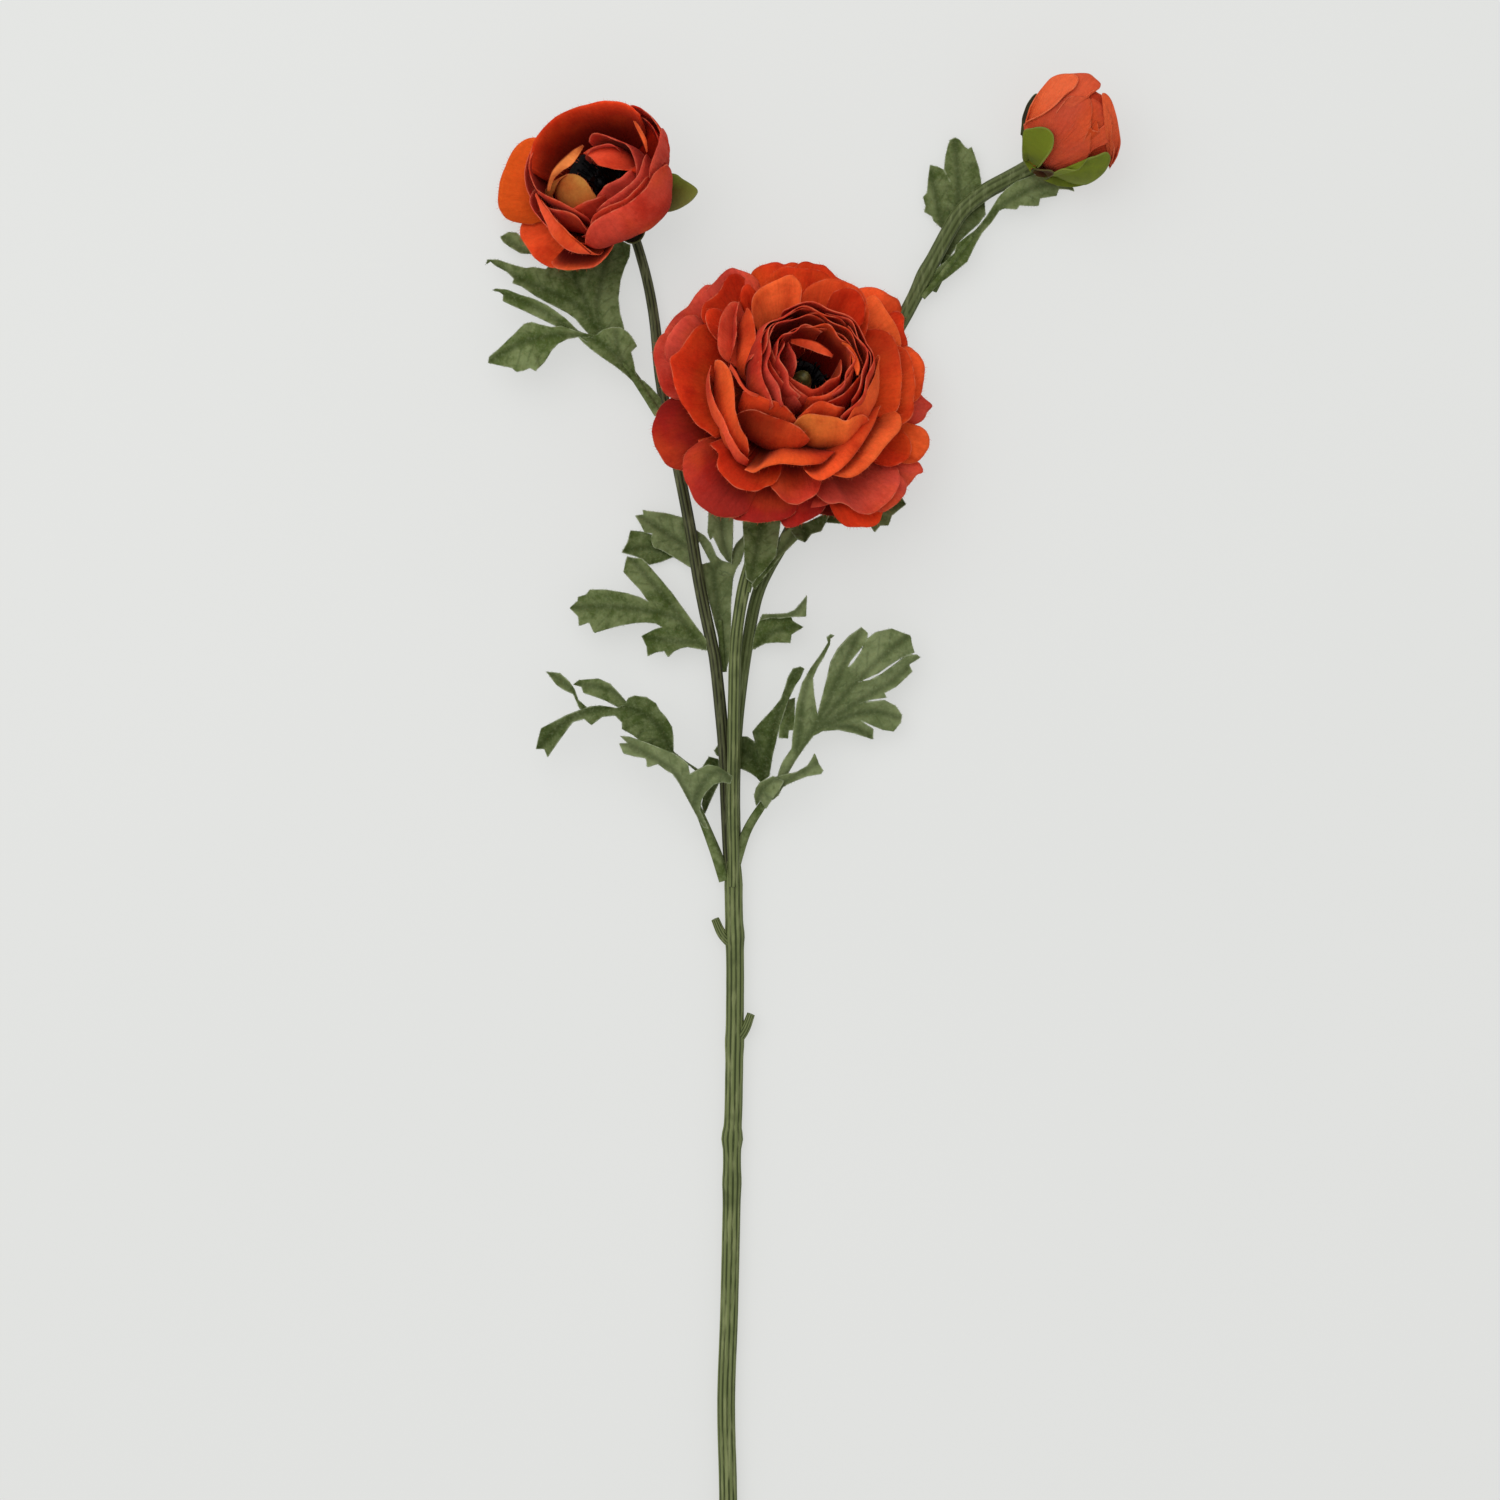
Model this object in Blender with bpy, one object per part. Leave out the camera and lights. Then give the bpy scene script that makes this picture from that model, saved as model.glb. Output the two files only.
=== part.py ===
"""A ranunculus spray: a cut stem that forks into an open flower, a half-open flower and a bud.

It lies on its back on the z = 0 plane. The stem runs along +Y, the flowers face up, and the
sizes are in millimetres until a mesh is made. Places on the spray are read as (right, up) in
the picture's own frame of 1500 points, with a height over the table, and at() turns them into
millimetres as a camera straight above would see them.
"""

import math
import random
from dataclasses import dataclass, replace

import bpy
import bmesh
from mathutils import Matrix, Vector

# Driving dimensions, in millimetres
MM = 0.001
MM_PER_POINT = 0.31
PICTURE_MIDDLE = 750
SEEN_AT_HEIGHT = 20
CAMERA_HEIGHT = 1120
CENTRE_SHIFT = Vector((-16.6, 68.2, 0.0))

STEM_RADIUS = 2.75
COLLAR_RADIUS = 3.6
BRANCH_RADIUS = 1.95
BRANCH_START_RADIUS = 1.42
BRANCH_SPREAD = 1.9
SEAT_GAP = 0.3
RIB_DEPTH = 0.06

PETAL_THICKNESS = 0.7
ROOT_WIDTH = 0.14
WIDEST_AT = 0.62
ROLL_FROM = 0.7
ARC_STEPS = 24
TIGHTEST_BEND = 5.0
TURN_SPREAD = 5.0
LENGTH_SPREAD = 0.02
CLOSE_SPREAD = 1.5
LONGEST_PETAL = 41.0
LEAF_THICKNESS = 0.7
SEPAL_THICKNESS = 0.8
FLOOR_CLEARANCE = 0.45
BELLY_CUT = 2.0
SLIM_LOBE = 3.1

# Colours of the painted fabric and plastic
STEM_GREEN = (0.20, 0.24, 0.09)
BRANCH_GREEN = (0.11, 0.13, 0.05)
LEAF_GREEN = (0.13, 0.21, 0.09)
SEPAL_GREEN = (0.20, 0.26, 0.03)
PETAL_RED = (0.62, 0.06, 0.02)
BUD_CORAL = (0.72, 0.14, 0.06)
EYE_BLACK = (0.01, 0.01, 0.01)
PISTIL_GREEN = (0.12, 0.13, 0.03)

# Routes of the stems: picture point right, picture point down, height over the table
STEM_ROUTE = [
    (727, 1850, 2.5), (728, 1650, 2.5), (728, 1500, 2.5), (726, 1404, 2.5), (729, 1310, 2.5),
    (731.5, 1200, 2.5), (732, 1139, 2.5), (733.5, 1100, 2.5), (735, 973, 2.6), (733.5, 900, 3.1),
    (733.5, 848, 4.2),
]
LEFT_ROUTE = [
    (726, 800, 4.2), (724, 748, 5.0), (716, 667, 5.8), (711, 640, 6.0), (700, 587, 6.2),
    (691, 533, 6.0), (680, 476, 5.6), (668, 420, 5.0), (660, 376, 4.6), (655, 325, 4.0),
    (648, 284, 3.0), (638, 247, 1.3), (629, 222, 1.3),
]
CENTRE_ROUTE = [
    (732.5, 800, 7.5), (733, 748, 8.4), (735, 700, 8.8), (736, 640, 9.3), (745, 587, 9.4),
    (757, 540, 8.2), (768, 485, 5.8), (777, 446, 4.6),
]
RIGHT_ROUTE = [
    (739, 800, 3.9), (740, 748, 4.5), (742, 700, 4.5), (749, 640, 4.6), (760, 587, 4.6),
    (788, 534, 4.4), (820, 470, 4.0), (860, 395, 3.8), (905, 315, 4.2), (925, 276, 4.8),
    (949, 231, 5.0), (963, 210, 5.0), (987, 188, 4.6), (1009, 171, 3.4),
]

# Where each flower head sits: its base on the stem, and the way it faces
MAIN_BASE = (790, 405, 15.5)
MAIN_AXIS = (0.195, 0.338, 0.9205)
LEFT_BASE = (614, 196, 9.5)
LEFT_AXIS = (-0.35, 0.25, 0.90)
BUD_BASE = (1040, 147, 5.3)
BUD_AXIS = (0.666, 0.375, 0.643)


@dataclass
class Ring:
    """Petals of one layer of a flower, evenly turned about its axis, in millimetres and degrees."""

    count: int
    start: float
    base_radius: float
    base_height: float
    length: float
    half_width: float
    rise: float
    close: float
    roll: float = 0.0
    wave: float = 0.0
    skew: float = 0.8
    rounding: float = 0.28
    rows: int = 4
    columns: int = 4
    thickness: float = PETAL_THICKNESS


MAIN_RINGS = [
    Ring(3, 20, 7.6, 11.2, 21.0, 9.0, 80, 104, skew=0.8, rounding=0.15, rows=3, columns=3),
    Ring(3, 75, 7.6, 8.6, 26.0, 12.5, 62, 112, skew=1.0, rounding=0.2, rows=3, columns=3),
    Ring(4, 5, 7.4, 6.8, 29.5, 12.5, 43, 112, skew=1.0, rounding=0.2, rows=3, columns=3),
    Ring(4, 40, 7.0, 5.2, 33.5, 15.5, 28, 114, skew=1.1, rounding=0.22, columns=3),
    Ring(4, 15, 6.5, 3.8, 36.5, 17.5, 14, 114, skew=1.1, rounding=0.24),
    Ring(5, 45, 6.0, 2.6, 37.5, 17.5, 8, 92, roll=-45, wave=0.6, skew=1.1),
    Ring(5, 20, 6.0, 1.4, 38.5, 20.0, 4, 62, roll=-50, wave=0.8, skew=1.1, rounding=0.24),
    Ring(7, 0, 5.5, 0.0, 41.0, 19.5, 2, 32, roll=-25, wave=0.9, skew=1.1, rounding=0.22),
]
LEFT_RINGS = [
    Ring(3, 200, 6.2, 8.4, 10.0, 5.5, 60, 95, skew=0.8, rounding=0.15, rows=2, columns=2),
    Ring(4, 30, 6.6, 6.4, 17.0, 8.5, 40, 100, skew=0.9, rounding=0.2, rows=3, columns=3),
    Ring(4, 80, 6.4, 4.8, 28.0, 13.5, 20, 108, skew=1.0, rounding=0.2, columns=3),
    Ring(4, 35, 6.0, 3.2, 31.5, 16.0, 10, 112, skew=1.0, rounding=0.24),
    Ring(4, 80, 5.5, 1.6, 34.0, 18.0, 2, 110, skew=1.1, rounding=0.26),
    Ring(1, 188, 5.5, -0.1, 35.0, 14.0, -2, 72, roll=-20, wave=0.6),
    Ring(1, 262, 5.5, -0.1, 32.0, 13.0, -2, 84, roll=-15, wave=0.6),
]
BUD_RINGS = [
    Ring(2, 10, 5.0, 3.2, 29.0, 10.0, 45, 150, skew=0.6, rounding=0.3, rows=3, columns=3),
    Ring(3, 70, 4.5, 1.8, 34.0, 12.0, 28, 166, skew=0.8, rounding=0.3, columns=3),
    Ring(3, 120, 2.8, 0.2, 38.0, 15.0, 12, 158, skew=0.8, rounding=0.3),
]


@dataclass
class Lobe:
    """One lobe of a cut leaf: where it leaves its parent, and the picture places its rib runs through."""

    parent: int
    leaves_at: float
    rib: list
    half_width: float
    shape: str = "toothed"
    fold: float = 14.0


@dataclass
class Leaf:
    """A petiole with its lobes. A lobe's parent is an index into lobes, or PETIOLE."""

    petiole: list
    radius: tuple
    lobes: list
    seat: tuple = ()


PETIOLE = -1

# Half widths along a lobe, from its root to its tip, as shares of the widest
LOBE_SHAPES = {
    "toothed": [
        (0.0, 0.34), (0.28, 0.5), (0.6, 0.95), (0.7, 1.0), (0.73, 0.8), (0.88, 0.8),
        (0.91, 0.5), (1.0, 0.1),
    ],
    "broad": [(0.0, 0.7), (0.3, 0.95), (0.6, 1.0), (0.64, 0.8), (0.84, 0.76), (0.88, 0.48), (1.0, 0.1)],
    "fan": [(0.0, 0.3), (0.3, 0.72), (0.6, 1.0), (0.78, 0.94), (0.81, 0.74), (0.93, 0.56), (1.0, 0.12)],
    "palm": [(0.0, 0.4), (0.25, 0.8), (0.55, 1.0), (0.8, 0.86), (0.83, 0.66), (0.93, 0.5), (1.0, 0.14)],
    "arch": [(0.0, 0.55), (0.15, 0.9), (0.33, 1.0), (0.46, 0.66), (0.66, 0.5), (0.84, 0.6), (1.0, 0.12)],
    "wedge": [(0.0, 0.22), (0.35, 0.45), (0.88, 1.0), (0.91, 0.72), (1.0, 0.3)],
    "strap": [(0.0, 0.8), (0.35, 1.0), (0.6, 0.6), (0.8, 0.36), (1.0, 0.1)],
    "oval": [(0.0, 0.3), (0.3, 0.8), (0.55, 1.0), (0.78, 0.84), (0.81, 0.66), (1.0, 0.14)],
}

LEAVES = {
    "leaf_lower_left": Leaf(
        [(722.0, 872, 3.2), (710, 848, 4.6), (699, 826, 8), (685, 803, 13), (672, 776, 17)],
        (1.6, 1.2),
        [
            Lobe(PETIOLE, 0.8, [(672, 770, 20), (648, 755, 21), (619, 745, 19)], 3.2),
            Lobe(PETIOLE, 0.45, [(702, 790, 17), (708, 776, 20), (718, 770, 20), (732, 780, 16)], 3.6, "broad"),
            Lobe(PETIOLE, 1.0, [(668, 747, 17), (650, 716, 19), (620, 706, 20), (585, 712, 18), (540, 747, 11)],
                 4.8, "arch", 25),
            Lobe(2, 0.35, [(628, 700, 16), (603, 686, 16), (574, 684, 14)], 2.6, "broad"),
            Lobe(2, 0.72, [(582, 695, 15), (566, 680, 13), (546, 672, 12)], 1.5, "strap"),
            Lobe(PETIOLE, 0.35, [(706, 800, 4.5), (711, 778, 2.5), (714, 758, 1.6)], 2.6, "broad"),
        ],
        seat=(-1, 0),
    ),
    "leaf_lower_right": Leaf(
        [(746.5, 852, 3.4), (757, 826, 5), (770, 801, 7.5), (782, 784, 9), (797, 758, 11), (810, 736, 12)],
        (1.6, 1.2),
        [
            Lobe(PETIOLE, 0.86, [(802, 712, 14), (806, 685, 16), (818, 658, 18), (834, 635, 20)], 3.5, "strap", 20),
            Lobe(PETIOLE, 0.94, [(828, 705, 13), (845, 670, 14.5), (861, 627, 13.5)], 6.0, "palm"),
            Lobe(PETIOLE, 0.98, [(848, 692, 12), (878, 661, 12), (910, 632, 10)], 7.8, "palm"),
            Lobe(PETIOLE, 1.0, [(858, 704, 10.2), (890, 683, 8.6), (921, 657, 7)], 5.4, "palm"),
            Lobe(PETIOLE, 1.0, [(848, 720, 9), (875, 714, 7.4), (903, 718, 6)], 5.2, "oval"),
            Lobe(PETIOLE, 0.5, [(795, 776, 12), (808, 770, 14), (821, 758, 16)], 2.6, "broad"),
            Lobe(PETIOLE, 0.5, [(772, 781, 14), (762, 790, 13), (757, 806, 8)], 2.9, "broad"),
            Lobe(PETIOLE, 0.42, [(768, 755, 7), (778, 715, 10), (801, 667, 14)], 3.8, "strap", 20),
            Lobe(PETIOLE, 0.40, [(758, 772, 2.4), (736, 755, 1.2), (713, 748, 1.2)], 4.4, "oval", 0),
            Lobe(PETIOLE, 0.85, [(788, 735, 12), (790, 718, 13), (795, 698, 13)], 2.4, "strap"),
        ],
        seat=(1, 0),
    ),
    "leaf_middle_left": Leaf(
        [(703.8, 648, 6.0), (699, 641, 6.4), (690, 632, 6.8)],
        (1.2, 1.0),
        [
            Lobe(PETIOLE, 0.8, [(672, 606, 8), (650, 580, 9), (626, 556, 9)], 4.4, "broad"),
            Lobe(PETIOLE, 1.0, [(655, 614, 8), (612, 608, 9), (568, 609, 8)], 6.2),
            Lobe(PETIOLE, 0.5, [(680, 638, 7), (662, 642, 7.5), (641, 645, 7)], 4.2, "broad"),
        ],
        seat=(-1, 0),
    ),
    "leaf_centre_left": Leaf(
        [(723.6, 672, 3.6), (722, 650, 3.5), (721, 620, 3.5)],
        (1.0, 1.0),
        [
            Lobe(PETIOLE, 0.2, [(720, 595, 3.8), (721, 550, 6), (720, 500, 8)], 4.2, "wedge", 22),
            Lobe(PETIOLE, 1.0, [(730, 585, 4), (740, 553, 5), (748, 520, 6)], 2.8, "broad"),
            Lobe(PETIOLE, 1.0, [(700, 566, 3), (668, 533, 2.6), (636, 516, 3.0)], 4.8, fold=4),
            Lobe(PETIOLE, 1.0, [(690, 564, 1.6), (655, 550, 1.3), (623, 545, 1.5)], 4.4, fold=4),
        ],
    ),
    "leaf_centre": Leaf(
        [(749, 590, 12.4), (752, 575, 12.5), (755, 560, 12.6)],
        (0.9, 0.9),
        [
            Lobe(PETIOLE, 0.1, [(754, 560, 12.8), (759, 538, 12), (766, 500, 10)], 5.6, "wedge", 20),
            Lobe(PETIOLE, 0.4, [(772, 558, 11), (787, 543, 10), (800, 528, 9)], 2.4, "broad"),
            Lobe(1, 0.85, [(820, 514, 9), (862, 510, 9), (905, 503, 9)], 4.8, "broad"),
            Lobe(1, 0.85, [(800, 534, 10), (804, 539, 11), (806, 545, 12)], 2.6, "oval"),
        ],
    ),
    "leaf_middle_right": Leaf(
        [(756.2, 651, 4.8), (761, 645, 5.4), (767, 638, 6.2)],
        (1.1, 0.9),
        [
            Lobe(PETIOLE, 0.6, [(774, 632, 6.4), (788, 629, 6.5), (806, 628, 6)], 4.6, "fan"),
            Lobe(PETIOLE, 0.8, [(774, 624, 8.5), (792, 614, 9.5), (806, 594, 11)], 2.8),
        ],
        seat=(1, 0),
    ),
    "leaf_upper_left": Leaf(
        [(658.4, 414, 5.0), (645, 393, 6), (628, 372, 8), (612, 353, 10), (600, 343, 11)],
        (1.6, 1.1),
        [
            Lobe(PETIOLE, 0.9, [(580, 306, 8), (543, 281, 6), (490, 260, 6)], 6.2, "palm"),
            Lobe(PETIOLE, 0.9, [(592, 306, 8.6), (582, 280, 6.6), (574, 252, 5)], 7.4, "palm"),
            Lobe(PETIOLE, 0.8, [(608, 312, 9.2), (613, 286, 7.2), (620, 252, 6)], 5.6, "palm"),
            Lobe(PETIOLE, 0.95, [(572, 331, 12), (535, 309, 11), (491, 290, 9)], 2.8),
            Lobe(PETIOLE, 0.97, [(560, 337, 13.5), (527, 345, 13), (487, 359, 10)], 6.0),
            Lobe(PETIOLE, 0.2, [(634, 368, 11), (626, 352, 13), (614, 332, 13)], 4.0, "broad"),
            Lobe(0, 0.45, [(540, 265, 5), (520, 246, 4), (500, 233, 3.5)], 2.6, "broad"),
        ],
        seat=(-1, 0),
    ),
    "leaf_bud_left": Leaf(
        [(934, 291, 2.4), (942, 275, 1.8), (948, 255, 1.5)],
        (0.9, 0.8),
        [
            Lobe(PETIOLE, 0.8, [(956, 225, 1.2), (962, 185, 1.6), (959, 138, 3)], 6.4, "oval", 4),
            Lobe(PETIOLE, 0.8, [(946, 228, 1.2), (939, 200, 1.8), (930, 165, 3.5)], 4.6, "broad", 4),
        ],
    ),
    "leaf_bud_right": Leaf(
        [(928.5, 293, 5.7), (941, 277, 6.1), (958, 258, 6.4), (975, 236, 6.6), (988, 218, 7)],
        (1.1, 0.9),
        [
            Lobe(PETIOLE, 0.85, [(1004, 205, 8), (1032, 196, 6), (1067, 190, 3.5)], 4.8, "broad"),
            Lobe(PETIOLE, 0.1, [(948, 264, 6.5), (967, 240, 7), (986, 218, 7)], 2.6, "broad"),
        ],
        seat=(1, 0),
    ),
}

# Side shoots that were cut off short
STUBS = [
    [(733, 945, 2.8), (722, 934, 3.4), (715, 919, 4.0)],
    [(736, 1042, 2.8), (745, 1029, 3.2), (751, 1014, 3.6)],
]
STUB_RADIUS = 1.25
# Rings on the stem and the collar below its fork: picture points down, and millimetres more
RINGS_ON_STEM = [(1188, 0.25), (1139, 0.6), (1041, 0.25), (940, 0.35)]
RING_REACH = 9.0
COLLAR_FROM = 895
COLLAR_REACH = 25


def at(right, down, height):
    """The place that the picture shows at a point, at a height over the table, in millimetres."""
    scale = MM_PER_POINT * (CAMERA_HEIGHT - height) / (CAMERA_HEIGHT - SEEN_AT_HEIGHT)
    return Vector(((right - PICTURE_MIDDLE) * scale, (PICTURE_MIDDLE - down) * scale, height)) + CENTRE_SHIFT


def smooth(points, step):
    """Points about one step apart on a smooth curve through the given ones."""
    ends = [2 * points[0] - points[1]] + list(points) + [2 * points[-1] - points[-2]]
    curve = []
    for before, here, there, after in zip(ends, ends[1:], ends[2:], ends[3:]):
        count = max(1, round((there - here).length / step))
        for i in range(count):
            t = i / count
            curve.append(
                0.5 * (
                    2 * here
                    + (there - before) * t
                    + (2 * before - 5 * here + 4 * there - after) * t ** 2
                    + (3 * here - before - 3 * there + after) * t ** 3
                )
            )
    return curve + [points[-1]]


def along(curve, share):
    """The point at a share of the way along a curve, by its index."""
    place = share * (len(curve) - 1)
    low = min(int(place), len(curve) - 2)
    return curve[low].lerp(curve[low + 1], place - low)


def new_object(name, verts, faces):
    mesh = bpy.data.meshes.new(name)
    mesh.from_pydata([Vector(v) * MM for v in verts], [], faces)
    mesh.validate()
    obj = bpy.data.objects.new(name, mesh)
    bpy.context.scene.collection.objects.link(obj)
    return obj


def tube(name, curve, radius_at, sides=8, ribs=0.0, start_plane=None, end_plane=None, floor=None):
    """A closed tube along a curve. radius_at gives the radius at a share of the way."""
    verts = []
    cuts = {0: start_plane, len(curve) - 1: end_plane}
    for i, centre in enumerate(curve):
        tangent = (curve[min(i + 1, len(curve) - 1)] - curve[max(i - 1, 0)]).normalized()
        side = tangent.cross(Vector((0, 0, 1))).normalized()
        up = side.cross(tangent)
        radius = radius_at(i / (len(curve) - 1))
        for k in range(sides):
            turn = 2 * math.pi * (k + 0.5) / sides - math.pi / 2
            ribbed = radius * (1 + ribs * (-1) ** k)
            point = centre + ribbed * (math.cos(turn) * side + math.sin(turn) * up)
            if cuts.get(i):
                on_plane, normal = cuts[i]
                point += tangent * (on_plane - point).dot(normal) / tangent.dot(normal)
            if floor is not None:
                point.z = max(point.z, floor)
            verts.append(point)
    faces = [tuple(range(sides))]
    for i in range(len(curve) - 1):
        for k in range(sides):
            a, b = i * sides + k, i * sides + (k + 1) % sides
            faces.append((a, a + sides, b + sides, b))
    faces.append(tuple(range(len(verts) - 1, len(verts) - sides - 1, -1)))
    return new_object(name, verts, faces)


def blade(name, grid, thickness, floor=FLOOR_CLEARANCE):
    """A closed thin solid on both sides of a grid of points, split into triangles alike on both faces."""
    rows, columns = len(grid), len(grid[0])
    front, back = [], []
    for i in range(rows):
        for j in range(columns):
            along_rib = grid[min(i + 1, rows - 1)][j] - grid[max(i - 1, 0)][j]
            across = grid[i][min(j + 1, columns - 1)] - grid[i][max(j - 1, 0)]
            offset = along_rib.cross(across).normalized() * thickness / 2
            front.append(grid[i][j] + offset)
            back.append(grid[i][j] - offset)
            for point in (front[-1], back[-1]):
                point.z = max(point.z, floor)
    faces = []
    lower = rows * columns
    for i in range(rows - 1):
        for j in range(columns - 1):
            a, b = i * columns + j, i * columns + j + 1
            c, d = a + columns, b + columns
            for triangle in ((a, c, d), (a, d, b)):
                faces.append(triangle)
                faces.append(tuple(lower + k for k in reversed(triangle)))
    rim = [j for j in range(columns)]
    rim += [i * columns + columns - 1 for i in range(1, rows)]
    rim += [(rows - 1) * columns + j for j in range(columns - 2, -1, -1)]
    rim += [i * columns for i in range(rows - 2, 0, -1)]
    for a, b in zip(rim, rim[1:] + rim[:1]):
        faces.append((a, b, lower + b))
        faces.append((a, lower + b, lower + a))
    return new_object(name, front + back, faces)


def turned(name, profile, sides, place):
    """A solid turned about the local z axis from (radius, height) pairs, then placed."""
    verts = []
    for radius, height in profile:
        for k in range(sides):
            turn = 2 * math.pi * k / sides
            verts.append(place @ Vector((radius * math.cos(turn), radius * math.sin(turn), height)))
    faces = [tuple(range(sides - 1, -1, -1))]
    for i in range(len(profile) - 1):
        for k in range(sides):
            a, b = i * sides + k, i * sides + (k + 1) % sides
            faces.append((a, b, b + sides, a + sides))
    faces.append(tuple(range(len(verts) - sides, len(verts))))
    return new_object(name, verts, faces)


def main_shell(mesh):
    """Keeps the largest closed shell, so that a sealed hollow is filled and a loose scrap dropped."""
    bm = bmesh.new()
    bm.from_mesh(mesh)
    left = set(bm.faces)
    shells = []
    while left:
        shell, front = set(), [left.pop()]
        while front:
            face = front.pop()
            shell.add(face)
            near = {other for edge in face.edges for other in edge.link_faces} & left
            left -= near
            front += near
        shells.append(shell)
    keep = max(shells, key=len)
    bmesh.ops.delete(bm, geom=[face for face in bm.faces if face not in keep], context="FACES")
    bmesh.ops.triangulate(bm, faces=bm.faces)
    bm.to_mesh(mesh)
    bm.free()


def fuse(name, body, pieces):
    """One union of a body with its pieces, applied, with the pieces then removed."""
    group = bpy.data.collections.new(name + "_pieces")
    bpy.context.scene.collection.children.link(group)
    for piece in pieces:
        bpy.context.scene.collection.objects.unlink(piece)
        group.objects.link(piece)
    union = body.modifiers.new("Union", "BOOLEAN")
    union.operation = "UNION"
    union.solver = "MANIFOLD"
    union.operand_type = "COLLECTION"
    union.collection = group
    graph = bpy.context.evaluated_depsgraph_get()
    mesh = bpy.data.meshes.new_from_object(body.evaluated_get(graph))
    body.modifiers.clear()
    body.data = mesh
    body.name = name
    mesh.name = name
    for piece in pieces:
        bpy.data.objects.remove(piece)
    bpy.data.collections.remove(group)
    main_shell(mesh)
    return body


def cut_flat(obj):
    """Cuts off what dips below z = 0, so that the piece rests on a small flat spot."""
    bpy.ops.mesh.primitive_cube_add(size=1.0, location=(0, 0, -0.5))
    block = bpy.context.object
    cut = obj.modifiers.new("Flat", "BOOLEAN")
    cut.operation = "DIFFERENCE"
    cut.solver = "MANIFOLD"
    cut.object = block
    graph = bpy.context.evaluated_depsgraph_get()
    obj.data = bpy.data.meshes.new_from_object(obj.evaluated_get(graph))
    obj.modifiers.clear()
    bpy.data.objects.remove(block)
    main_shell(obj.data)


def finish(obj, paint, sharp_angle=None):
    obj.data.materials.clear()
    obj.data.materials.append(paint)
    if sharp_angle is not None:
        obj.data.shade_smooth()
        obj.data.set_sharp_from_angle(angle=math.radians(sharp_angle))
    return obj


def material(name, colour, roughness):
    made = bpy.data.materials.new(name)
    made.use_nodes = True
    shader = made.node_tree.nodes["Principled BSDF"]
    shader.inputs["Base Color"].default_value = (*colour, 1.0)
    shader.inputs["Roughness"].default_value = roughness
    shader.inputs["Metallic"].default_value = 0.0
    return made


def stem_radius(share):
    """The main stem: a little thicker at its node rings, and a collar at the fork."""
    first, last = STEM_ROUTE[0][1], STEM_ROUTE[-1][1]
    down = first + share * (last - first)
    radius = STEM_RADIUS
    for ring, extra in RINGS_ON_STEM:
        radius += extra * math.exp(-(((down - ring) / RING_REACH) ** 2))
    if down < COLLAR_FROM:
        radius += (COLLAR_RADIUS - STEM_RADIUS) * min(1.0, (COLLAR_FROM - down) / COLLAR_REACH)
    return radius


def main_stem(green):
    curve = smooth([at(*place) for place in STEM_ROUTE], 16.0)
    top = (curve[-1], Vector((0, 1, 0)))
    stem = tube("main_stem", curve, stem_radius, sides=10, ribs=RIB_DEPTH / 2, end_plane=top, floor=0.0)
    stubs = []
    for route in STUBS:
        path = smooth([at(*place) for place in route], 3.0)
        stubs.append(tube("stub", path, lambda share: STUB_RADIUS, sides=6))
    return finish(fuse("main_stem", stem, stubs), green, 35)


def fork_place(turn):
    """The start of a branch on the fork's flat top, turned about the stem's axis."""
    centre = at(*STEM_ROUTE[-1])
    side = BRANCH_SPREAD * Vector((math.cos(math.radians(turn)), 0, math.sin(math.radians(turn))))
    return centre + side + Vector((0, SEAT_GAP, 0))


def branch(name, route, start_turn, head, cup_depth, lead, end_radius, green, floor=None):
    """A branch from the fork to a flower head, ending square to the head's own axis."""
    end = head @ Vector((0, 0, -cup_depth - SEAT_GAP))
    facing = head.to_3x3() @ Vector((0, 0, 1))
    points = [fork_place(start_turn)] + [at(*place) for place in route]
    if lead:
        points.append(end - lead * facing)
    points.append(end)
    curve = smooth(points, 12.0)
    full = 0.2

    def radius_at(share):
        if share < full:
            return BRANCH_START_RADIUS + (BRANCH_RADIUS - BRANCH_START_RADIUS) * share / full
        return BRANCH_RADIUS + (end_radius - BRANCH_RADIUS) * ((share - full) / (1 - full)) ** 2

    start = (points[0], Vector((0, 1, 0)))
    made = tube(name, curve, radius_at, sides=7, start_plane=start, end_plane=(end, facing), floor=floor)
    return finish(made, green, 35)


def head_frame(base, axis):
    """The frame of a flower head: its own z axis along the way it faces."""
    turn = Vector((0, 0, 1)).rotation_difference(Vector(axis).normalized())
    return Matrix.Translation(at(*base)) @ turn.to_matrix().to_4x4()


def petal_width(share):
    """A petal's half width from root to rim, as a share of its widest."""
    grown = math.sin(math.pi / 2 * min(1.0, share / WIDEST_AT))
    return ROOT_WIDTH + (1 - ROOT_WIDTH) * grown


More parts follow.
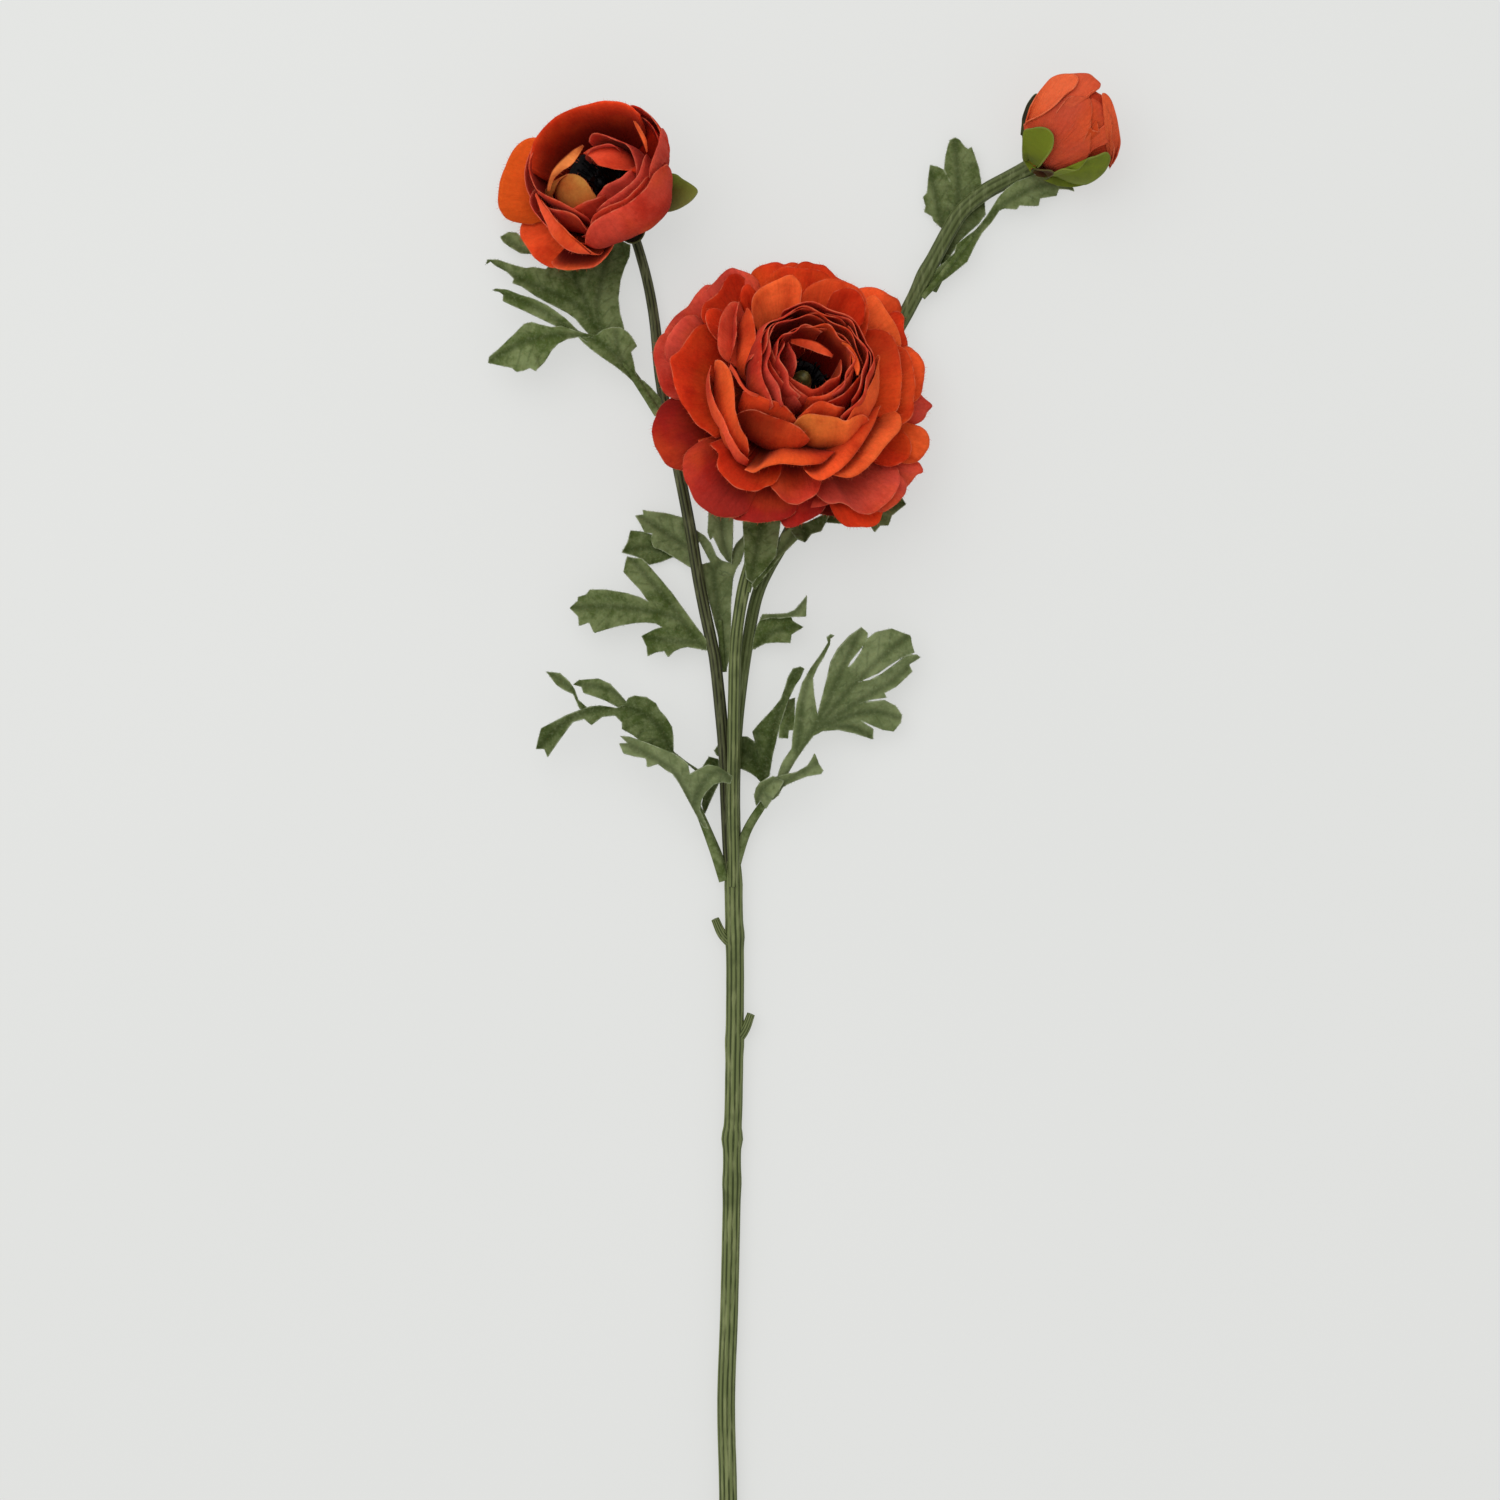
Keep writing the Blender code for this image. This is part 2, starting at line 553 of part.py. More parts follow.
def petal_grid(ring, turn, place, chance):
    """The mid surface of one petal, as rows from its root to its rim."""
    phase = chance.uniform(0, 2 * math.pi)
    grid = [[None] * (ring.columns + 1) for _ in range(ring.rows + 1)]
    for j in range(ring.columns + 1):
        across = -1 + 2 * j / ring.columns
        reach = 1 - ring.rounding * abs(across) ** 2.4
        radius, height, done = ring.base_radius, ring.base_height, 0.0
        for i in range(ring.rows + 1):
            share = reach * i / ring.rows
            while done < share - 1e-9:
                step = min(1 / ARC_STEPS, share - done)
                middle = done + step / 2
                slope = ring.rise + (ring.close - ring.rise) * middle
                slope += ring.roll * max(0.0, (middle - ROLL_FROM) / (1 - ROLL_FROM)) ** 2
                radius += ring.length * step * math.cos(math.radians(slope))
                height += ring.length * step * math.sin(math.radians(slope))
                done += step
            slope = math.radians(ring.rise + (ring.close - ring.rise) * share)
            ripple = ring.wave * math.sin(2.2 * math.pi * across + phase) * share ** 2
            off = ripple - ring.skew * across * min(1.0, 0.25 + 1.5 * share)
            out = radius - off * math.sin(slope)
            up = height + off * math.cos(slope)
            bend = max(radius, TIGHTEST_BEND)
            sweep = ring.half_width * petal_width(share) * across / bend
            local = Vector((out - bend * (1 - math.cos(sweep)), bend * math.sin(sweep), up))
            grid[i][j] = place @ (Matrix.Rotation(turn, 4, "Z") @ local)
    return grid


def petals_of(rings, place, seed, reach_more=0.0, reach_way=0.0, floor=FLOOR_CLEARANCE):
    """One blade for each petal of the rings. The petals on one side may be longer."""
    chance = random.Random(seed)
    made = []
    for ring in rings:
        for k in range(ring.count):
            turn = ring.start + 360 * k / ring.count + chance.uniform(-TURN_SPREAD, TURN_SPREAD)
            turn = math.radians(turn)
            longer = 1 + chance.uniform(-LENGTH_SPREAD, LENGTH_SPREAD)
            longer += reach_more * math.cos(turn - math.radians(reach_way)) * ring.length / LONGEST_PETAL
            close = ring.close + chance.uniform(-CLOSE_SPREAD, CLOSE_SPREAD)
            varied = replace(ring, length=ring.length * longer, close=close)
            grid = petal_grid(varied, turn, place, chance)
            made.append(blade("petal", grid, ring.thickness, floor))
    return made


def sepals(turns, place, base_radius, base_height, length, half_width, rise, close):
    made = []
    for k, turn in enumerate(turns):
        ring = Ring(1, 0, base_radius, base_height, length, half_width, rise, close, skew=0.0,
                    rounding=0.35, columns=3, thickness=SEPAL_THICKNESS)
        made.append(blade("sepal", petal_grid(ring, math.radians(turn), place, random.Random(k)), SEPAL_THICKNESS))
    return made


def stamens(name, place, height, inner, outer, count, length, black):
    """A ring of filaments with their anthers, standing on one washer round the pistil."""
    section = [(inner, height), (outer, height), (outer, height + 1.2), (inner, height + 1.2)]
    sides = 8
    verts, faces = [], []
    for k in range(sides):
        turn = 2 * math.pi * k / sides
        for radius, level in section:
            verts.append(place @ Vector((radius * math.cos(turn), radius * math.sin(turn), level)))
        for m in range(4):
            a, b = 4 * k + m, 4 * k + (m + 1) % 4
            c, d = 4 * ((k + 1) % sides) + m, 4 * ((k + 1) % sides) + (m + 1) % 4
            faces.append((a, c, d, b))
    washer = new_object(name, verts, faces)
    rods = []
    middle = (inner + outer) / 2
    for k in range(count):
        turn = 2 * math.pi * (k + 0.5) / count
        foot = Vector((middle * math.cos(turn), middle * math.sin(turn), height + 0.5))
        tip = Vector((outer * math.cos(turn), outer * math.sin(turn), height + length))
        curve = [place @ foot.lerp(tip, t) for t in (0.0, 0.55, 0.8, 1.0)]
        sizes = [0.35, 0.35, 0.75, 0.35]
        rods.append(tube("filament", curve, lambda share: sizes[round(share * 3)], sides=3))
    return finish(fuse(name, washer, rods), black)


def lobe_edge(shape, share):
    outline = LOBE_SHAPES[shape]
    for (low, a), (high, b) in zip(outline, outline[1:]):
        if share <= high:
            return a + (b - a) * (share - low) / (high - low)
    return outline[-1][1]


def lobe_grid(lobe, curve):
    """The two edges, and on a wide lobe its rib between them, as a shallow V."""
    columns = (-1, 0, 1) if lobe.half_width > SLIM_LOBE else (-1, 1)
    lift = math.sin(math.radians(lobe.fold))
    flat = math.cos(math.radians(lobe.fold))
    grid = []
    for share, _ in LOBE_SHAPES[lobe.shape]:
        centre = along(curve, share)
        tangent = (along(curve, min(1.0, share + 0.04)) - along(curve, max(0.0, share - 0.04))).normalized()
        side = tangent.cross(Vector((0, 0, 1))).normalized()
        up = side.cross(tangent)
        half = lobe.half_width * lobe_edge(lobe.shape, share)
        grid.append([centre + half * (flat * k * side + lift * abs(k) * up) for k in columns])
    return grid


def leaf(name, made_of, green):
    petiole_curve = smooth([at(*place) for place in made_of.petiole], 4.0)
    start = None
    if made_of.seat:
        start = (petiole_curve[0], Vector((*made_of.seat, 0)))
    thick, thin = made_of.radius
    petiole = tube(name, petiole_curve, lambda share: thick + (thin - thick) * share, sides=6,
                   start_plane=start, floor=FLOOR_CLEARANCE)
    curves, blades = [], []
    for lobe in made_of.lobes:
        parent = petiole_curve if lobe.parent == PETIOLE else curves[lobe.parent]
        root = along(parent, lobe.leaves_at)
        curves.append(smooth([root] + [at(*place) for place in lobe.rib], 2.0))
        blades.append(blade("lobe", lobe_grid(lobe, curves[-1]), LEAF_THICKNESS))
    return finish(fuse(name, petiole, blades), green)


def flower(prefix, rings, base, axis, core, seed, colours, reach_more=0.0, reach_way=0.0):
    """Petals fused round a core, on their head's own frame."""
    place = head_frame(base, axis)
    petals = petals_of(rings, place, seed, reach_more, reach_way)
    body = turned(prefix + "_petals", core, 9, place)
    finish(fuse(prefix + "_petals", body, petals), colours["petal"])
    return place


def main_flower(colours):
    core = [(4.5, -0.4), (11.0, 0.0), (14.5, 2.4), (12.5, 6.5), (8.6, 11.0), (2.0, 11.0)]
    place = flower("main", MAIN_RINGS, MAIN_BASE, MAIN_AXIS, core, 11, colours, 0.055, 240)
    cup = turned("main_calyx", [(1.9, -6.0), (2.6, -5.4), (4.0, -3.4), (4.6, -0.8), (2.0, -0.8)], 10, place)
    green = sepals([20, 110, 200, 290], place, 3.0, -1.8, 21.0, 6.0, -12, 12)
    finish(fuse("main_calyx", cup, green), colours["sepal"])
    stamens("main_stamens", place, 11.35, 3.2, 5.6, 9, 7.0, colours["black"])
    pistil = [(2.6, 11.35), (2.8, 13.5), (2.6, 16.5), (1.6, 18.2), (0.5, 18.8)]
    finish(turned("main_pistil", pistil, 8, place), colours["pistil"], 60)
    return place


def left_flower(colours):
    core = [(4.0, -0.4), (9.5, 0.0), (12.0, 2.6), (10.0, 6.0), (6.8, 8.5), (2.0, 8.5)]
    place = flower("left", LEFT_RINGS, LEFT_BASE, LEFT_AXIS, core, 5, colours)
    cup = turned("left_calyx", [(1.5, -3.4), (2.4, -3.0), (3.8, -2.0), (4.2, -0.9), (2.0, -0.9)], 10, place)
    green = sepals([355, 290, 140], place, 2.6, -1.5, 26.0, 5.0, -14, 42)
    finish(fuse("left_calyx", cup, green), colours["sepal"])
    stamens("left_stamens", place, 8.85, 2.8, 5.0, 9, 6.0, colours["black"])
    pistil = [(2.2, 8.85), (2.4, 11.0), (2.2, 13.0), (1.2, 14.6), (0.4, 15.0)]
    finish(turned("left_pistil", pistil, 8, place), colours["pistil"], 60)
    return place


def bud(colours):
    place = head_frame(BUD_BASE, BUD_AXIS)
    core = [(3.0, -0.3), (6.5, 1.5), (9.0, 6.0), (9.6, 12.0), (8.6, 18.0), (6.0, 22.5), (2.5, 25.0)]
    body = turned("bud_petals", core, 9, place)
    petals = petals_of(BUD_RINGS, place, 3, floor=-BELLY_CUT)
    cut_flat(finish(fuse("bud_petals", body, petals), colours["coral"]))
    cup = turned("bud_calyx", [(2.0, -3.6), (2.8, -3.2), (3.6, -1.8), (3.8, -0.9), (1.5, -0.9)], 10, place)
    green = sepals([200, 290, 95], place, 3.3, -2.2, 22.0, 7.5, 12, 85)
    finish(fuse("bud_calyx", cup, green), colours["sepal"])
    return place


def main():
    for obj in list(bpy.data.objects):
        bpy.data.objects.remove(obj)

    stem_green = material("stem_plastic", STEM_GREEN, 0.65)
    branch_green = material("branch_plastic", BRANCH_GREEN, 0.65)
    leaf_green = material("leaf_fabric", LEAF_GREEN, 0.9)
    colours = {
        "petal": material("petal_fabric", PETAL_RED, 0.8),
        "coral": material("bud_fabric", BUD_CORAL, 0.8),
        "sepal": material("sepal_fabric", SEPAL_GREEN, 0.7),
        "black": material("stamen_plastic", EYE_BLACK, 0.5),
        "pistil": material("pistil_plastic", PISTIL_GREEN, 0.5),
    }

    main_stem(stem_green)
    main_place = main_flower(colours)
    left_place = left_flower(colours)
    bud_place = bud(colours)
    branch("left_branch", LEFT_ROUTE, 210, left_place, 3.4, 3.0, 1.4, branch_green, floor=0.0)
    branch("centre_branch", CENTRE_ROUTE, 90, main_place, 6.0, 4.5, 1.8, stem_green)
    branch("right_branch", RIGHT_ROUTE, 330, bud_place, 3.6, 0.0, 1.9, stem_green, floor=0.0)
    for name, made_of in LEAVES.items():
        leaf(name, made_of, leaf_green)


main()
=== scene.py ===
# %% [markdown]
# # A ranunculus spray, dressed
#
# The spray is an artificial one: woven petals that were airbrushed, flocked leaves with dark veins,
# and ribbed plastic stems. It lies on its back, and the camera looks straight down on it. This script
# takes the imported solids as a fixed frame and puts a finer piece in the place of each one. Sizes are
# in millimetres until a mesh is made, and a place is often read as a point of the picture, which is
# 1500 points wide, with a height over the table.

# %% Open the frame
import math
import random
from dataclasses import dataclass, replace

import bpy
import numpy as np
from mathutils import Matrix, Vector


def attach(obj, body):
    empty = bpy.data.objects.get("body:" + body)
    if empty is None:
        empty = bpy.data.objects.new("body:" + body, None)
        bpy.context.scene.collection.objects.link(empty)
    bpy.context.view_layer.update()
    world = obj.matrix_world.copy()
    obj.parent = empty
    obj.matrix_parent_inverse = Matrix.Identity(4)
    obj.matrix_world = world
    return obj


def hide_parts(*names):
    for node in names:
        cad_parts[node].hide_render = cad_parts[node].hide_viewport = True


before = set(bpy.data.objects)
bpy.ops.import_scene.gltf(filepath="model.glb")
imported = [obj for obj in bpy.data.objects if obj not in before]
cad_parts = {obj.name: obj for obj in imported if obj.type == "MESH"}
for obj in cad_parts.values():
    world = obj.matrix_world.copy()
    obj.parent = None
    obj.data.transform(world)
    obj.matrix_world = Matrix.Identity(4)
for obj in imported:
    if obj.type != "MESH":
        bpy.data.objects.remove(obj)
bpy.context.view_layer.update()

# %% [markdown]
# ## Places
#
# The picture shows the spray from far away, so a point of it is 0.31 mm at the height of the flowers.
# A point and a height give a place in space, found along the camera's line of sight. The same rule is
# used for the solids, which is why every finer piece falls where its solid is.

# %% Picture points to millimetres
MM = 0.001
MM_PER_POINT = 0.31
PICTURE_MIDDLE = 750
PICTURE_WIDTH = 1500
SEEN_AT_HEIGHT = 20
CAMERA_HEIGHT = 1120
CENTRE_SHIFT = Vector((-16.6, 68.2, 0.0))


def at(right, down, height):
    """The place that the picture shows at a point, at a height over the table."""
    scale = MM_PER_POINT * (CAMERA_HEIGHT - height) / (CAMERA_HEIGHT - SEEN_AT_HEIGHT)
    return Vector(((right - PICTURE_MIDDLE) * scale, (PICTURE_MIDDLE - down) * scale, height)) + CENTRE_SHIFT


def smooth(points, step):
    """Points about one step apart on a smooth curve through the given ones."""
    ends = [2 * points[0] - points[1]] + list(points) + [2 * points[-1] - points[-2]]
    curve = []
    for before, here, there, after in zip(ends, ends[1:], ends[2:], ends[3:]):
        count = max(1, round((there - here).length / step))
        for i in range(count):
            t = i / count
            curve.append(
                0.5 * (
                    2 * here
                    + (there - before) * t
                    + (2 * before - 5 * here + 4 * there - after) * t ** 2
                    + (3 * here - before - 3 * there + after) * t ** 3
                )
            )
    return curve + [points[-1]]


def head_frame(base, axis):
    """The frame of a flower head: its own z axis along the way it faces."""
    turn = Vector((0, 0, 1)).rotation_difference(Vector(axis).normalized())
    return Matrix.Translation(at(*base)) @ turn.to_matrix().to_4x4()


MAIN_HEAD = head_frame((790, 405, 15.5), (0.195, 0.338, 0.9205))
LEFT_HEAD = head_frame((614, 196, 9.5), (-0.35, 0.25, 0.90))
BUD_HEAD = head_frame((1040, 147, 5.3), (0.666, 0.375, 0.643))
for head in (MAIN_HEAD, LEFT_HEAD, BUD_HEAD):
    print("flower head at", tuple(round(v, 1) for v in head.translation))

# %% [markdown]
# ## Camera, floor and light
#
# The photograph looks at the front of the spray. Lying on its back, the spray has that side up, so the
# camera hangs straight above it. The lens is long, as the picture shows hardly any perspective: its
# width holds 465 mm at the height of the flowers. The floor is plain and pale, and the light is a large
# soft panel up and to the left with an even glow from all sides, which keeps the shadows faint.

# %% Camera, floor and light
SENSOR = 36.0
FLOOR_DROP = 0.4


def in_scene(name, data):
    """A new object that shows some data, linked to the scene."""
    made = bpy.data.objects.new(name, data)
    bpy.context.scene.collection.objects.link(made)
    return made


def make_camera():
    data = bpy.data.cameras.new("camera")
    data.sensor_width = SENSOR
    picture_mm = MM_PER_POINT * PICTURE_WIDTH
    data.lens = SENSOR * (CAMERA_HEIGHT - SEEN_AT_HEIGHT) / picture_mm
    camera = in_scene("camera", data)
    camera.location = Vector((CENTRE_SHIFT.x, CENTRE_SHIFT.y, CAMERA_HEIGHT)) * MM
    bpy.context.scene.camera = camera
    print("lens", round(data.lens, 1), "mm")


def make_light(name, place, aim, size, power):
    data = bpy.data.lights.new(name, "AREA")
    data.size = size
    data.energy = power
    light = in_scene(name, data)
    light.location = place
    light.rotation_euler = (Vector(aim) - Vector(place)).to_track_quat("-Z", "Y").to_euler()


def make_glow(colour, strength):
    world = bpy.data.worlds.new("glow")
    world.use_nodes = True
    back = world.node_tree.nodes["Background"]
    back.inputs["Color"].default_value = (*colour, 1)
    back.inputs["Strength"].default_value = strength
    bpy.context.scene.world = world


PANEL_PLACE = (-0.45, 0.60, 1.05)
PANEL_AIM = (0.0, 0.12, 0.0)
PANEL_SIZE, PANEL_POWER = 1.3, 7.5
GLOW_COLOUR, GLOW_STRENGTH = (0.985, 0.985, 0.975), 0.70

make_camera()
make_light("panel", PANEL_PLACE, PANEL_AIM, PANEL_SIZE, PANEL_POWER)
make_glow(GLOW_COLOUR, GLOW_STRENGTH)
bpy.context.scene.view_settings.view_transform = "Standard"

# %% [markdown]
# ## Materials
#
# Each finish is a small tree of nodes. A pattern that follows the cloth reads the piece's own UV map or
# an attribute that is stored while the piece is made: how far a point is from the petal's rim, or from
# the leaf's rib. A pattern that doesn't follow it reads Object coordinates. Numbers that are the same
# all over a surface are set on the shader itself.

# %% Help for materials
SHEEN_ROUGHNESS = 0.5
LIGHT_IN_CLOTH = (1.0, 0.35, 0.2)


def new_material(name, roughness, sheen=0.0, specular=0.4, subsurface=0.0):
    """A material with its tree and its shader. Light goes a little way into the cloths."""
    made = bpy.data.materials.new(name)
    made.use_nodes = True
    shader = made.node_tree.nodes["Principled BSDF"]
    shader.inputs["Roughness"].default_value = roughness
    shader.inputs["Specular IOR Level"].default_value = specular
    shader.inputs["Sheen Weight"].default_value = sheen
    shader.inputs["Sheen Roughness"].default_value = SHEEN_ROUGHNESS
    shader.inputs["Subsurface Weight"].default_value = subsurface
    shader.inputs["Subsurface Radius"].default_value = LIGHT_IN_CLOTH
    shader.inputs["Subsurface Scale"].default_value = 1.0 * MM
    return made, made.node_tree, shader


def put(tree, kind, inputs=None, **settings):
    """Adds a node, with its settings and its inputs by name or number, as values or as links."""
    node = tree.nodes.new(kind)
    for key, value in settings.items():
        setattr(node, key, value)
    for key, value in (inputs or {}).items():
        socket = node.inputs[key]
        if isinstance(value, bpy.types.NodeSocket):
            tree.links.new(value, socket)
        else:
            socket.default_value = value
    return node


def result(tree, kind, inputs=None, **settings):
    """The first output of a node that is added by put."""
    return put(tree, kind, inputs, **settings).outputs[0]


def sums(tree, operation, *values):
    """A Math node's result."""
    return result(tree, "ShaderNodeMath", dict(enumerate(values)), operation=operation)


def blend(tree, share, first, second, mode="MIX"):
    """A colour between two, given as sockets or as plain colours."""
    def full(colour):
        return colour if isinstance(colour, bpy.types.NodeSocket) else (*colour, 1)
    inputs = {0: share, 6: full(first), 7: full(second)}
    return put(tree, "ShaderNodeMix", inputs, data_type="RGBA", blend_type=mode).outputs[2]


print("node helpers ready")

# %% [markdown]
# These are the patterns' own helpers: a soft step, a stored value, a place in the frame, a noise, and a
# relief that is built up from several heights.

# %% Help for patterns
def ease(tree, value, low, high, start=0.0, end=1.0):
    """A value carried from one range to another, with soft ends."""
    inputs = {0: value, 1: low, 2: high, 3: start, 4: end}
    return result(tree, "ShaderNodeMapRange", inputs, interpolation_type="SMOOTHSTEP")


def attribute(tree, name, output="Fac"):
    """A value that is stored on the mesh, or with the output Color a colour."""
    return put(tree, "ShaderNodeAttribute", attribute_name=name).outputs[output]


def own_place(tree):
    """Object coordinates. Every piece lies at the origin, so they are places in the spray's frame."""
    return put(tree, "ShaderNodeTexCoord").outputs["Object"]


def noise(tree, vector, scale, detail=3.0, roughness=0.55):
    inputs = {"Vector": vector, "Scale": scale, "Detail": detail, "Roughness": roughness}
    return put(tree, "ShaderNodeTexNoise", inputs).outputs["Fac"]


def raise_relief(tree, shader, *reliefs):
    """Joins (height, depth in millimetres) reliefs into the shader's normal, one bump after another."""
    normal = None
    for height, depth in reliefs:
        inputs = {"Height": height, "Distance": depth * MM, "Strength": 1.0}
        if normal is not None:
            inputs["Normal"] = normal
        normal = put(tree, "ShaderNodeBump", inputs).outputs["Normal"]
    tree.links.new(normal, shader.inputs["Normal"])

# %% [markdown]
# ### Petal cloth
#
# The petals are a thin woven polyester that was cut, dyed and airbrushed. Every petal has its own tint,
# stored as a colour while it is made, which runs from the root to an orange body and a pinker rim; in
# the open flowers the root is darkened with painted shade. The finish adds what is smaller than a petal:
# streaks of dye along the threads, clouds of darker red, the pale cut edge, and the weave as a fine relief
# on the UV map, which is laid out in millimetres. Where the tint itself is dark the clouds are left out,
# so the painted shade at the roots stays dark. Loose threads at a rim and loose flock at a leaf's margin
# have a plainer cloth of two dyes.

# %% Petal cloth
THREAD_PITCH = 0.42


def weave(tree, uv, pitch):
    """A plain weave's height: two sets of threads that pass over and under each other."""
    parts = put(tree, "ShaderNodeSeparateXYZ", {0: uv})
    turns = 2 * math.pi / pitch
    warp = sums(tree, "SINE", sums(tree, "MULTIPLY", parts.outputs[0], turns))
    weft = sums(tree, "SINE", sums(tree, "MULTIPLY", parts.outputs[1], turns))
    return sums(tree, "MULTIPLY", warp, weft)


def petal_cloth(name, rim_colour, deep_colour):
    made, tree, shader = new_material(name, 0.85, sheen=0.02, specular=0.03, subsurface=0.08)
    where = own_place(tree)
    uv = put(tree, "ShaderNodeUVMap", uv_map="cloth").outputs["UV"]
    tint = attribute(tree, "tint", "Color")
    rim = attribute(tree, "rim")
    clouds = noise(tree, where, 75.0, 5.0, 0.6)
    red_part = put(tree, "ShaderNodeSeparateColor", {"Color": tint}).outputs["Red"]
    dyed = ease(tree, red_part, 0.10, 0.40)
    patchy = sums(tree, "MULTIPLY", ease(tree, clouds, 0.42, 0.74, 0.0, 0.62), dyed)
    colour = blend(tree, patchy, tint, deep_colour)
    warm = ease(tree, noise(tree, where, 48.0, 3.0), 0.48, 0.72, 0.0, 0.35)
    colour = blend(tree, sums(tree, "MULTIPLY", warm, dyed), colour, WARM_DYE)
    streak_uv = result(tree, "ShaderNodeMapping", {"Vector": uv, "Scale": (0.75, 0.10, 1.0)})
    streaks = noise(tree, streak_uv, 1.0, 5.0, 0.65)
    flecks = noise(tree, where, 900.0, 3.0, 0.65)
    bright = sums(tree, "ADD", 0.56, sums(tree, "MULTIPLY", streaks, 0.44))
    bright = sums(tree, "ADD", bright, sums(tree, "MULTIPLY", flecks, 0.44))
    grey = result(tree, "ShaderNodeCombineXYZ", {0: bright, 1: bright, 2: bright})
    colour = blend(tree, 1.0, colour, grey, "MULTIPLY")
    worn = ease(tree, noise(tree, where, 320.0, 2.0), 0.40, 0.62)
    edge = sums(tree, "MULTIPLY", ease(tree, rim, 0.05, 0.5, 0.5, 0.0), worn)
    colour = blend(tree, edge, colour, rim_colour)
    tree.links.new(colour, shader.inputs["Base Color"])
    crumple = noise(tree, streak_uv, 0.5, 3.0)
    threads_up = weave(tree, uv, THREAD_PITCH)
    raise_relief(tree, shader, (crumple, 0.6), (clouds, 0.5), (flecks, 0.06), (threads_up, 0.012))
    return made


WARM_DYE = (0.80, 0.110, 0.016)
FRAY_LENGTH = 1.1 * MM


def fibre(name, first, second):
    """The cloth of loose threads, in two dyes."""
    made, tree, shader = new_material(name, 0.9, specular=0.03)
    where = own_place(tree)
    colour = blend(tree, ease(tree, noise(tree, where, 400.0, 2.0), 0.4, 0.6), first, second)
    tree.links.new(colour, shader.inputs["Base Color"])
    return made


THREADS = fibre("loose_threads", (0.55, 0.040, 0.012), (0.70, 0.13, 0.06))
FLOCK = fibre("loose_flock", (0.10, 0.135, 0.045), (0.30, 0.35, 0.18))
PETAL_CLOTH = petal_cloth("petal_cloth", (0.72, 0.19, 0.10), (0.36, 0.006, 0.001))
BUD_CLOTH = petal_cloth("bud_cloth", (0.72, 0.20, 0.10), (0.48, 0.040, 0.012))
print("petal cloths ready")

# %% [markdown]
# ### Leaf cloth
#
# The leaves are stamped from flocked cloth: a grey olive green with soft dark veins that were sprayed
# on, and a pale fuzzy line where the cloth was cut. Each leaf stores its distance to the nearest rib and
# to its edge, and how far along the rib a point lies, so the veins are drawn from the leaf's own shape.
# Each blade also stores a shade that paints it darker, as painted shade, or lighter, as painted light,
# and small pale flecks on the flock are painted highlights.

# %% Leaf cloth
LEAF_PALE = (0.185, 0.225, 0.092)
LEAF_GREEN = (0.068, 0.098, 0.023)
LEAF_DARK = (0.016, 0.027, 0.004)
# The next colour is painted light, for blades that take a negative shade.
LEAF_PAINTED_LIGHT = (0.290, 0.330, 0.180)
# The next colour is a painted highlight on the tips of the flock.
FLOCK_HIGHLIGHT = (0.28, 0.33, 0.17)
CUT_EDGE = (0.42, 0.47, 0.31)
SIDE_VEIN_STEP = 4.6
SIDE_VEIN_SLANT = 1.0


def leaf_cloth():
    made, tree, shader = new_material("leaf_cloth", 0.9, sheen=0.05, specular=0.05, subsurface=0.04)
    where = own_place(tree)
    away = attribute(tree, "beside_rib")
    along_rib = attribute(tree, "along_rib")
    edge = attribute(tree, "edge_gap")
    shade = attribute(tree, "shade")
    clouds = noise(tree, where, 75.0, 5.0, 0.62)
    mottle = noise(tree, where, 330.0, 4.0, 0.65)
    flock = noise(tree, where, 1000.0, 3.0, 0.7)
    worn = sums(tree, "ADD", sums(tree, "MULTIPLY", clouds, 0.6), sums(tree, "MULTIPLY", mottle, 0.4))
    colour = blend(tree, ease(tree, worn, 0.40, 0.62), LEAF_GREEN, LEAF_PALE)
    # A blade's shade above zero paints it darker as painted shade, and below zero paints it lighter as
    # painted light.
    colour = blend(tree, sums(tree, "MULTIPLY", sums(tree, "MAXIMUM", shade, 0.0), 0.75), colour, LEAF_DARK)
    lighter = sums(tree, "MAXIMUM", sums(tree, "MULTIPLY", shade, -1.0), 0.0)
    colour = blend(tree, sums(tree, "MULTIPLY", lighter, 0.75), colour, LEAF_PAINTED_LIGHT)
    spread = sums(tree, "ADD", away, sums(tree, "MULTIPLY", mottle, -0.9))
    rib = ease(tree, spread, -0.5, 1.5, 0.52, 0.0)
    slant = sums(tree, "ADD", along_rib, sums(tree, "MULTIPLY", away, -SIDE_VEIN_SLANT))
    step = sums(tree, "FLOORED_MODULO", slant, SIDE_VEIN_STEP)
    place = sums(tree, "ABSOLUTE", sums(tree, "SUBTRACT", step, SIDE_VEIN_STEP / 2))
    side = sums(tree, "MULTIPLY", ease(tree, place, 0.0, 0.8, 0.26, 0.0), ease(tree, edge, 0.4, 2.4))
    veins = sums(tree, "MAXIMUM", rib, side)
    colour = blend(tree, veins, colour, LEAF_DARK)
    # Pale flecks on the flock: painted highlights.
    colour = blend(tree, ease(tree, flock, 0.45, 0.8, 0.0, 0.26), colour, FLOCK_HIGHLIGHT)
    fuzz = sums(tree, "MULTIPLY", ease(tree, edge, 0.0, 0.36, 0.55, 0.0), ease(tree, mottle, 0.38, 0.58))
    colour = blend(tree, fuzz, colour, CUT_EDGE)
    tree.links.new(colour, shader.inputs["Base Color"])
    raise_relief(tree, shader, (veins, -0.25), (flock, 0.12), (clouds, 0.6))
    return made


LEAF_CLOTH = leaf_cloth()
print("leaf cloth ready")
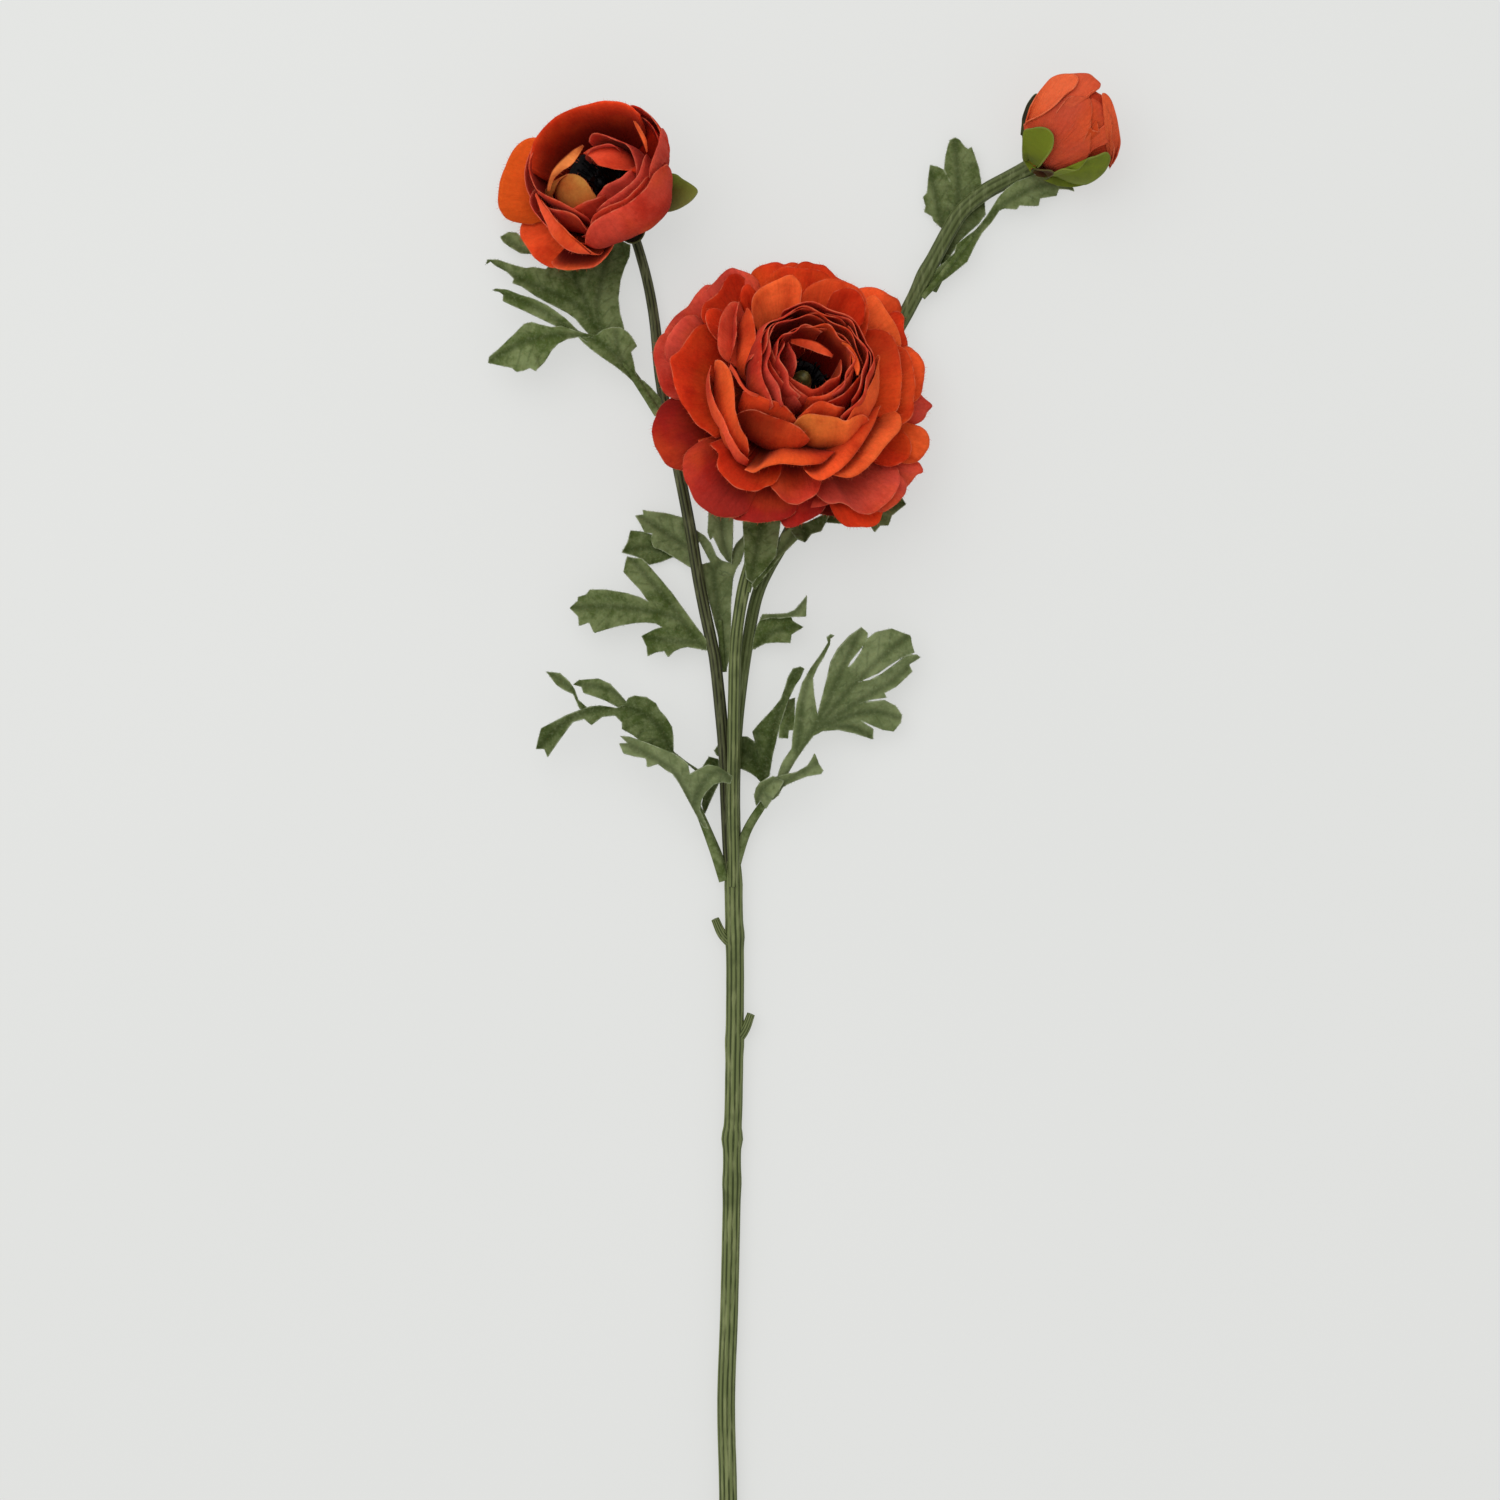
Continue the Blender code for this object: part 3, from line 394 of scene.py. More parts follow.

# %% [markdown]
# ### Stem plastics, sepal cloth and the eye
#
# The stems are moulded in soft plastic with fine ribs along them. The tree that makes a stem stores how
# high each rib stands, and the finish darkens the grooves with painted shade and lets paint wear off the
# ridges. The left branch was dipped in a browner green. Sepals are coated cloth, lime at the tip and dark
# at the root.

# %% Stem plastics, sepal cloth and the eye
def stem_plastic(name, groove_shade_and_patch_colour, body_colour, ridge_colour):
    made, tree, shader = new_material(name, 0.62, specular=0.22)
    where = own_place(tree)
    groove = attribute(tree, "groove")
    long_way = result(tree, "ShaderNodeMapping", {"Vector": where, "Scale": (1.0, 0.12, 1.0)})
    smears = noise(tree, long_way, 700.0, 4.0, 0.6)
    patches = noise(tree, where, 90.0, 3.0)
    # The grooves get the dark colour as painted shade; the random patches below get it as darker tone.
    colour = blend(tree, ease(tree, groove, -0.9, 0.3), groove_shade_and_patch_colour, body_colour)
    colour = blend(tree, ease(tree, smears, 0.45, 0.75, 0.0, 0.7), colour, ridge_colour)
    colour = blend(tree, ease(tree, patches, 0.5, 0.72, 0.0, 0.5), colour, groove_shade_and_patch_colour)
    tree.links.new(colour, shader.inputs["Base Color"])
    raise_relief(tree, shader, (smears, 0.12), (noise(tree, where, 1600.0, 2.0), 0.04))
    return made


STEM_PLASTIC = stem_plastic(
    "stem_plastic_green", (0.030, 0.042, 0.009), (0.140, 0.170, 0.058), (0.27, 0.30, 0.13))
OLIVE_PLASTIC = stem_plastic(
    "stem_plastic_olive", (0.046, 0.060, 0.013), (0.088, 0.112, 0.034), (0.20, 0.23, 0.10))
BRANCH_PLASTIC = stem_plastic(
    "branch_plastic_brown", (0.014, 0.014, 0.004), (0.066, 0.074, 0.027), (0.16, 0.17, 0.08))


def sepal_cloth():
    made, tree, shader = new_material("sepal_cloth", 0.75, sheen=0.03, specular=0.10, subsurface=0.06)
    where = own_place(tree)
    tint = attribute(tree, "tint", "Color")
    rim = attribute(tree, "rim")
    clouds = noise(tree, where, 120.0, 4.0)
    colour = blend(tree, ease(tree, clouds, 0.4, 0.75, 0.0, 0.6), tint, (0.07, 0.085, 0.015))
    colour = blend(tree, ease(tree, rim, 0.1, 0.6, 0.25, 0.0), colour, (0.26, 0.29, 0.10))
    tree.links.new(colour, shader.inputs["Base Color"])
    raise_relief(tree, shader, (clouds, 0.6), (noise(tree, where, 1300.0, 2.0), 0.05))
    return made


def eye_plastic(name, low_colour, high_colour, roughness, specular):
    made, tree, shader = new_material(name, roughness, specular=specular)
    where = own_place(tree)
    specks = noise(tree, where, 600.0, 3.0)
    colour = blend(tree, ease(tree, specks, 0.45, 0.7), low_colour, high_colour)
    tree.links.new(colour, shader.inputs["Base Color"])
    raise_relief(tree, shader, (specks, 0.15))
    return made


SEPAL_CLOTH = sepal_cloth()
STAMEN_PLASTIC = eye_plastic("stamen_black", (0.002, 0.0016, 0.002), (0.007, 0.005, 0.007), 0.5, 0.16)
PISTIL_PLASTIC = eye_plastic("pistil_olive", (0.055, 0.060, 0.012), (0.16, 0.165, 0.05), 0.5, 0.5)
print("stem, sepal and eye finishes ready")

# %% [markdown]
# ### The board
#
# The spray lies on a pale board. It glows a little, as the lit board of the photograph seems to, so that
# shadows stay faint.

# %% The board
FLOOR_GLOW = 0.55
BOARD_GREYS = ((0.215, 0.22, 0.215), (0.225, 0.23, 0.225))
BOARD_LIGHTS = ((0.975, 0.985, 0.965), (1.0, 1.0, 0.985))


def floor_paper():
    made, tree, shader = new_material("floor_paper", 0.9, specular=0.1)
    where = own_place(tree)
    grain = noise(tree, where, 4.0)
    tree.links.new(blend(tree, grain, *BOARD_GREYS), shader.inputs["Base Color"])
    tree.links.new(blend(tree, grain, *BOARD_LIGHTS), shader.inputs["Emission Color"])
    shader.inputs["Emission Strength"].default_value = FLOOR_GLOW
    return made

# %% [markdown]
# ## Meshes from arrays
#
# A petal is a sheet of points with rows from root to rim. A closed cloth is made from it by stepping a
# little to both sides along the surface's own direction and by closing the rim. The arrays of all petals
# of a flower are gathered first and become one mesh at the end, which is quick.

# %% Gather sheets into one mesh
def unit(vectors):
    return vectors / np.maximum(np.linalg.norm(vectors, axis=-1, keepdims=True), 1e-9)


class Gathered:
    """Points, faces and values of many sheets, on the way to one mesh."""

    def __init__(self):
        self.points, self.faces, self.count = [], [], 0
        self.values = {}

    def add(self, points, faces, **values):
        self.points.append(np.asarray(points, dtype=float).reshape(-1, 3))
        self.faces += [tuple(int(k) + self.count for k in face) for face in faces]
        self.count += len(self.points[-1])
        for key, value in values.items():
            self.values.setdefault(key, []).append(value)

    def add_sheet(self, grid, thickness, **values):
        """A closed thin cloth on both sides of a grid of points of shape (rows, columns, 3)."""
        rows, columns = grid.shape[:2]
        facing = unit(np.cross(np.gradient(grid, axis=0), np.gradient(grid, axis=1)))
        number = np.arange(rows * columns).reshape(rows, columns)
        a, b, c, d = number[:-1, :-1], number[:-1, 1:], number[1:, :-1], number[1:, 1:]
        front = np.stack([a, c, d, b], -1).reshape(-1, 4)
        back = np.stack([a, b, d, c], -1).reshape(-1, 4) + rows * columns
        rim = np.concatenate([number[0, :-1], number[:-1, -1], number[-1, :0:-1], number[:0:-1, 0]])
        next_rim = np.roll(rim, -1)
        sides = np.stack([rim, next_rim, next_rim + rows * columns, rim + rows * columns], -1)
        points = np.concatenate([(grid + facing * thickness / 2).reshape(-1, 3),
                                 (grid - facing * thickness / 2).reshape(-1, 3)])
        flat = {key: value.reshape(rows * columns, -1) for key, value in values.items()}
        doubled = {key: np.concatenate([value, value]) for key, value in flat.items()}
        self.add(points, np.concatenate([front, back, sides]).tolist(), **doubled)

    def lay(self, grid, thickness, lowest, values):
        """The same, with the sheet's middle kept at least so high over the table."""
        grid[..., 2] = np.maximum(grid[..., 2], lowest)
        self.add_sheet(grid, thickness, **values)

    def build(self, name, material, uv=None):
        """One mesh object, with each gathered value as a point attribute."""
        mesh = bpy.data.meshes.new(name)
        mesh.from_pydata((np.concatenate(self.points) * MM).tolist(), [], self.faces)
        for key, parts in self.values.items():
            data = np.concatenate(parts).astype(np.float32)
            if key == uv:
                layer = mesh.uv_layers.new(name="cloth")
                corners = np.zeros(len(mesh.loops), dtype=np.int32)
                mesh.loops.foreach_get("vertex_index", corners)
                layer.data.foreach_set("uv", data[corners].ravel())
            elif data.shape[1] == 3:
                colours = np.concatenate([data, np.ones((len(data), 1), dtype=np.float32)], axis=1)
                layer = mesh.attributes.new(key, "FLOAT_COLOR", "POINT")
                layer.data.foreach_set("color", colours.ravel())
            else:
                mesh.attributes.new(key, "FLOAT", "POINT").data.foreach_set("value", data.ravel())
        mesh.materials.append(material)
        mesh.shade_smooth()
        return in_scene(name, mesh)

# %% [markdown]
# A piece is often joined from parts that were made in different ways. Then it tells the frame which body
# it rides on and which solid it stands for. The board is the first thing to be gathered: one large face a
# little below the table's height, so that nothing of the spray cuts into it.

# %% Finish a piece, and the board
def join(name, objects):
    """Several finished objects as one, under a new name."""
    with bpy.context.temp_override(active_object=objects[0], selected_editable_objects=objects):
        bpy.ops.object.join()
    objects[0].name = name
    objects[0].data.name = name
    return objects[0]


def finish_piece(piece, slot, *nodes):
    """Tells the frame what a piece stands for."""
    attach(piece, "root")
    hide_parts(*nodes)
    print(piece.name, len(piece.data.polygons), "faces")


FLOOR_HALF = 3000.0
floor = Gathered()
corners = [(-1, -1), (1, -1), (1, 1), (-1, 1)]
floor.add([(x * FLOOR_HALF, y * FLOOR_HALF, -FLOOR_DROP) for x, y in corners], [(0, 1, 2, 3)])
floor.build("floor", floor_paper())

# %% [markdown]
# ## Petals
#
# A ranunculus is built of rings of petals. Every petal of a ring follows one rule: it leaves the core at
# a low slope and bends up and over as it grows, so its side view is a curve whose slope changes evenly
# from root to rim, and its width wraps round the flower's axis. Seeded draws turn and lengthen each petal
# a little. On top of that come the things that cloth does: the rim curls out, ripples and frays, and the
# sheet has soft creases.

# %% The rule of a petal
@dataclass
class Petal:
    """One petal, in millimetres and degrees about its flower's own axis."""

    turn: float
    base_radius: float
    base_height: float
    length: float
    half_width: float
    rise: float
    close: float
    roll: float = 0.0
    wave: float = 0.0
    skew: float = 0.8
    rounding: float = 0.28
    phase: float = 0.0
    curl: float = 16.0
    frill: float = 0.28
    root_tint: tuple = None
    body_tint: tuple = None
    rim_tint: tuple = None


ROOT_WIDTH = 0.14
WIDEST_AT = 0.62
ROLL_FROM = 0.7
CURL_FROM = 0.86
TIGHTEST_BEND = 5.0
JAG_DEPTH, JAG_WAVES = 0.006, 24.0
FRILL_WAVES = 15.0
RIPPLE_HALF_WAVES = 2.2
RIM_ROUND = 2.4
SIDE_PLACES = 81
CREASE_DEPTH, CREASE_WAVES = 0.16, 9.0


def soft_steps(values, chance, count, finest):
    """A smooth wobble along values, as a sum of a few sines with drawn phases."""
    total = np.zeros_like(values)
    for k in range(count):
        waves = finest * (k + 1) / count
        total += math.sin(1 + k) ** 2 * np.sin(waves * values + chance.uniform(0, 2 * math.pi)) / (k + 1)
    return total


print("a ruled petal's side view has", SIDE_PLACES, "places")

# %% [markdown]
# The sheet of a petal is worked out in three steps: its side view as a curve, then how wide it is and how
# it waves across, then its wrap round the axis. It also gives what the cloth's finish reads: how far
# each point is from the rim, its place on the flat cloth, and its tint, whose root part is painted shade
# in the open flowers.

# %% The sheet of a ruled petal
def petal_sheet(petal, place, chance, rows, columns):
    """The middle surface of a petal and the values that its cloth reads."""
    t = np.linspace(0, 1, SIDE_PLACES)
    slope = petal.rise + (petal.close - petal.rise) * t
    slope += petal.roll * np.clip((t - ROLL_FROM) / (1 - ROLL_FROM), 0, None) ** 2
    slope -= petal.curl * np.clip((t - CURL_FROM) / (1 - CURL_FROM), 0, None) ** 2
    slope = np.radians(slope)
    step = petal.length / (len(t) - 1)
    between = (slope[1:] + slope[:-1]) / 2
    radius_of = petal.base_radius + np.concatenate([[0], np.cumsum(np.cos(between))]) * step
    height_of = petal.base_height + np.concatenate([[0], np.cumsum(np.sin(between))]) * step

    across = np.linspace(-1, 1, columns)
    jag = soft_steps(across, chance, 5, JAG_WAVES) * JAG_DEPTH
    reach = 1 - petal.rounding * np.abs(across) ** RIM_ROUND + jag
    share = np.linspace(0, 1, rows)[:, None] * reach[None, :]
    sideways = np.broadcast_to(across, share.shape)
    radius = np.interp(share, t, radius_of)
    height = np.interp(share, t, height_of)
    lean = np.interp(share, t, slope)

    width = ROOT_WIDTH + (1 - ROOT_WIDTH) * np.sin(np.pi / 2 * np.clip(share / WIDEST_AT, 0, 1))
    ripple = petal.wave * np.sin(RIPPLE_HALF_WAVES * np.pi * sideways + petal.phase) * share ** 2
    ripple = ripple + petal.frill * soft_steps(sideways, chance, 4, FRILL_WAVES) * share ** 3
    creases = soft_steps(sideways * width, chance, 3, CREASE_WAVES) * np.sin(np.pi * share) * CREASE_DEPTH
    skew = petal.skew * sideways * np.clip(0.25 + 1.5 * share, 0, 1)
    off = ripple + creases - skew
    wide = petal.half_width * width * sideways
    out = radius - off * np.sin(lean)
    up = height + off * np.cos(lean)
    bend = np.maximum(radius, TIGHTEST_BEND)
    sweep = wide / bend
    local = np.stack([out - bend * (1 - np.cos(sweep)), bend * np.sin(sweep), up], -1)

    spin = Matrix.Rotation(math.radians(petal.turn), 4, "Z")
    whole = np.array(place @ spin)
    grid = local @ whole[:3, :3].T + whole[:3, 3]
    side_gap = (1 - np.abs(sideways)) * petal.half_width * width
    rim_gap = np.minimum((reach[None, :] - share) * petal.length, side_gap)
    uv = np.stack([wide, share * petal.length], -1)
    blend_to_body = np.clip(share / 0.5, 0, 1)[..., None]
    blend_to_rim = np.clip((share / reach[None, :] - 0.6) / 0.4, 0, 1)[..., None] ** 1.5
    tint = np.array(petal.root_tint) * (1 - blend_to_body) + np.array(petal.body_tint) * blend_to_body
    tint = tint * (1 - blend_to_rim) + np.array(petal.rim_tint) * blend_to_rim
    return grid, {"rim": rim_gap, "uv": uv, "tint": tint}

# %% [markdown]
# ### Petals known by their rims
#
# The petals that show in the picture are each folded and ruffled in their own way, so a rule alone can't
# place them. What the camera sees of such a petal is its rim, so the rim is written down as picture
# points, with one lift over the flower's base. The sheet then grows from the core to that rim along a
# bent path. Where the two bends of the path lie makes the kind of petal: a ball petal bulges out and
# closes in again, a skirt lies flat, and a rolled one falls over its own rim. A petal that has a top line
# too is a strip between that line and its rim.

# %% Petals known by their rims
@dataclass
class Drawn:
    """A petal whose rim is drawn in the picture, in points, at a lift over the flower's base."""

    kind: str
    lift: float
    tint: tuple
    rim: list
    wave: float = 0.5
    droop: float = 2.0
    end_tint: tuple = None
    # deep and fade: how far up the petal, and how sharply, the painted root shade gives way to its dye.
    deep: float = 0.75
    fade: float = 1.5
    top: list = None


# For each kind: how far outside the rim the low bend and the high bend lie, how high the high bend lies
# over the rim, the share of the lift at which the low bend lies, and how much the bends are drawn in
# at the petal's two ends.
PETAL_KINDS = {
    "ball": (8.0, 6.0, -10.0, 0.25, 1.15),
    "inner": (4.5, 3.2, -10.0, 0.25, 1.15),
    "lid": (16.0, 10.0, -2.0, 0.45, 0.6),
    "cup": (-1.5, 0.5, -10.0, 0.2, 0.0),
    "wall": (1.0, 2.5, -12.0, 0.15, 0.0),
    "flared": (2.0, -4.0, -5.0, 0.15, 0.0),
    "open": (-17.0, -8.0, -3.5, 0.3, 0.0),
    "skirt": (-19.0, -9.0, 0.5, 0.5, 0.0),
    "rolled": (-9.0, -5.0, 3.0, 0.35, 0.75),
}
ROOT_RADIUS = 5.5
ROOT_SPREAD = 0.35
ROOT_LIFT = 0.12
ROOT_DROP = 0.5
CORNER = 0.12
ROW_EASE = 0.85
STRIP_RISE = 1.6
STRIP_BEND = 0.3
RUFFLES_PER_MM = 0.45
RIM_JAG, JAGS_PER_MM = 0.35, 1.1
FOLD_DEPTH, FOLD_WAVES = 0.32, 14.0
FLUTTERS_PER_MM = 0.6
TONE_SPREAD, TONE_WAVES = 0.22, 9.0
LINE_STEP = 0.8
print(len(PETAL_KINDS), "kinds of drawn petal")

# %% [markdown]
# A rim becomes a smooth line with even steps. Each of its points is a sight line from the camera, and the
# sight line is followed until it reaches the rim's lift over the flower's base, which may lean.

# %% From picture points to a rim in space
def evenly(places, count):
    """A smooth line through picture points, as evenly spaced places, and its length in points."""
    line = np.array([tuple(p) for p in smooth([Vector((*place, 0.0)) for place in places], LINE_STEP)])
    run = np.concatenate([[0], np.cumsum(np.linalg.norm(np.diff(line, axis=0), axis=1))])
    even = np.linspace(0, run[-1], count)
    return np.interp(even, run, line[:, 0]), np.interp(even, run, line[:, 1]), run[-1]


def sight_places(right, down, head, lift):
    """Where the sight lines through picture points reach a lift over a flower's base, as an array."""
    def lines_at(height):
        scale = MM_PER_POINT * (CAMERA_HEIGHT - height) / (CAMERA_HEIGHT - SEEN_AT_HEIGHT)
        return np.stack([(right - PICTURE_MIDDLE) * scale + CENTRE_SHIFT.x,
                         (PICTURE_MIDDLE - down) * scale + CENTRE_SHIFT.y,
                         np.full(len(right), float(height))], -1)
    whole = np.array(head)
    axis, base = whole[:3, 2], whole[:3, 3]
    start = lines_at(0)
    step = lines_at(1) - start
    height = (lift - (start - base) @ axis) / (step @ axis)
    return start + step * height[:, None]

# %% [markdown]
# Now the sheet itself. Every column of it is a smooth path with four places: the root, the two bends of
# its kind, and the rim. Creases, a fluttering rim and uneven dye are added along it, and towards the
# root the dye gives way to painted shade.

# %% The sheet of a drawn petal
def flat_place(grid, share, across, reach, margin):
    """For each point of a sheet, its distance to the rim and its place on the flat cloth."""
    length = np.linalg.norm(np.diff(grid, axis=0), axis=-1).sum(axis=0)
    side_gap = (1 - np.abs(across))[None, :] * reach / 2 + margin
    rim_gap = np.minimum((1 - share) * length[None, :], side_gap)
    return rim_gap, np.stack(np.broadcast_arrays(across[None, :] * reach / 2, share * length.mean()), -1)


def drawn_sheet(one, head, chance, rows, columns):
    """The middle surface of a drawn petal and the values that its cloth reads."""
    right, down, reach = evenly(one.rim, columns)
    across = np.linspace(-1, 1, columns)
    reach *= MM_PER_POINT
    ruffle = soft_steps(across, chance, 4, max(4.0, reach * RUFFLES_PER_MM))
    right = right + RIM_JAG * soft_steps(across, chance, 5, max(6.0, reach * JAGS_PER_MM))
    down = down + RIM_JAG * soft_steps(across, chance, 5, max(6.0, reach * JAGS_PER_MM))
    lift = one.lift - one.droop * np.abs(across) ** 3 + one.wave * ruffle
    whole = np.array(head)
    turn, base = whole[:3, :3], whole[:3, 3]
    rim = (sight_places(right, down, head, lift) - base) @ turn

    low_out, high_out, high_up, low_share, ends = PETAL_KINDS[one.kind]
    radius = np.linalg.norm(rim[:, :2], axis=1)
    heading = rim[:, :2] / np.maximum(radius, 1e-6)[:, None]
    middle = rim[:, :2].mean(axis=0)
    facing = math.atan2(middle[1], middle[0])
    root_turn = facing + across * ROOT_SPREAD
    root = np.stack([ROOT_RADIUS * np.cos(root_turn), ROOT_RADIUS * np.sin(root_turn),
                     np.full(columns, one.lift * ROOT_LIFT - ROOT_DROP)], -1)
    shell = 1 - ends * np.abs(across) ** 3
    low_radius = np.maximum(radius + low_out * shell, ROOT_RADIUS + 1)
    high_radius = np.maximum(radius + high_out * shell, ROOT_RADIUS + 2)
    low = np.concatenate([heading * low_radius[:, None], (one.lift * low_share + 0 * rim[:, 2:])], 1)
    high = np.concatenate([heading * high_radius[:, None], rim[:, 2:] + high_up], 1)
    if one.top:
        right, down, _ = evenly(one.top, columns)
        root = (sight_places(right, down, head, np.full(columns, one.lift + STRIP_RISE)) - base) @ turn
        low = root * (1 - STRIP_BEND) + rim * STRIP_BEND
        high = root * STRIP_BEND + rim * (1 - STRIP_BEND)
    corner = 1 - CORNER * np.abs(across) ** 6
    t = (np.linspace(0, 1, rows)[:, None] * corner[None, :])[..., None] ** ROW_EASE
    grid = (1 - t) ** 3 * root + 3 * t * (1 - t) ** 2 * low + 3 * t ** 2 * (1 - t) * high + t ** 3 * rim

    normal = unit(np.cross(np.gradient(grid, axis=0), np.gradient(grid, axis=1)))
    share = np.linspace(0, 1, rows)[:, None]
    creases = soft_steps(across, chance, 4, FOLD_WAVES)[None, :] * np.sin(np.pi * share ** 0.8) * FOLD_DEPTH
    flutter = soft_steps(across, chance, 3, max(6.0, reach * FLUTTERS_PER_MM))[None, :]
    flutter = one.wave * 0.5 * flutter * share ** 4
    grid = grid + normal * (creases + flutter)[..., None]
    grid = grid @ turn.T + base

    rim_gap, uv = flat_place(grid, share, across, reach, 0.3)
    # Towards the root the tint is mixed with painted shade.
    deep = np.clip(share / one.deep, 0, 1)[..., None] ** one.fade
    tone = 1 + TONE_SPREAD * soft_steps(across, chance, 4, TONE_WAVES)[None, :, None] * share[..., None]
    side = (0.5 + 0.5 * across)[None, :, None]
    body = np.array(one.tint) * (1 - side) + np.array(one.end_tint or one.tint) * side
    tint = (np.array(PAINTED_ROOT_SHADE) * (1 - deep) + body * deep) * tone
    tint = np.broadcast_to(tint, grid.shape)
    return grid, {"rim": rim_gap, "uv": uv, "tint": tint}

# %% [markdown]
# ### Rings by rule
#
# The back of the tight ball round the eye and the hidden petals follow the rule. For each ring a list
# holds where its petals stand, in degrees round the flower's axis, and the shape that they share.

# %% Rings by rule
def petal(base_radius, base_height, length, half_width, rise, close, **more):
    return Petal(0.0, base_radius, base_height, length, half_width, rise, close, **more)


TURN_SPREAD = 5.0
LENGTH_SPREAD = 0.03
CLOSE_SPREAD = 1.5


def petals_of(rings, seed):
    """Every petal of some rings, with its own turn, length and close."""
    chance = random.Random(seed)
    made = []
    for turns, shape in rings:
        for place in turns:
            turn = place + chance.uniform(-TURN_SPREAD, TURN_SPREAD)
            longer = 1 + chance.uniform(-LENGTH_SPREAD, LENGTH_SPREAD)
            close = shape.close + chance.uniform(-CLOSE_SPREAD, CLOSE_SPREAD)
            phase = chance.uniform(0, 2 * math.pi)
            made.append(replace(shape, turn=turn, length=shape.length * longer, close=close, phase=phase))
    return made


print("a ruled petal may turn", TURN_SPREAD, "degrees either way")

# %% [markdown]
# All petals of one flower are cloth of the same thickness. None of them may go below the table. The drawn
# ones give their rims, along which threads will stand.

# %% A flower from its petals
CLOTH_THICKNESS = 0.26
RULED_GRID = (16, 24)
DRAWN_GRID = (16, 38)
CORE_SIDES = 32


def flower(name, ruled, ruled_head, drawn, head, seed, material):
    """All petals of a flower as one mesh, those by rule first, and the drawn ones' rims for threads."""
    chance = random.Random(seed)
    cloth = Gathered()
    for one in ruled:
        grid, values = petal_sheet(one, ruled_head, chance, *RULED_GRID)
        cloth.lay(grid, CLOTH_THICKNESS, CLOTH_THICKNESS, values)
    rims = []
    for one in drawn:
        grid, values = drawn_sheet(one, head, chance, *DRAWN_GRID)
        cloth.lay(grid, CLOTH_THICKNESS, CLOTH_THICKNESS, values)
        rims.append((grid[-1, 1:-1], unit(grid[-1, 1:-1] - grid[-2, 1:-1])))
    return cloth.build(name, material, uv="uv"), rims

# %% [markdown]
# The petals of a flower are glued to a stuffed core, a solid that is turned about the flower's axis. The
# moulded cups under the flowers and the knobs in their eyes are made in the same way. The dyes of the
# petals are listed here too, after the near-black tint of painted shade for roots and hollows, and a
# petal's own dye is often a mix of two of them.

# %% Turned solids and the dyes
def turned(profile, sides, place):
    """Points and faces of a closed solid turned about a frame's z axis."""
    angles = np.arange(sides) * 2 * np.pi / sides
    whole = np.array(place)
    points = []
    for radius, height in profile:
        around = [radius * np.cos(angles), radius * np.sin(angles), np.full(sides, height)]
        points.append(np.stack(around, -1))
    points = np.concatenate(points) @ whole[:3, :3].T + whole[:3, 3]
    faces = [tuple(range(sides - 1, -1, -1))]
    for i in range(len(profile) - 1):
        for k in range(sides):
            a, b = i * sides + k, i * sides + (k + 1) % sides
            faces.append((a, b, b + sides, a + sides))
    faces.append(tuple(range(len(points) - sides, len(points))))
    return points, faces


def core(name, profile, place, tint, material):
    """The stuffed middle that the petals are glued to, or a cup of the same build."""
    points, faces = turned(profile, CORE_SIDES, place)
    count = len(points)
    far_from_rim = np.full((count, 1), 9.0)
    body = Gathered()
    body.add(points, faces, rim=far_from_rim, uv=np.zeros((count, 2)), tint=np.tile(tint, (count, 1)))
    return body.build(name, material, uv="uv")


def mixed(first, second, share):
    return tuple(a + (b - a) * share for a, b in zip(first, second))


# The first tint is painted shade: roots, hollows and hidden petals are mixed with it for the shade deep in a
# flower.
PAINTED_ROOT_SHADE = (0.075, 0.0009, 0.0003)
BRIGHT = (0.82, 0.118, 0.028)
ORANGE = (0.74, 0.077, 0.018)
RED = (0.57, 0.034, 0.008)
DARK_RED = (0.40, 0.014, 0.005)
PINK = (0.61, 0.070, 0.043)
CRIMSON = (0.33, 0.018, 0.013)
OCHRE = (0.78, 0.225, 0.040)
DULL_OCHRE = (0.46, 0.190, 0.040)

# %% [markdown]
# ### Loose threads
#
# The petals are cut from a weave, so short threads stand out of their rims, and fibres of flock stand out
# of a leaf's margin. They repeat along lines, so Geometry Nodes make them. The tree walks along bare
# lines and stands a thin tapered thread at even steps. Each leans at random from the way its line faces
# and has its own length. First come the helpers that build and run any tree.

# %% Build and run a tree
def new_tree(name, sockets):
    """A geometry tree with its group input and output, and one named input for each size."""
    tree = bpy.data.node_groups.new(name, "GeometryNodeTree")
    tree.interface.new_socket("Geometry", in_out="INPUT", socket_type="NodeSocketGeometry")
    for label, kind, value in sockets:
        socket = tree.interface.new_socket(label, in_out="INPUT", socket_type="NodeSocket" + kind)
        if value is not None:
            socket.default_value = value
    tree.interface.new_socket("Geometry", in_out="OUTPUT", socket_type="NodeSocketGeometry")
    return tree, tree.nodes.new("NodeGroupInput"), tree.nodes.new("NodeGroupOutput")


def run_tree(name, source, tree, inputs):
    """Runs a tree on an object and gives its result as a plain mesh object."""
    modifier = source.modifiers.new("shape", "NODES")
    modifier.node_group = tree
    for item in tree.interface.items_tree:
        if item.item_type == "SOCKET" and item.in_out == "INPUT" and item.name in inputs:
            modifier[item.identifier] = inputs[item.name]
    graph = bpy.context.evaluated_depsgraph_get()
    mesh = bpy.data.meshes.new_from_object(source.evaluated_get(graph))
    mesh.name = name
    bpy.data.objects.remove(source)
    return in_scene(name, mesh)

# %% [markdown]
# A thread or a stamen stands on a point and faces the way that the point stores. The helper that stands
# copies on such points ends in Realize Instances, and every tree ends by setting a material.

# %% Stand copies on points
def facing_mesh(name, points, edges, facings):
    """Bare points and edges, where each point stores the way that it faces."""
    mesh = bpy.data.meshes.new(name)
    mesh.from_pydata(points, edges, [])
    layer = mesh.attributes.new("facing", "FLOAT_VECTOR", "POINT")
    layer.data.foreach_set("vector", np.array(facings, dtype=np.float32).ravel())
    return in_scene(name, mesh)


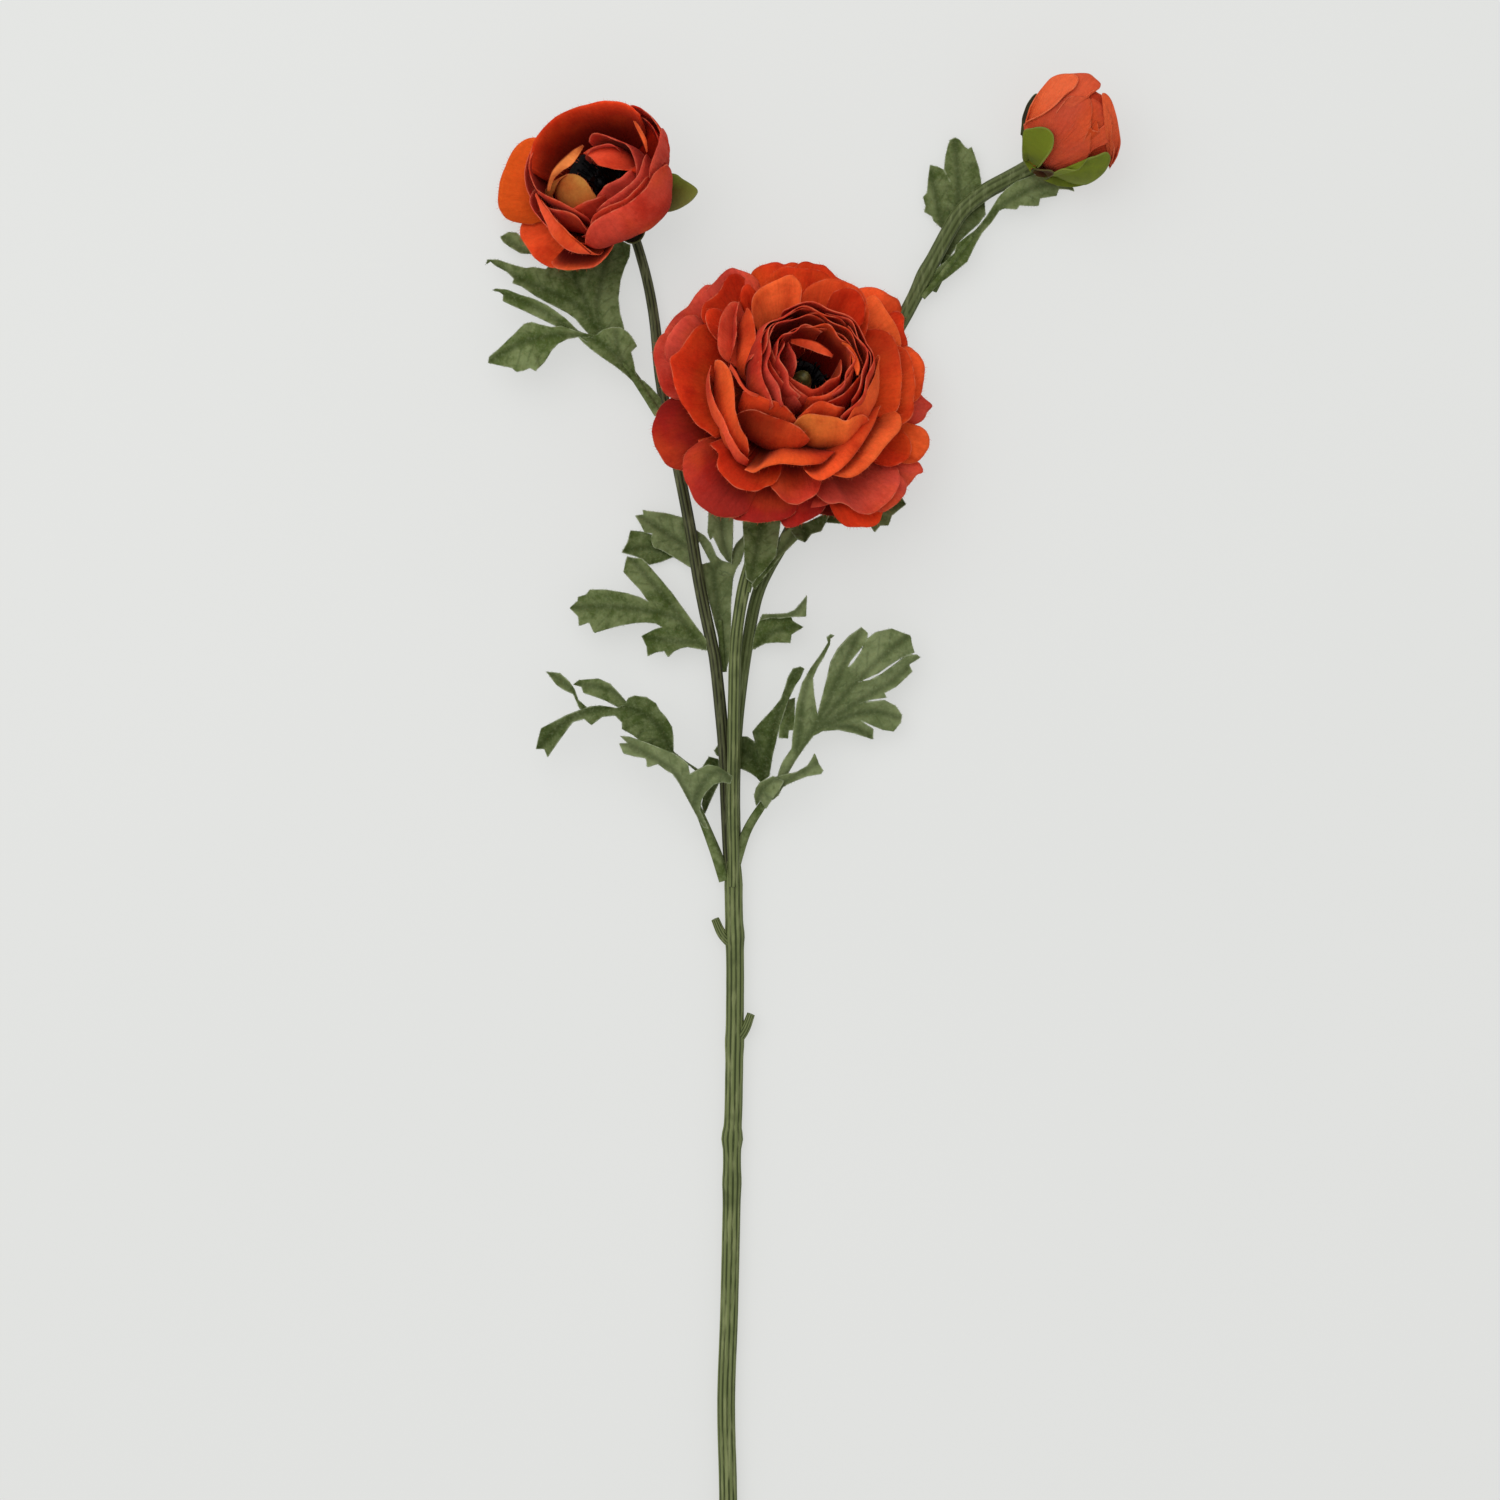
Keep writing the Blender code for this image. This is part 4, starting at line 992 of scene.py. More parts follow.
def stand_along(tree, spots, shape, seed, leans, sizes):
    """Copies of a shape that stand the way their points face. Each leans and is sized at random."""
    facing = result(tree, "GeometryNodeInputNamedAttribute", {"Name": "facing"}, data_type="FLOAT_VECTOR")
    drawn = {0: leans[0], 1: leans[1], "Seed": seed}
    lean = result(tree, "FunctionNodeRandomValue", drawn, data_type="FLOAT_VECTOR")
    aim = result(tree, "ShaderNodeVectorMath", {0: facing, 1: lean}, operation="ADD")
    turn = result(tree, "FunctionNodeAlignRotationToVector", {"Vector": aim}, axis="Z")
    drawn = {2: sizes[0], 3: sizes[1], "Seed": seed}
    size = put(tree, "FunctionNodeRandomValue", drawn, data_type="FLOAT").outputs[1]
    inputs = {"Points": spots, "Instance": shape, "Rotation": turn, "Scale": size}
    stood = result(tree, "GeometryNodeInstanceOnPoints", inputs)
    return result(tree, "GeometryNodeRealizeInstances", {0: stood})


def end_tree(tree, start, end, shape):
    """Ends a tree by giving its shape the named material."""
    inputs = {"Geometry": shape, "Material": start.outputs["Material"]}
    tree.links.new(result(tree, "GeometryNodeSetMaterial", inputs), end.inputs["Geometry"])
    return tree

# %% [markdown]
# A thread is a thin cone with three sides, so that many hundreds of them stay light. Those that would
# reach below the table are lifted onto it.

# %% Threads along a rim
THREAD_SIZES = (0.3, 1.3)


def thread_tree():
    tree, start, end = new_tree("loose_threads", [
        ("Step", "Float", 1.0 * MM), ("Length", "Float", 0.9 * MM), ("Thickness", "Float", 0.05 * MM),
        ("Lean", "Float", 0.7), ("Seed", "Int", 3), ("Material", "Material", None),
    ])
    line = result(tree, "GeometryNodeMeshToCurve", {"Mesh": start.outputs["Geometry"]})
    inputs = {"Curve": line, "Length": start.outputs["Step"]}
    spots = result(tree, "GeometryNodeResampleCurve", inputs, mode="LENGTH")
    spots = result(tree, "GeometryNodeCurveToMesh", {"Curve": spots})
    thread = result(tree, "GeometryNodeMeshCone", {
        "Vertices": 3, "Radius Top": 0.0, "Radius Bottom": start.outputs["Thickness"],
        "Depth": start.outputs["Length"]})
    lean = start.outputs["Lean"]
    back = sums(tree, "MULTIPLY", lean, -1.0)
    leans = [result(tree, "ShaderNodeCombineXYZ", dict.fromkeys(range(3), value)) for value in (back, lean)]
    stood = stand_along(tree, spots, thread, start.outputs["Seed"], leans, THREAD_SIZES)
    return end_tree(tree, start, end, stood)


THREAD_TREE = thread_tree()


def threads(name, rims, material, seed, **sizes):
    """Threads along open lines. Each line is its points and the ways that the threads there face."""
    points = np.concatenate([line for line, _ in rims]) * MM
    facings = np.concatenate([facing for _, facing in rims])
    edges, first = [], 0
    for line, _ in rims:
        edges += [(first + k, first + k + 1) for k in range(len(line) - 1)]
        first += len(line)
    source = facing_mesh(name + "_lines", points.tolist(), edges, facings)
    made = run_tree(name, source, THREAD_TREE, {"Seed": seed, "Material": material, **sizes})
    lowest = min(v.co.z for v in made.data.vertices)
    for v in made.data.vertices:
        v.co.z = max(v.co.z, 0.0)
    print(name, len(made.data.polygons), "faces, lowest before it was lifted", round(lowest / MM, 2), "mm")
    return made

# %% [markdown]
# ### The large bloom
#
# The bloom is made in layers from the outside in, as it is in the picture. Its outermost skirt lies
# nearly flat. It is pinkish red on the upper left and crimson on the lower left. Each rim is written
# down as picture points, and its two ends go under the neighbouring petals.

# %% The skirt of the large bloom
MAIN_SKIRT = [
    Drawn("skirt", 9, PINK, [(660, 342), (662, 333), (668, 325), (676, 315), (687, 307), (694, 297),
        (705, 285), (713, 283), (722, 274)]),
    Drawn("skirt", 10, PINK, [(700, 292), (713, 283), (722, 274), (731, 268), (742, 270), (755, 273)]),
    Drawn("skirt", 9, RED, [(746, 273), (754, 269), (762, 265), (776, 262), (784, 264), (792, 262),
        (803, 262)]),
    Drawn("skirt", 9.5, RED, [(790, 265), (803, 261.5), (815, 264), (824, 265), (830, 270), (838, 278),
        (848, 283), (860, 290)]),
    Drawn("skirt", 9, ORANGE, [(852, 290), (860, 287), (873, 288), (883, 291), (892, 296), (898, 299),
        (902, 307), (905, 319)]),
    Drawn("skirt", 10, RED, [(898, 306), (904, 318), (904, 328), (906, 338), (911, 350)]),
    Drawn("skirt", 11, ORANGE, [(903, 346), (910, 346), (916, 352), (921, 358), (924.5, 366), (924, 380),
        (923, 392), (924, 402)]),
    Drawn("skirt", 8, PINK, [(918, 388), (924, 398), (932, 406), (927, 412), (925, 418), (918, 428)],
        wave=0.3),
    Drawn("skirt", 10, BRIGHT, [(908, 432), (912, 427), (918, 425), (925, 430), (929, 437), (929, 446),
        (924, 455), (917, 463), (908, 468)]),
    Drawn("skirt", 7, PINK, [(912, 466), (919, 463), (923, 472), (917, 475), (908, 487), (905, 494)],
        wave=0.3),
    Drawn("skirt", 9, PINK, [(910, 482), (906, 493), (901, 499), (895, 505), (884, 513), (878, 517)]),
    Drawn("skirt", 8, RED, [(893, 506), (884, 513), (879, 523), (870, 527), (858, 527), (846, 526),
        (838, 520), (832, 512), (829, 503)]),
    # This near-black skirt sheet is painted shade in the hollow under the bloom.
    Drawn("skirt", 4, (0.09, 0.006, 0.003), [(842, 516), (832, 516), (820, 514), (808, 508)], wave=0.1),
    Drawn("skirt", 6, CRIMSON, [(830, 507), (826, 510), (815, 517), (803, 523), (795, 527), (785, 527),
        (775, 518)]),
    Drawn("skirt", 8, CRIMSON, [(799, 513), (794, 517), (782, 520), (764, 522), (750, 522), (734, 520),
        (722, 512)]),
    Drawn("skirt", 10, mixed(CRIMSON, PINK, 0.15), [(692, 445), (684, 453), (682.5, 466), (684, 477),
        (688, 486), (694, 499), (707, 511), (720, 517), (735, 519), (748, 517)]),
    # This skirt is mixed with the painted root shade: painted shade in the pocket at the lower left.
    Drawn("skirt", 8, mixed(CRIMSON, PAINTED_ROOT_SHADE, 0.2), [(690, 474), (680, 472), (666, 464), (656, 448),
        (652, 436), (652, 427), (657, 413), (664, 403), (672, 397), (684, 394)]),
    Drawn("skirt", 9, PINK, [(668, 400), (661, 391), (656.5, 372), (654, 356), (655, 345), (661, 334),
        (670, 326)]),
]
print("skirt petals:", len(MAIN_SKIRT))

# %% [markdown]
# Inside the skirt stand the open petals, each layer a little higher and steeper than the one outside
# it. At the left their rims are turned up, so they are seen on edge.

# %% The open petals of the large bloom
MAIN_OPEN = [
    Drawn("open", 12, PINK, [(660, 357), (665, 345), (669, 335), (676, 324), (687, 316), (698, 316),
        (708, 322)]),
    Drawn("open", 14, RED, [(716, 318), (703, 322), (694, 328), (686, 340), (680, 350), (670, 358),
        (671, 370), (675, 384), (680, 400), (686, 410), (690, 417), (697, 425), (704, 431), (710, 441)]),
    Drawn("open", 13, RED, [(706, 326), (701, 318), (701, 310), (704, 304), (712, 298), (720, 290),
        (726, 279), (732, 273), (745, 272)]),
    Drawn("open", 13, RED, [(750, 296), (756, 289), (764, 283), (773, 273), (783, 267), (799, 268),
        (815, 269), (825, 272), (838, 280)]),
    Drawn("open", 14, BRIGHT, [(858, 300), (867, 297), (874, 295), (880, 300), (888, 313), (897, 327),
        (902, 340), (905, 352)]),
    Drawn("open", 15, mixed(RED, ORANGE, 0.5), [(898, 340), (908, 350), (913, 365), (915, 385), (914, 400),
        (913, 415), (904, 425), (896, 432)]),
    Drawn("open", 12, RED, [(900, 426), (908, 436), (912, 447), (908, 458), (898, 465), (884, 468)]),
    Drawn("open", 12, PINK, [(818, 500), (829, 505), (840, 503), (848, 505), (856, 511), (863, 514),
        (873, 513), (886, 504), (899, 488), (905, 472)]),
    Drawn("open", 14, mixed(RED, PINK, 0.5), [(766, 480), (770, 488), (776, 493), (782, 499), (790, 503),
        (800, 503.5), (809, 499), (817, 493), (822, 484), (824, 474)]),
    Drawn("open", 16, RED, [(704, 446), (713, 450), (718.5, 455), (717.5, 464), (720, 472), (729, 482),
        (739, 489), (754, 491), (765, 487), (774, 486), (780, 480)]),
    Drawn("open", 17, RED, [(720, 342), (712, 334), (707, 324), (706, 314), (711, 308), (722, 307)]),
    Drawn("open", 18, mixed(RED, ORANGE, 0.4), [(868, 324), (880, 328), (890, 334), (896, 342), (900, 356),
        (901.5, 374), (901, 398), (899, 411), (892, 420)]),
    Drawn("open", 21, mixed(PINK, ORANGE, 0.4), [(735, 295), (730, 300), (726, 307), (720, 321),
        (717.5, 339), (717, 350), (718, 357)], wave=0.2, deep=0.6),
    Drawn("cup", 23, mixed(PINK, RED, 0.5), [(741, 297), (738.5, 304), (737, 313), (736.5, 329),
        (734.5, 343), (732, 356)], wave=0.2),
    Drawn("open", 19, RED, [(738, 300), (742, 288), (747, 284), (752, 286), (757, 295)]),
    Drawn("open", 20, ORANGE, [(796, 306), (803, 292), (811, 285), (823, 279.5), (833, 278.5), (846, 282),
        (858, 288), (865, 297), (870, 313), (872, 330)]),
    Drawn("open", 22, BRIGHT, [(749, 316), (751.5, 303), (755, 294), (762, 287), (778, 279), (790, 275),
        (796, 278), (801, 286), (800, 300)]),
    Drawn("open", 23, RED, [(826, 306), (832, 294.5), (838, 290), (848, 287.5), (857, 290.5), (864, 300),
        (869, 316)]),
    Drawn("cup", 24, mixed(PINK, ORANGE, 0.6), [(713, 361), (709.5, 374), (711, 388), (714, 401),
        (720, 413), (727, 427), (733, 440), (741, 451), (751, 456.5)], wave=0.2),
]
print("open petals:", len(MAIN_OPEN))

# %% [markdown]
# The ball round the eye comes last. Its outer petals are rolled at the bottom, its inner ones close
# over each other, and the narrow lids are the strips of a rim that was turned over.

# %% The ball of the large bloom
MAIN_BALL = [
    Drawn("ball", 26, BRIGHT, [(716, 356), (723, 359), (729, 368), (732.5, 380), (734.5, 395), (736, 413),
        (740, 427), (748, 438), (751, 447)], wave=0.2, end_tint=ORANGE),
    Drawn("rolled", 20, BRIGHT, [(896, 412), (901, 417), (900.5, 429), (891, 440), (884, 448.5), (876, 458),
        (866, 469), (854, 477), (844, 478.5), (833, 476.5)], wave=0.2),
    Drawn("rolled", 21, ORANGE, [(882, 407), (877, 418), (870, 431), (862, 445), (850, 460), (836, 473),
        (823, 480.5), (812, 479), (805, 473)], wave=0.2),
    Drawn("rolled", 21, BRIGHT, [(744, 471), (753, 473.5), (764, 468), (779, 464), (792, 464.5),
        (805, 465.5), (820, 464), (829, 459), (835, 453)], wave=0.1, end_tint=RED),
    Drawn("ball", 28, ORANGE, [(748, 303), (751, 311), (754, 322), (755.5, 335), (756, 350), (757, 366)],
        wave=0.2),
    # This ball petal is near black, painted shade in the gap inside the ball, turning orange at its far end.
    Drawn("ball", 26, (0.10, 0.003, 0.001), [(736, 413), (744, 410), (752, 409), (759, 411), (766, 414),
        (783, 420), (799, 427), (812, 436)], wave=0.2, end_tint=ORANGE),
    Drawn("ball", 29, RED, [(744, 387), (750, 391.5), (757, 394.5), (769, 399.5), (783, 405), (799, 417)],
        wave=0.2, end_tint=ORANGE),
    Drawn("lid", 28.5, mixed(PINK, ORANGE, 0.6), [(729, 368), (735, 377), (741, 387), (749, 394),
        (758, 397)], wave=0.1, droop=0.5, deep=0.1, top=[(731, 363), (737, 372), (742, 382), (748, 389),
        (759, 394)]),
    Drawn("ball", 28, OCHRE, [(794, 423), (799, 417), (808, 414), (824, 415), (838, 418), (846, 421),
        (856, 416), (864, 413), (872, 416)], wave=0.2, end_tint=ORANGE),
    Drawn("ball", 29.5, ORANGE, [(843, 425), (851, 413), (860, 401), (868, 389), (875, 374), (879, 359),
        (881, 350)], wave=0.2, end_tint=BRIGHT),
    Drawn("ball", 29.5, ORANGE, [(800, 414), (807, 408.5), (814, 403.5), (821, 401.5), (829, 403),
        (837, 405.5), (848, 405)], wave=0.2),
    Drawn("inner", 30, ORANGE, [(756, 338), (759, 350), (762, 364), (767, 377), (773, 388), (780, 397)],
        wave=0.3),
    Drawn("inner", 30.5, RED, [(763, 343), (768, 357), (775, 370), (783, 382), (792, 393), (804, 401)],
        wave=0.4, end_tint=PINK),
    Drawn("inner", 31, mixed(PINK, ORANGE, 0.4), [(772, 341), (774, 355), (779, 368), (788, 380),
        (800, 391), (813, 397)], wave=0.4),
    Drawn("inner", 30.5, RED, [(868, 346), (865, 364), (857, 380), (846, 392), (833, 399), (818, 403)],
        wave=0.4, end_tint=DARK_RED),
    Drawn("inner", 31, PINK, [(857, 352), (853, 369), (844, 382), (832, 391), (818, 396), (804, 395)],
        wave=0.4, end_tint=ORANGE),
    Drawn("inner", 30.5, PINK, [(788, 338), (791, 346), (795, 354), (796, 364), (795, 374)], wave=0.4),
    Drawn("inner", 30, mixed(PINK, ORANGE, 0.5), [(785, 362), (788, 373), (796, 380), (804, 386),
        (813, 390), (822, 386), (830, 379), (838, 375), (842, 366), (844, 355)], wave=0.6),
    Drawn("lid", 28, mixed(PINK, ORANGE, 0.7), [(790, 343.5), (800, 346), (811, 350), (822, 354.5),
        (832, 358)], wave=0.1, droop=0.5, deep=0.1, top=[(791, 338.5), (803, 338.5), (816, 341.5),
        (827, 348), (833, 354)]),
    Drawn("inner", 31, mixed(PINK, ORANGE, 0.3), [(780, 347), (785, 337), (793, 330), (803, 326.5),
        (814, 327), (826, 329), (836, 333)], wave=0.6, deep=1.0, fade=9.0),
    Drawn("inner", 30.5, PINK, [(828, 328), (837, 332), (846, 339), (852, 347), (857, 357), (860, 368)],
        wave=0.5, deep=1.0, fade=9.0),
    Drawn("lid", 31, BRIGHT, [(842, 343.5), (847, 348), (851.5, 356), (853.5, 365), (857, 375)], wave=0.1,
        droop=0.5, deep=0.1, top=[(842.5, 341), (850.5, 345), (857, 355), (860.5, 366), (859, 375.5)]),
]
print("ball petals:", len(MAIN_BALL))

# %% [markdown]
# The back half of the ball is ruled in rings, from the inside out, and so is a ring of petals under the
# skirt. Then everything becomes one piece: the petals, their core and their loose threads.

# %% The large bloom
BALL_RINGS = [
    ((350, 60, 130, 200), petal(7.6, 8.0, 26.0, 11.0, 56, 108, rounding=0.14, wave=0.9)),
    ((0, 60, 128, 190), petal(7.2, 6.2, 30.5, 14.0, 31, 117, rounding=0.14, wave=0.8)),
    ((30, 95, 160), petal(7.0, 5.4, 32.3, 15.0, 25, 118, rounding=0.16, wave=0.8)),
    ((345, 65, 125, 185), petal(6.8, 4.8, 33.8, 16.0, 21, 118, rounding=0.16, wave=0.7)),
]
UNDER_RINGS = [
    ((20, 71, 123, 174, 226, 277, 329),
     petal(5.5, -0.3, 33.0, 15.0, 0, 26, roll=-15, wave=0.8, rounding=0.22)),
]
BALL_SHIFT = 1.3
MAIN_CORE = [(4.5, -0.4), (11.0, 0.0), (14.5, 2.4), (12.5, 6.5), (8.6, 11.0), (0.5, 11.0)]
CORE_TINT = (0.020, 0.002, 0.001)


def make_main_bloom():
    chance = random.Random(41)
    ruled = []
    for one in petals_of(BALL_RINGS, 11) + petals_of(UNDER_RINGS, 12):
        # The ruled petals' bodies are mixed with the painted root shade: painted shade on the hidden back of
        # the ball and under the skirt.
        body = mixed(PAINTED_ROOT_SHADE, DARK_RED, chance.uniform(0.2, 0.9))
        rim = mixed(PINK, RED, chance.uniform(0, 0.8))
        ruled.append(replace(one, body_tint=body, rim_tint=rim, root_tint=PAINTED_ROOT_SHADE, curl=8.0))
    ball_head = MAIN_HEAD @ Matrix.Translation((BALL_SHIFT, 0, 0))
    drawn = MAIN_SKIRT + MAIN_OPEN + MAIN_BALL
    bloom, rims = flower("main_bloom_petals", ruled, ball_head, drawn, MAIN_HEAD, 7, PETAL_CLOTH)
    frayed = threads("main_frayed", rims, THREADS, 5, Length=FRAY_LENGTH)
    middle = core("main_core", MAIN_CORE, MAIN_HEAD, CORE_TINT, PETAL_CLOTH)
    finish_piece(join("main_bloom_petals", [bloom, middle, frayed]), "petal_fabric", "main_petals")


make_main_bloom()

# %% [markdown]
# ### The half-open bloom
#
# This one is a deep cup. Its wall is red inside, painted darker with shade deeper in the cup, with a thin
# pale rim, and ochre petals stand round the black eye. Bright orange petals hang loose on the left. Only
# three petals at its back are ruled.

# %% The half-open bloom
LEFT_DRAWN = [
    Drawn("open", 12, (0.63, 0.085, 0.010), [(541, 134), (528, 137), (517, 145), (509, 157), (503, 172),
        (499, 187), (498, 205), (503, 216), (511, 222), (524, 227)]),
    Drawn("open", 10, ORANGE, [(520, 219), (519, 226), (520, 235), (526, 246), (535, 258.5), (549, 267),
        (562, 270)]),
    Drawn("open", 11, (0.90, 0.125, 0.045), [(545, 265), (556, 269), (567, 270), (579, 269), (592, 267),
        (604, 260), (615, 248)], deep=1.0, fade=14.0),
    # This dark red cup sheet at the back is the red inner face darkened with painted shade.
    Drawn("cup", 23, (0.34, 0.008, 0.002), [(634, 112), (646, 120), (655, 131), (660, 146), (659, 160),
        (654, 172)], wave=0.1),
    Drawn("cup", 27, (0.50, 0.016, 0.004), [(625, 103), (636, 106), (646, 112), (653, 119), (659, 129),
        (661, 142)], wave=0.2, deep=0.5, fade=1.2, end_tint=RED),
    Drawn("flared", 28, (0.76, 0.052, 0.012), [(526, 170), (528, 158), (535, 139), (547, 124), (561, 114),
        (580, 106), (601, 101.5), (617, 101), (631, 104), (640, 110)], wave=0.2, deep=0.97, fade=2.2),
    Drawn("wall", 28, mixed(PINK, DARK_RED, 0.3), [(583, 211), (567, 205.5), (556, 200), (545, 194.5),
        (536.5, 188.5), (531, 178), (528.5, 167), (531, 156), (538, 140)], wave=0.1, end_tint=RED, deep=1.0,
        fade=3.0),
    Drawn("cup", 27, PINK, [(658, 124), (660, 133), (659.5, 142), (656.5, 150), (651, 163), (646, 176)],
        wave=0.2),
    Drawn("ball", 27, mixed(PINK, RED, 0.3), [(664, 160), (654, 172), (645, 189), (627, 204), (613, 211),
        (600, 217.5), (591.5, 223), (585, 232), (581, 241)], wave=0.1),
    Drawn("inner", 26, ORANGE, [(534, 188), (537, 193), (541, 199), (548, 209), (556, 220), (567, 231),
        (577, 240), (586, 247)], wave=0.1),
    Drawn("lid", 23.5, mixed(PINK, ORANGE, 0.7), [(536.5, 198), (541, 211), (547, 225), (554, 238),
        (564, 248), (577, 253), (590, 254)], wave=0.1, droop=0.5, deep=0.1, top=[(536.5, 192), (544, 204),
        (552, 213), (563, 226), (572, 236), (581, 244.5), (591, 253.5)]),
    Drawn("inner", 25, mixed(PINK, RED, 0.4), [(540, 200), (549, 207), (556, 209.5), (567, 212), (578, 218),
        (585, 228)], wave=0.3),
    Drawn("inner", 25.5, mixed(PINK, RED, 0.6), [(645, 172), (640, 184), (630, 195), (616, 203), (603, 209),
        (593, 216), (586, 226)], wave=0.3),
    Drawn("inner", 24.5, PINK, [(643, 150), (641, 168), (632, 182), (619, 193), (604, 202), (592, 208)],
        wave=0.3),
    Drawn("cup", 26, BRIGHT, [(636, 122), (640, 127), (644, 134), (646.5, 142), (647, 152)], wave=0.1,
        deep=0.1, droop=0.5, top=[(632.5, 121), (635, 127), (639.5, 136), (643, 144), (646, 153)]),
    Drawn("inner", 23, PINK, [(585, 138), (589, 134), (594, 133), (605, 135), (616, 140), (626, 145),
        (632.5, 154.5), (635.5, 165), (634, 178)], wave=0.3),
    Drawn("inner", 22, PINK, [(583, 157), (590, 150), (598, 146.5), (609, 144), (618, 148)], wave=0.2),
    Drawn("lid", 21.5, mixed(PINK, ORANGE, 0.5), [(583.5, 155.5), (591.5, 159), (598, 165), (607, 167),
        (614, 169), (626, 169.5), (632, 165)], wave=0.2, end_tint=RED),
    Drawn("cup", 22, (0.85, 0.26, 0.065), [(584, 146), (579, 154.5), (571, 165.5), (562.5, 171), (554, 179),
        (550, 191)], wave=0.1, droop=0.5, deep=0.1, top=[(582, 144.5), (572.5, 150), (560, 161),
        (551.5, 172), (547.5, 184), (546.5, 191)]),
    Drawn("lid", 21, DULL_OCHRE, [(557, 189), (560, 180), (568, 174), (577, 175), (586, 181), (594, 191)],
        wave=0.1, deep=0.5),
    Drawn("inner", 22.5, PINK, [(632, 166), (626, 172), (620, 178), (613, 182), (605, 186), (601, 191.5),
        (592, 199)], wave=0.3),
    Drawn("inner", 23, mixed(RED, PINK, 0.5), [(606, 189), (600, 195), (594, 198.5), (586, 201.5),
        (578, 205.5), (571, 209), (563, 206), (552, 201), (541, 193)], wave=0.2),
]
LEFT_RINGS = [
    ((155, 225, 300), petal(5.5, 1.6, 29.0, 15.0, 2, 106, skew=1.1, rounding=0.26)),
]
LEFT_CORE = [(4.0, -0.4), (9.5, 0.0), (12.0, 2.6), (10.0, 6.0), (6.8, 8.5), (0.5, 8.5)]
DARK_CORE_TINT = (0.012, 0.002, 0.001)


def make_left_bloom():
    chance = random.Random(52)
    ruled = []
    for one in petals_of(LEFT_RINGS, 5):
        body = mixed(RED, PINK, chance.uniform(0, 0.8))
        # The ruled back petals get the painted root shade at their roots.
        ruled.append(replace(one, body_tint=body, rim_tint=PINK, root_tint=PAINTED_ROOT_SHADE))
    bloom, rims = flower("left_bloom_petals", ruled, LEFT_HEAD, LEFT_DRAWN, LEFT_HEAD, 8, PETAL_CLOTH)
    frayed = threads("left_frayed", rims, THREADS, 6, Length=FRAY_LENGTH)
    middle = core("left_core", LEFT_CORE, LEFT_HEAD, DARK_CORE_TINT, PETAL_CLOTH)
    finish_piece(join("left_bloom_petals", [bloom, middle, frayed]), "petal_fabric", "left_petals")


make_left_bloom()

# %% [markdown]
# ### The bud
#
# The bud is closed, so its petals cling to it. Ruled petals make its whole round. The ones that face the
# camera are drawn from their foot to their rim and laid on the bud: every point of the sheet is moved
# along the camera's sight line until it meets an egg that is a little larger than the bud. How far each
# sheet stands off the egg decides which one covers the other.

# %% Sheets that cling to the bud
@dataclass
class Clinging:
    """A sheet on the bud, from a foot to a rim in picture points, with how far it stands off."""

    stand: float
    tint: tuple
    foot: tuple
    rim: list


EGG_CENTRE = 14.3
EGG_SHIFT = (0.2, 1.8, 0.0)
EGG_RADIUS = 17.0
EGG_HALF_LENGTH = 17.0
FOOT_WIDTH = 0.14
BUD_JAG, BUD_JAG_WAVES = 0.25, 14.0
BUD_FOLD, BUD_FOLD_WAVES = 0.35, 7.0
FOOT_STAND, RIM_STAND = 0.35, 0.35
BUD_TONE = 0.12
BUD_GRID = (24, 60)


def on_egg(right, down, stand):
    """Where sight lines first meet the bud's egg, as an array."""
    start = sight_places(right, down, BUD_HEAD, np.zeros(len(right)))
    whole = np.array(BUD_HEAD)
    turn, base = whole[:3, :3], whole[:3, 3] + EGG_SHIFT
    size = np.stack([EGG_RADIUS + stand, EGG_RADIUS + stand, EGG_HALF_LENGTH + stand], -1)
    step = sight_places(right, down, BUD_HEAD, np.ones(len(right))) - start
    step = step * np.sign(step[:, 2:])
    origin = ((start - base) @ turn - np.array([0, 0, EGG_CENTRE])) / size
    ray = (step @ turn) / size
    a, b, c = (ray ** 2).sum(1), (origin * ray).sum(1), (origin ** 2).sum(1) - 1
    reach = (-b + np.sqrt(np.maximum(b ** 2 - a * c, 0))) / a
    return start + step * reach[:, None]


def clinging_sheet(one, chance, rows, columns):
    """The middle surface of a clinging sheet and the values that its cloth reads."""
    right, down, length = evenly(one.rim, columns)
    rim = np.stack([right, down], -1)
    across = np.linspace(-1, 1, columns)
    rim += BUD_JAG * np.stack([soft_steps(across, chance, 4, BUD_JAG_WAVES) for _ in range(2)], -1)
    foot = np.array(one.foot) + (rim - rim.mean(axis=0)) * FOOT_WIDTH
    share = np.linspace(0, 1, rows)[:, None]
    picture = foot[None] * (1 - share[..., None]) + rim[None] * share[..., None]
    folds = soft_steps(across, chance, 3, BUD_FOLD_WAVES)[None, :]
    folds = BUD_FOLD * folds * np.sin(np.pi * share) * share
    near_rim = np.maximum(share ** 6, np.abs(across)[None, :] ** 12)
    stand = one.stand * (FOOT_STAND + (1 - FOOT_STAND) * share) + folds + RIM_STAND * near_rim
    flat = picture.reshape(-1, 2)
    grid = on_egg(flat[:, 0], flat[:, 1], stand.reshape(-1)).reshape(rows, columns, 3)
    rim_gap, uv = flat_place(grid, share, across, length * MM_PER_POINT, 0.2)
    tone = 1 + BUD_TONE * soft_steps(across, chance, 3, 5.0)[None, :, None] * share[..., None]
    tint = np.broadcast_to(np.array(one.tint) * tone, grid.shape)
    return grid, {"rim": rim_gap, "uv": uv, "tint": tint}

# %% [markdown]
# The bud's petals are written down from the ones that lie deepest to the hood that covers its top. Each
# has its stand off the egg, its dye, the point that it grows from, and its rim.

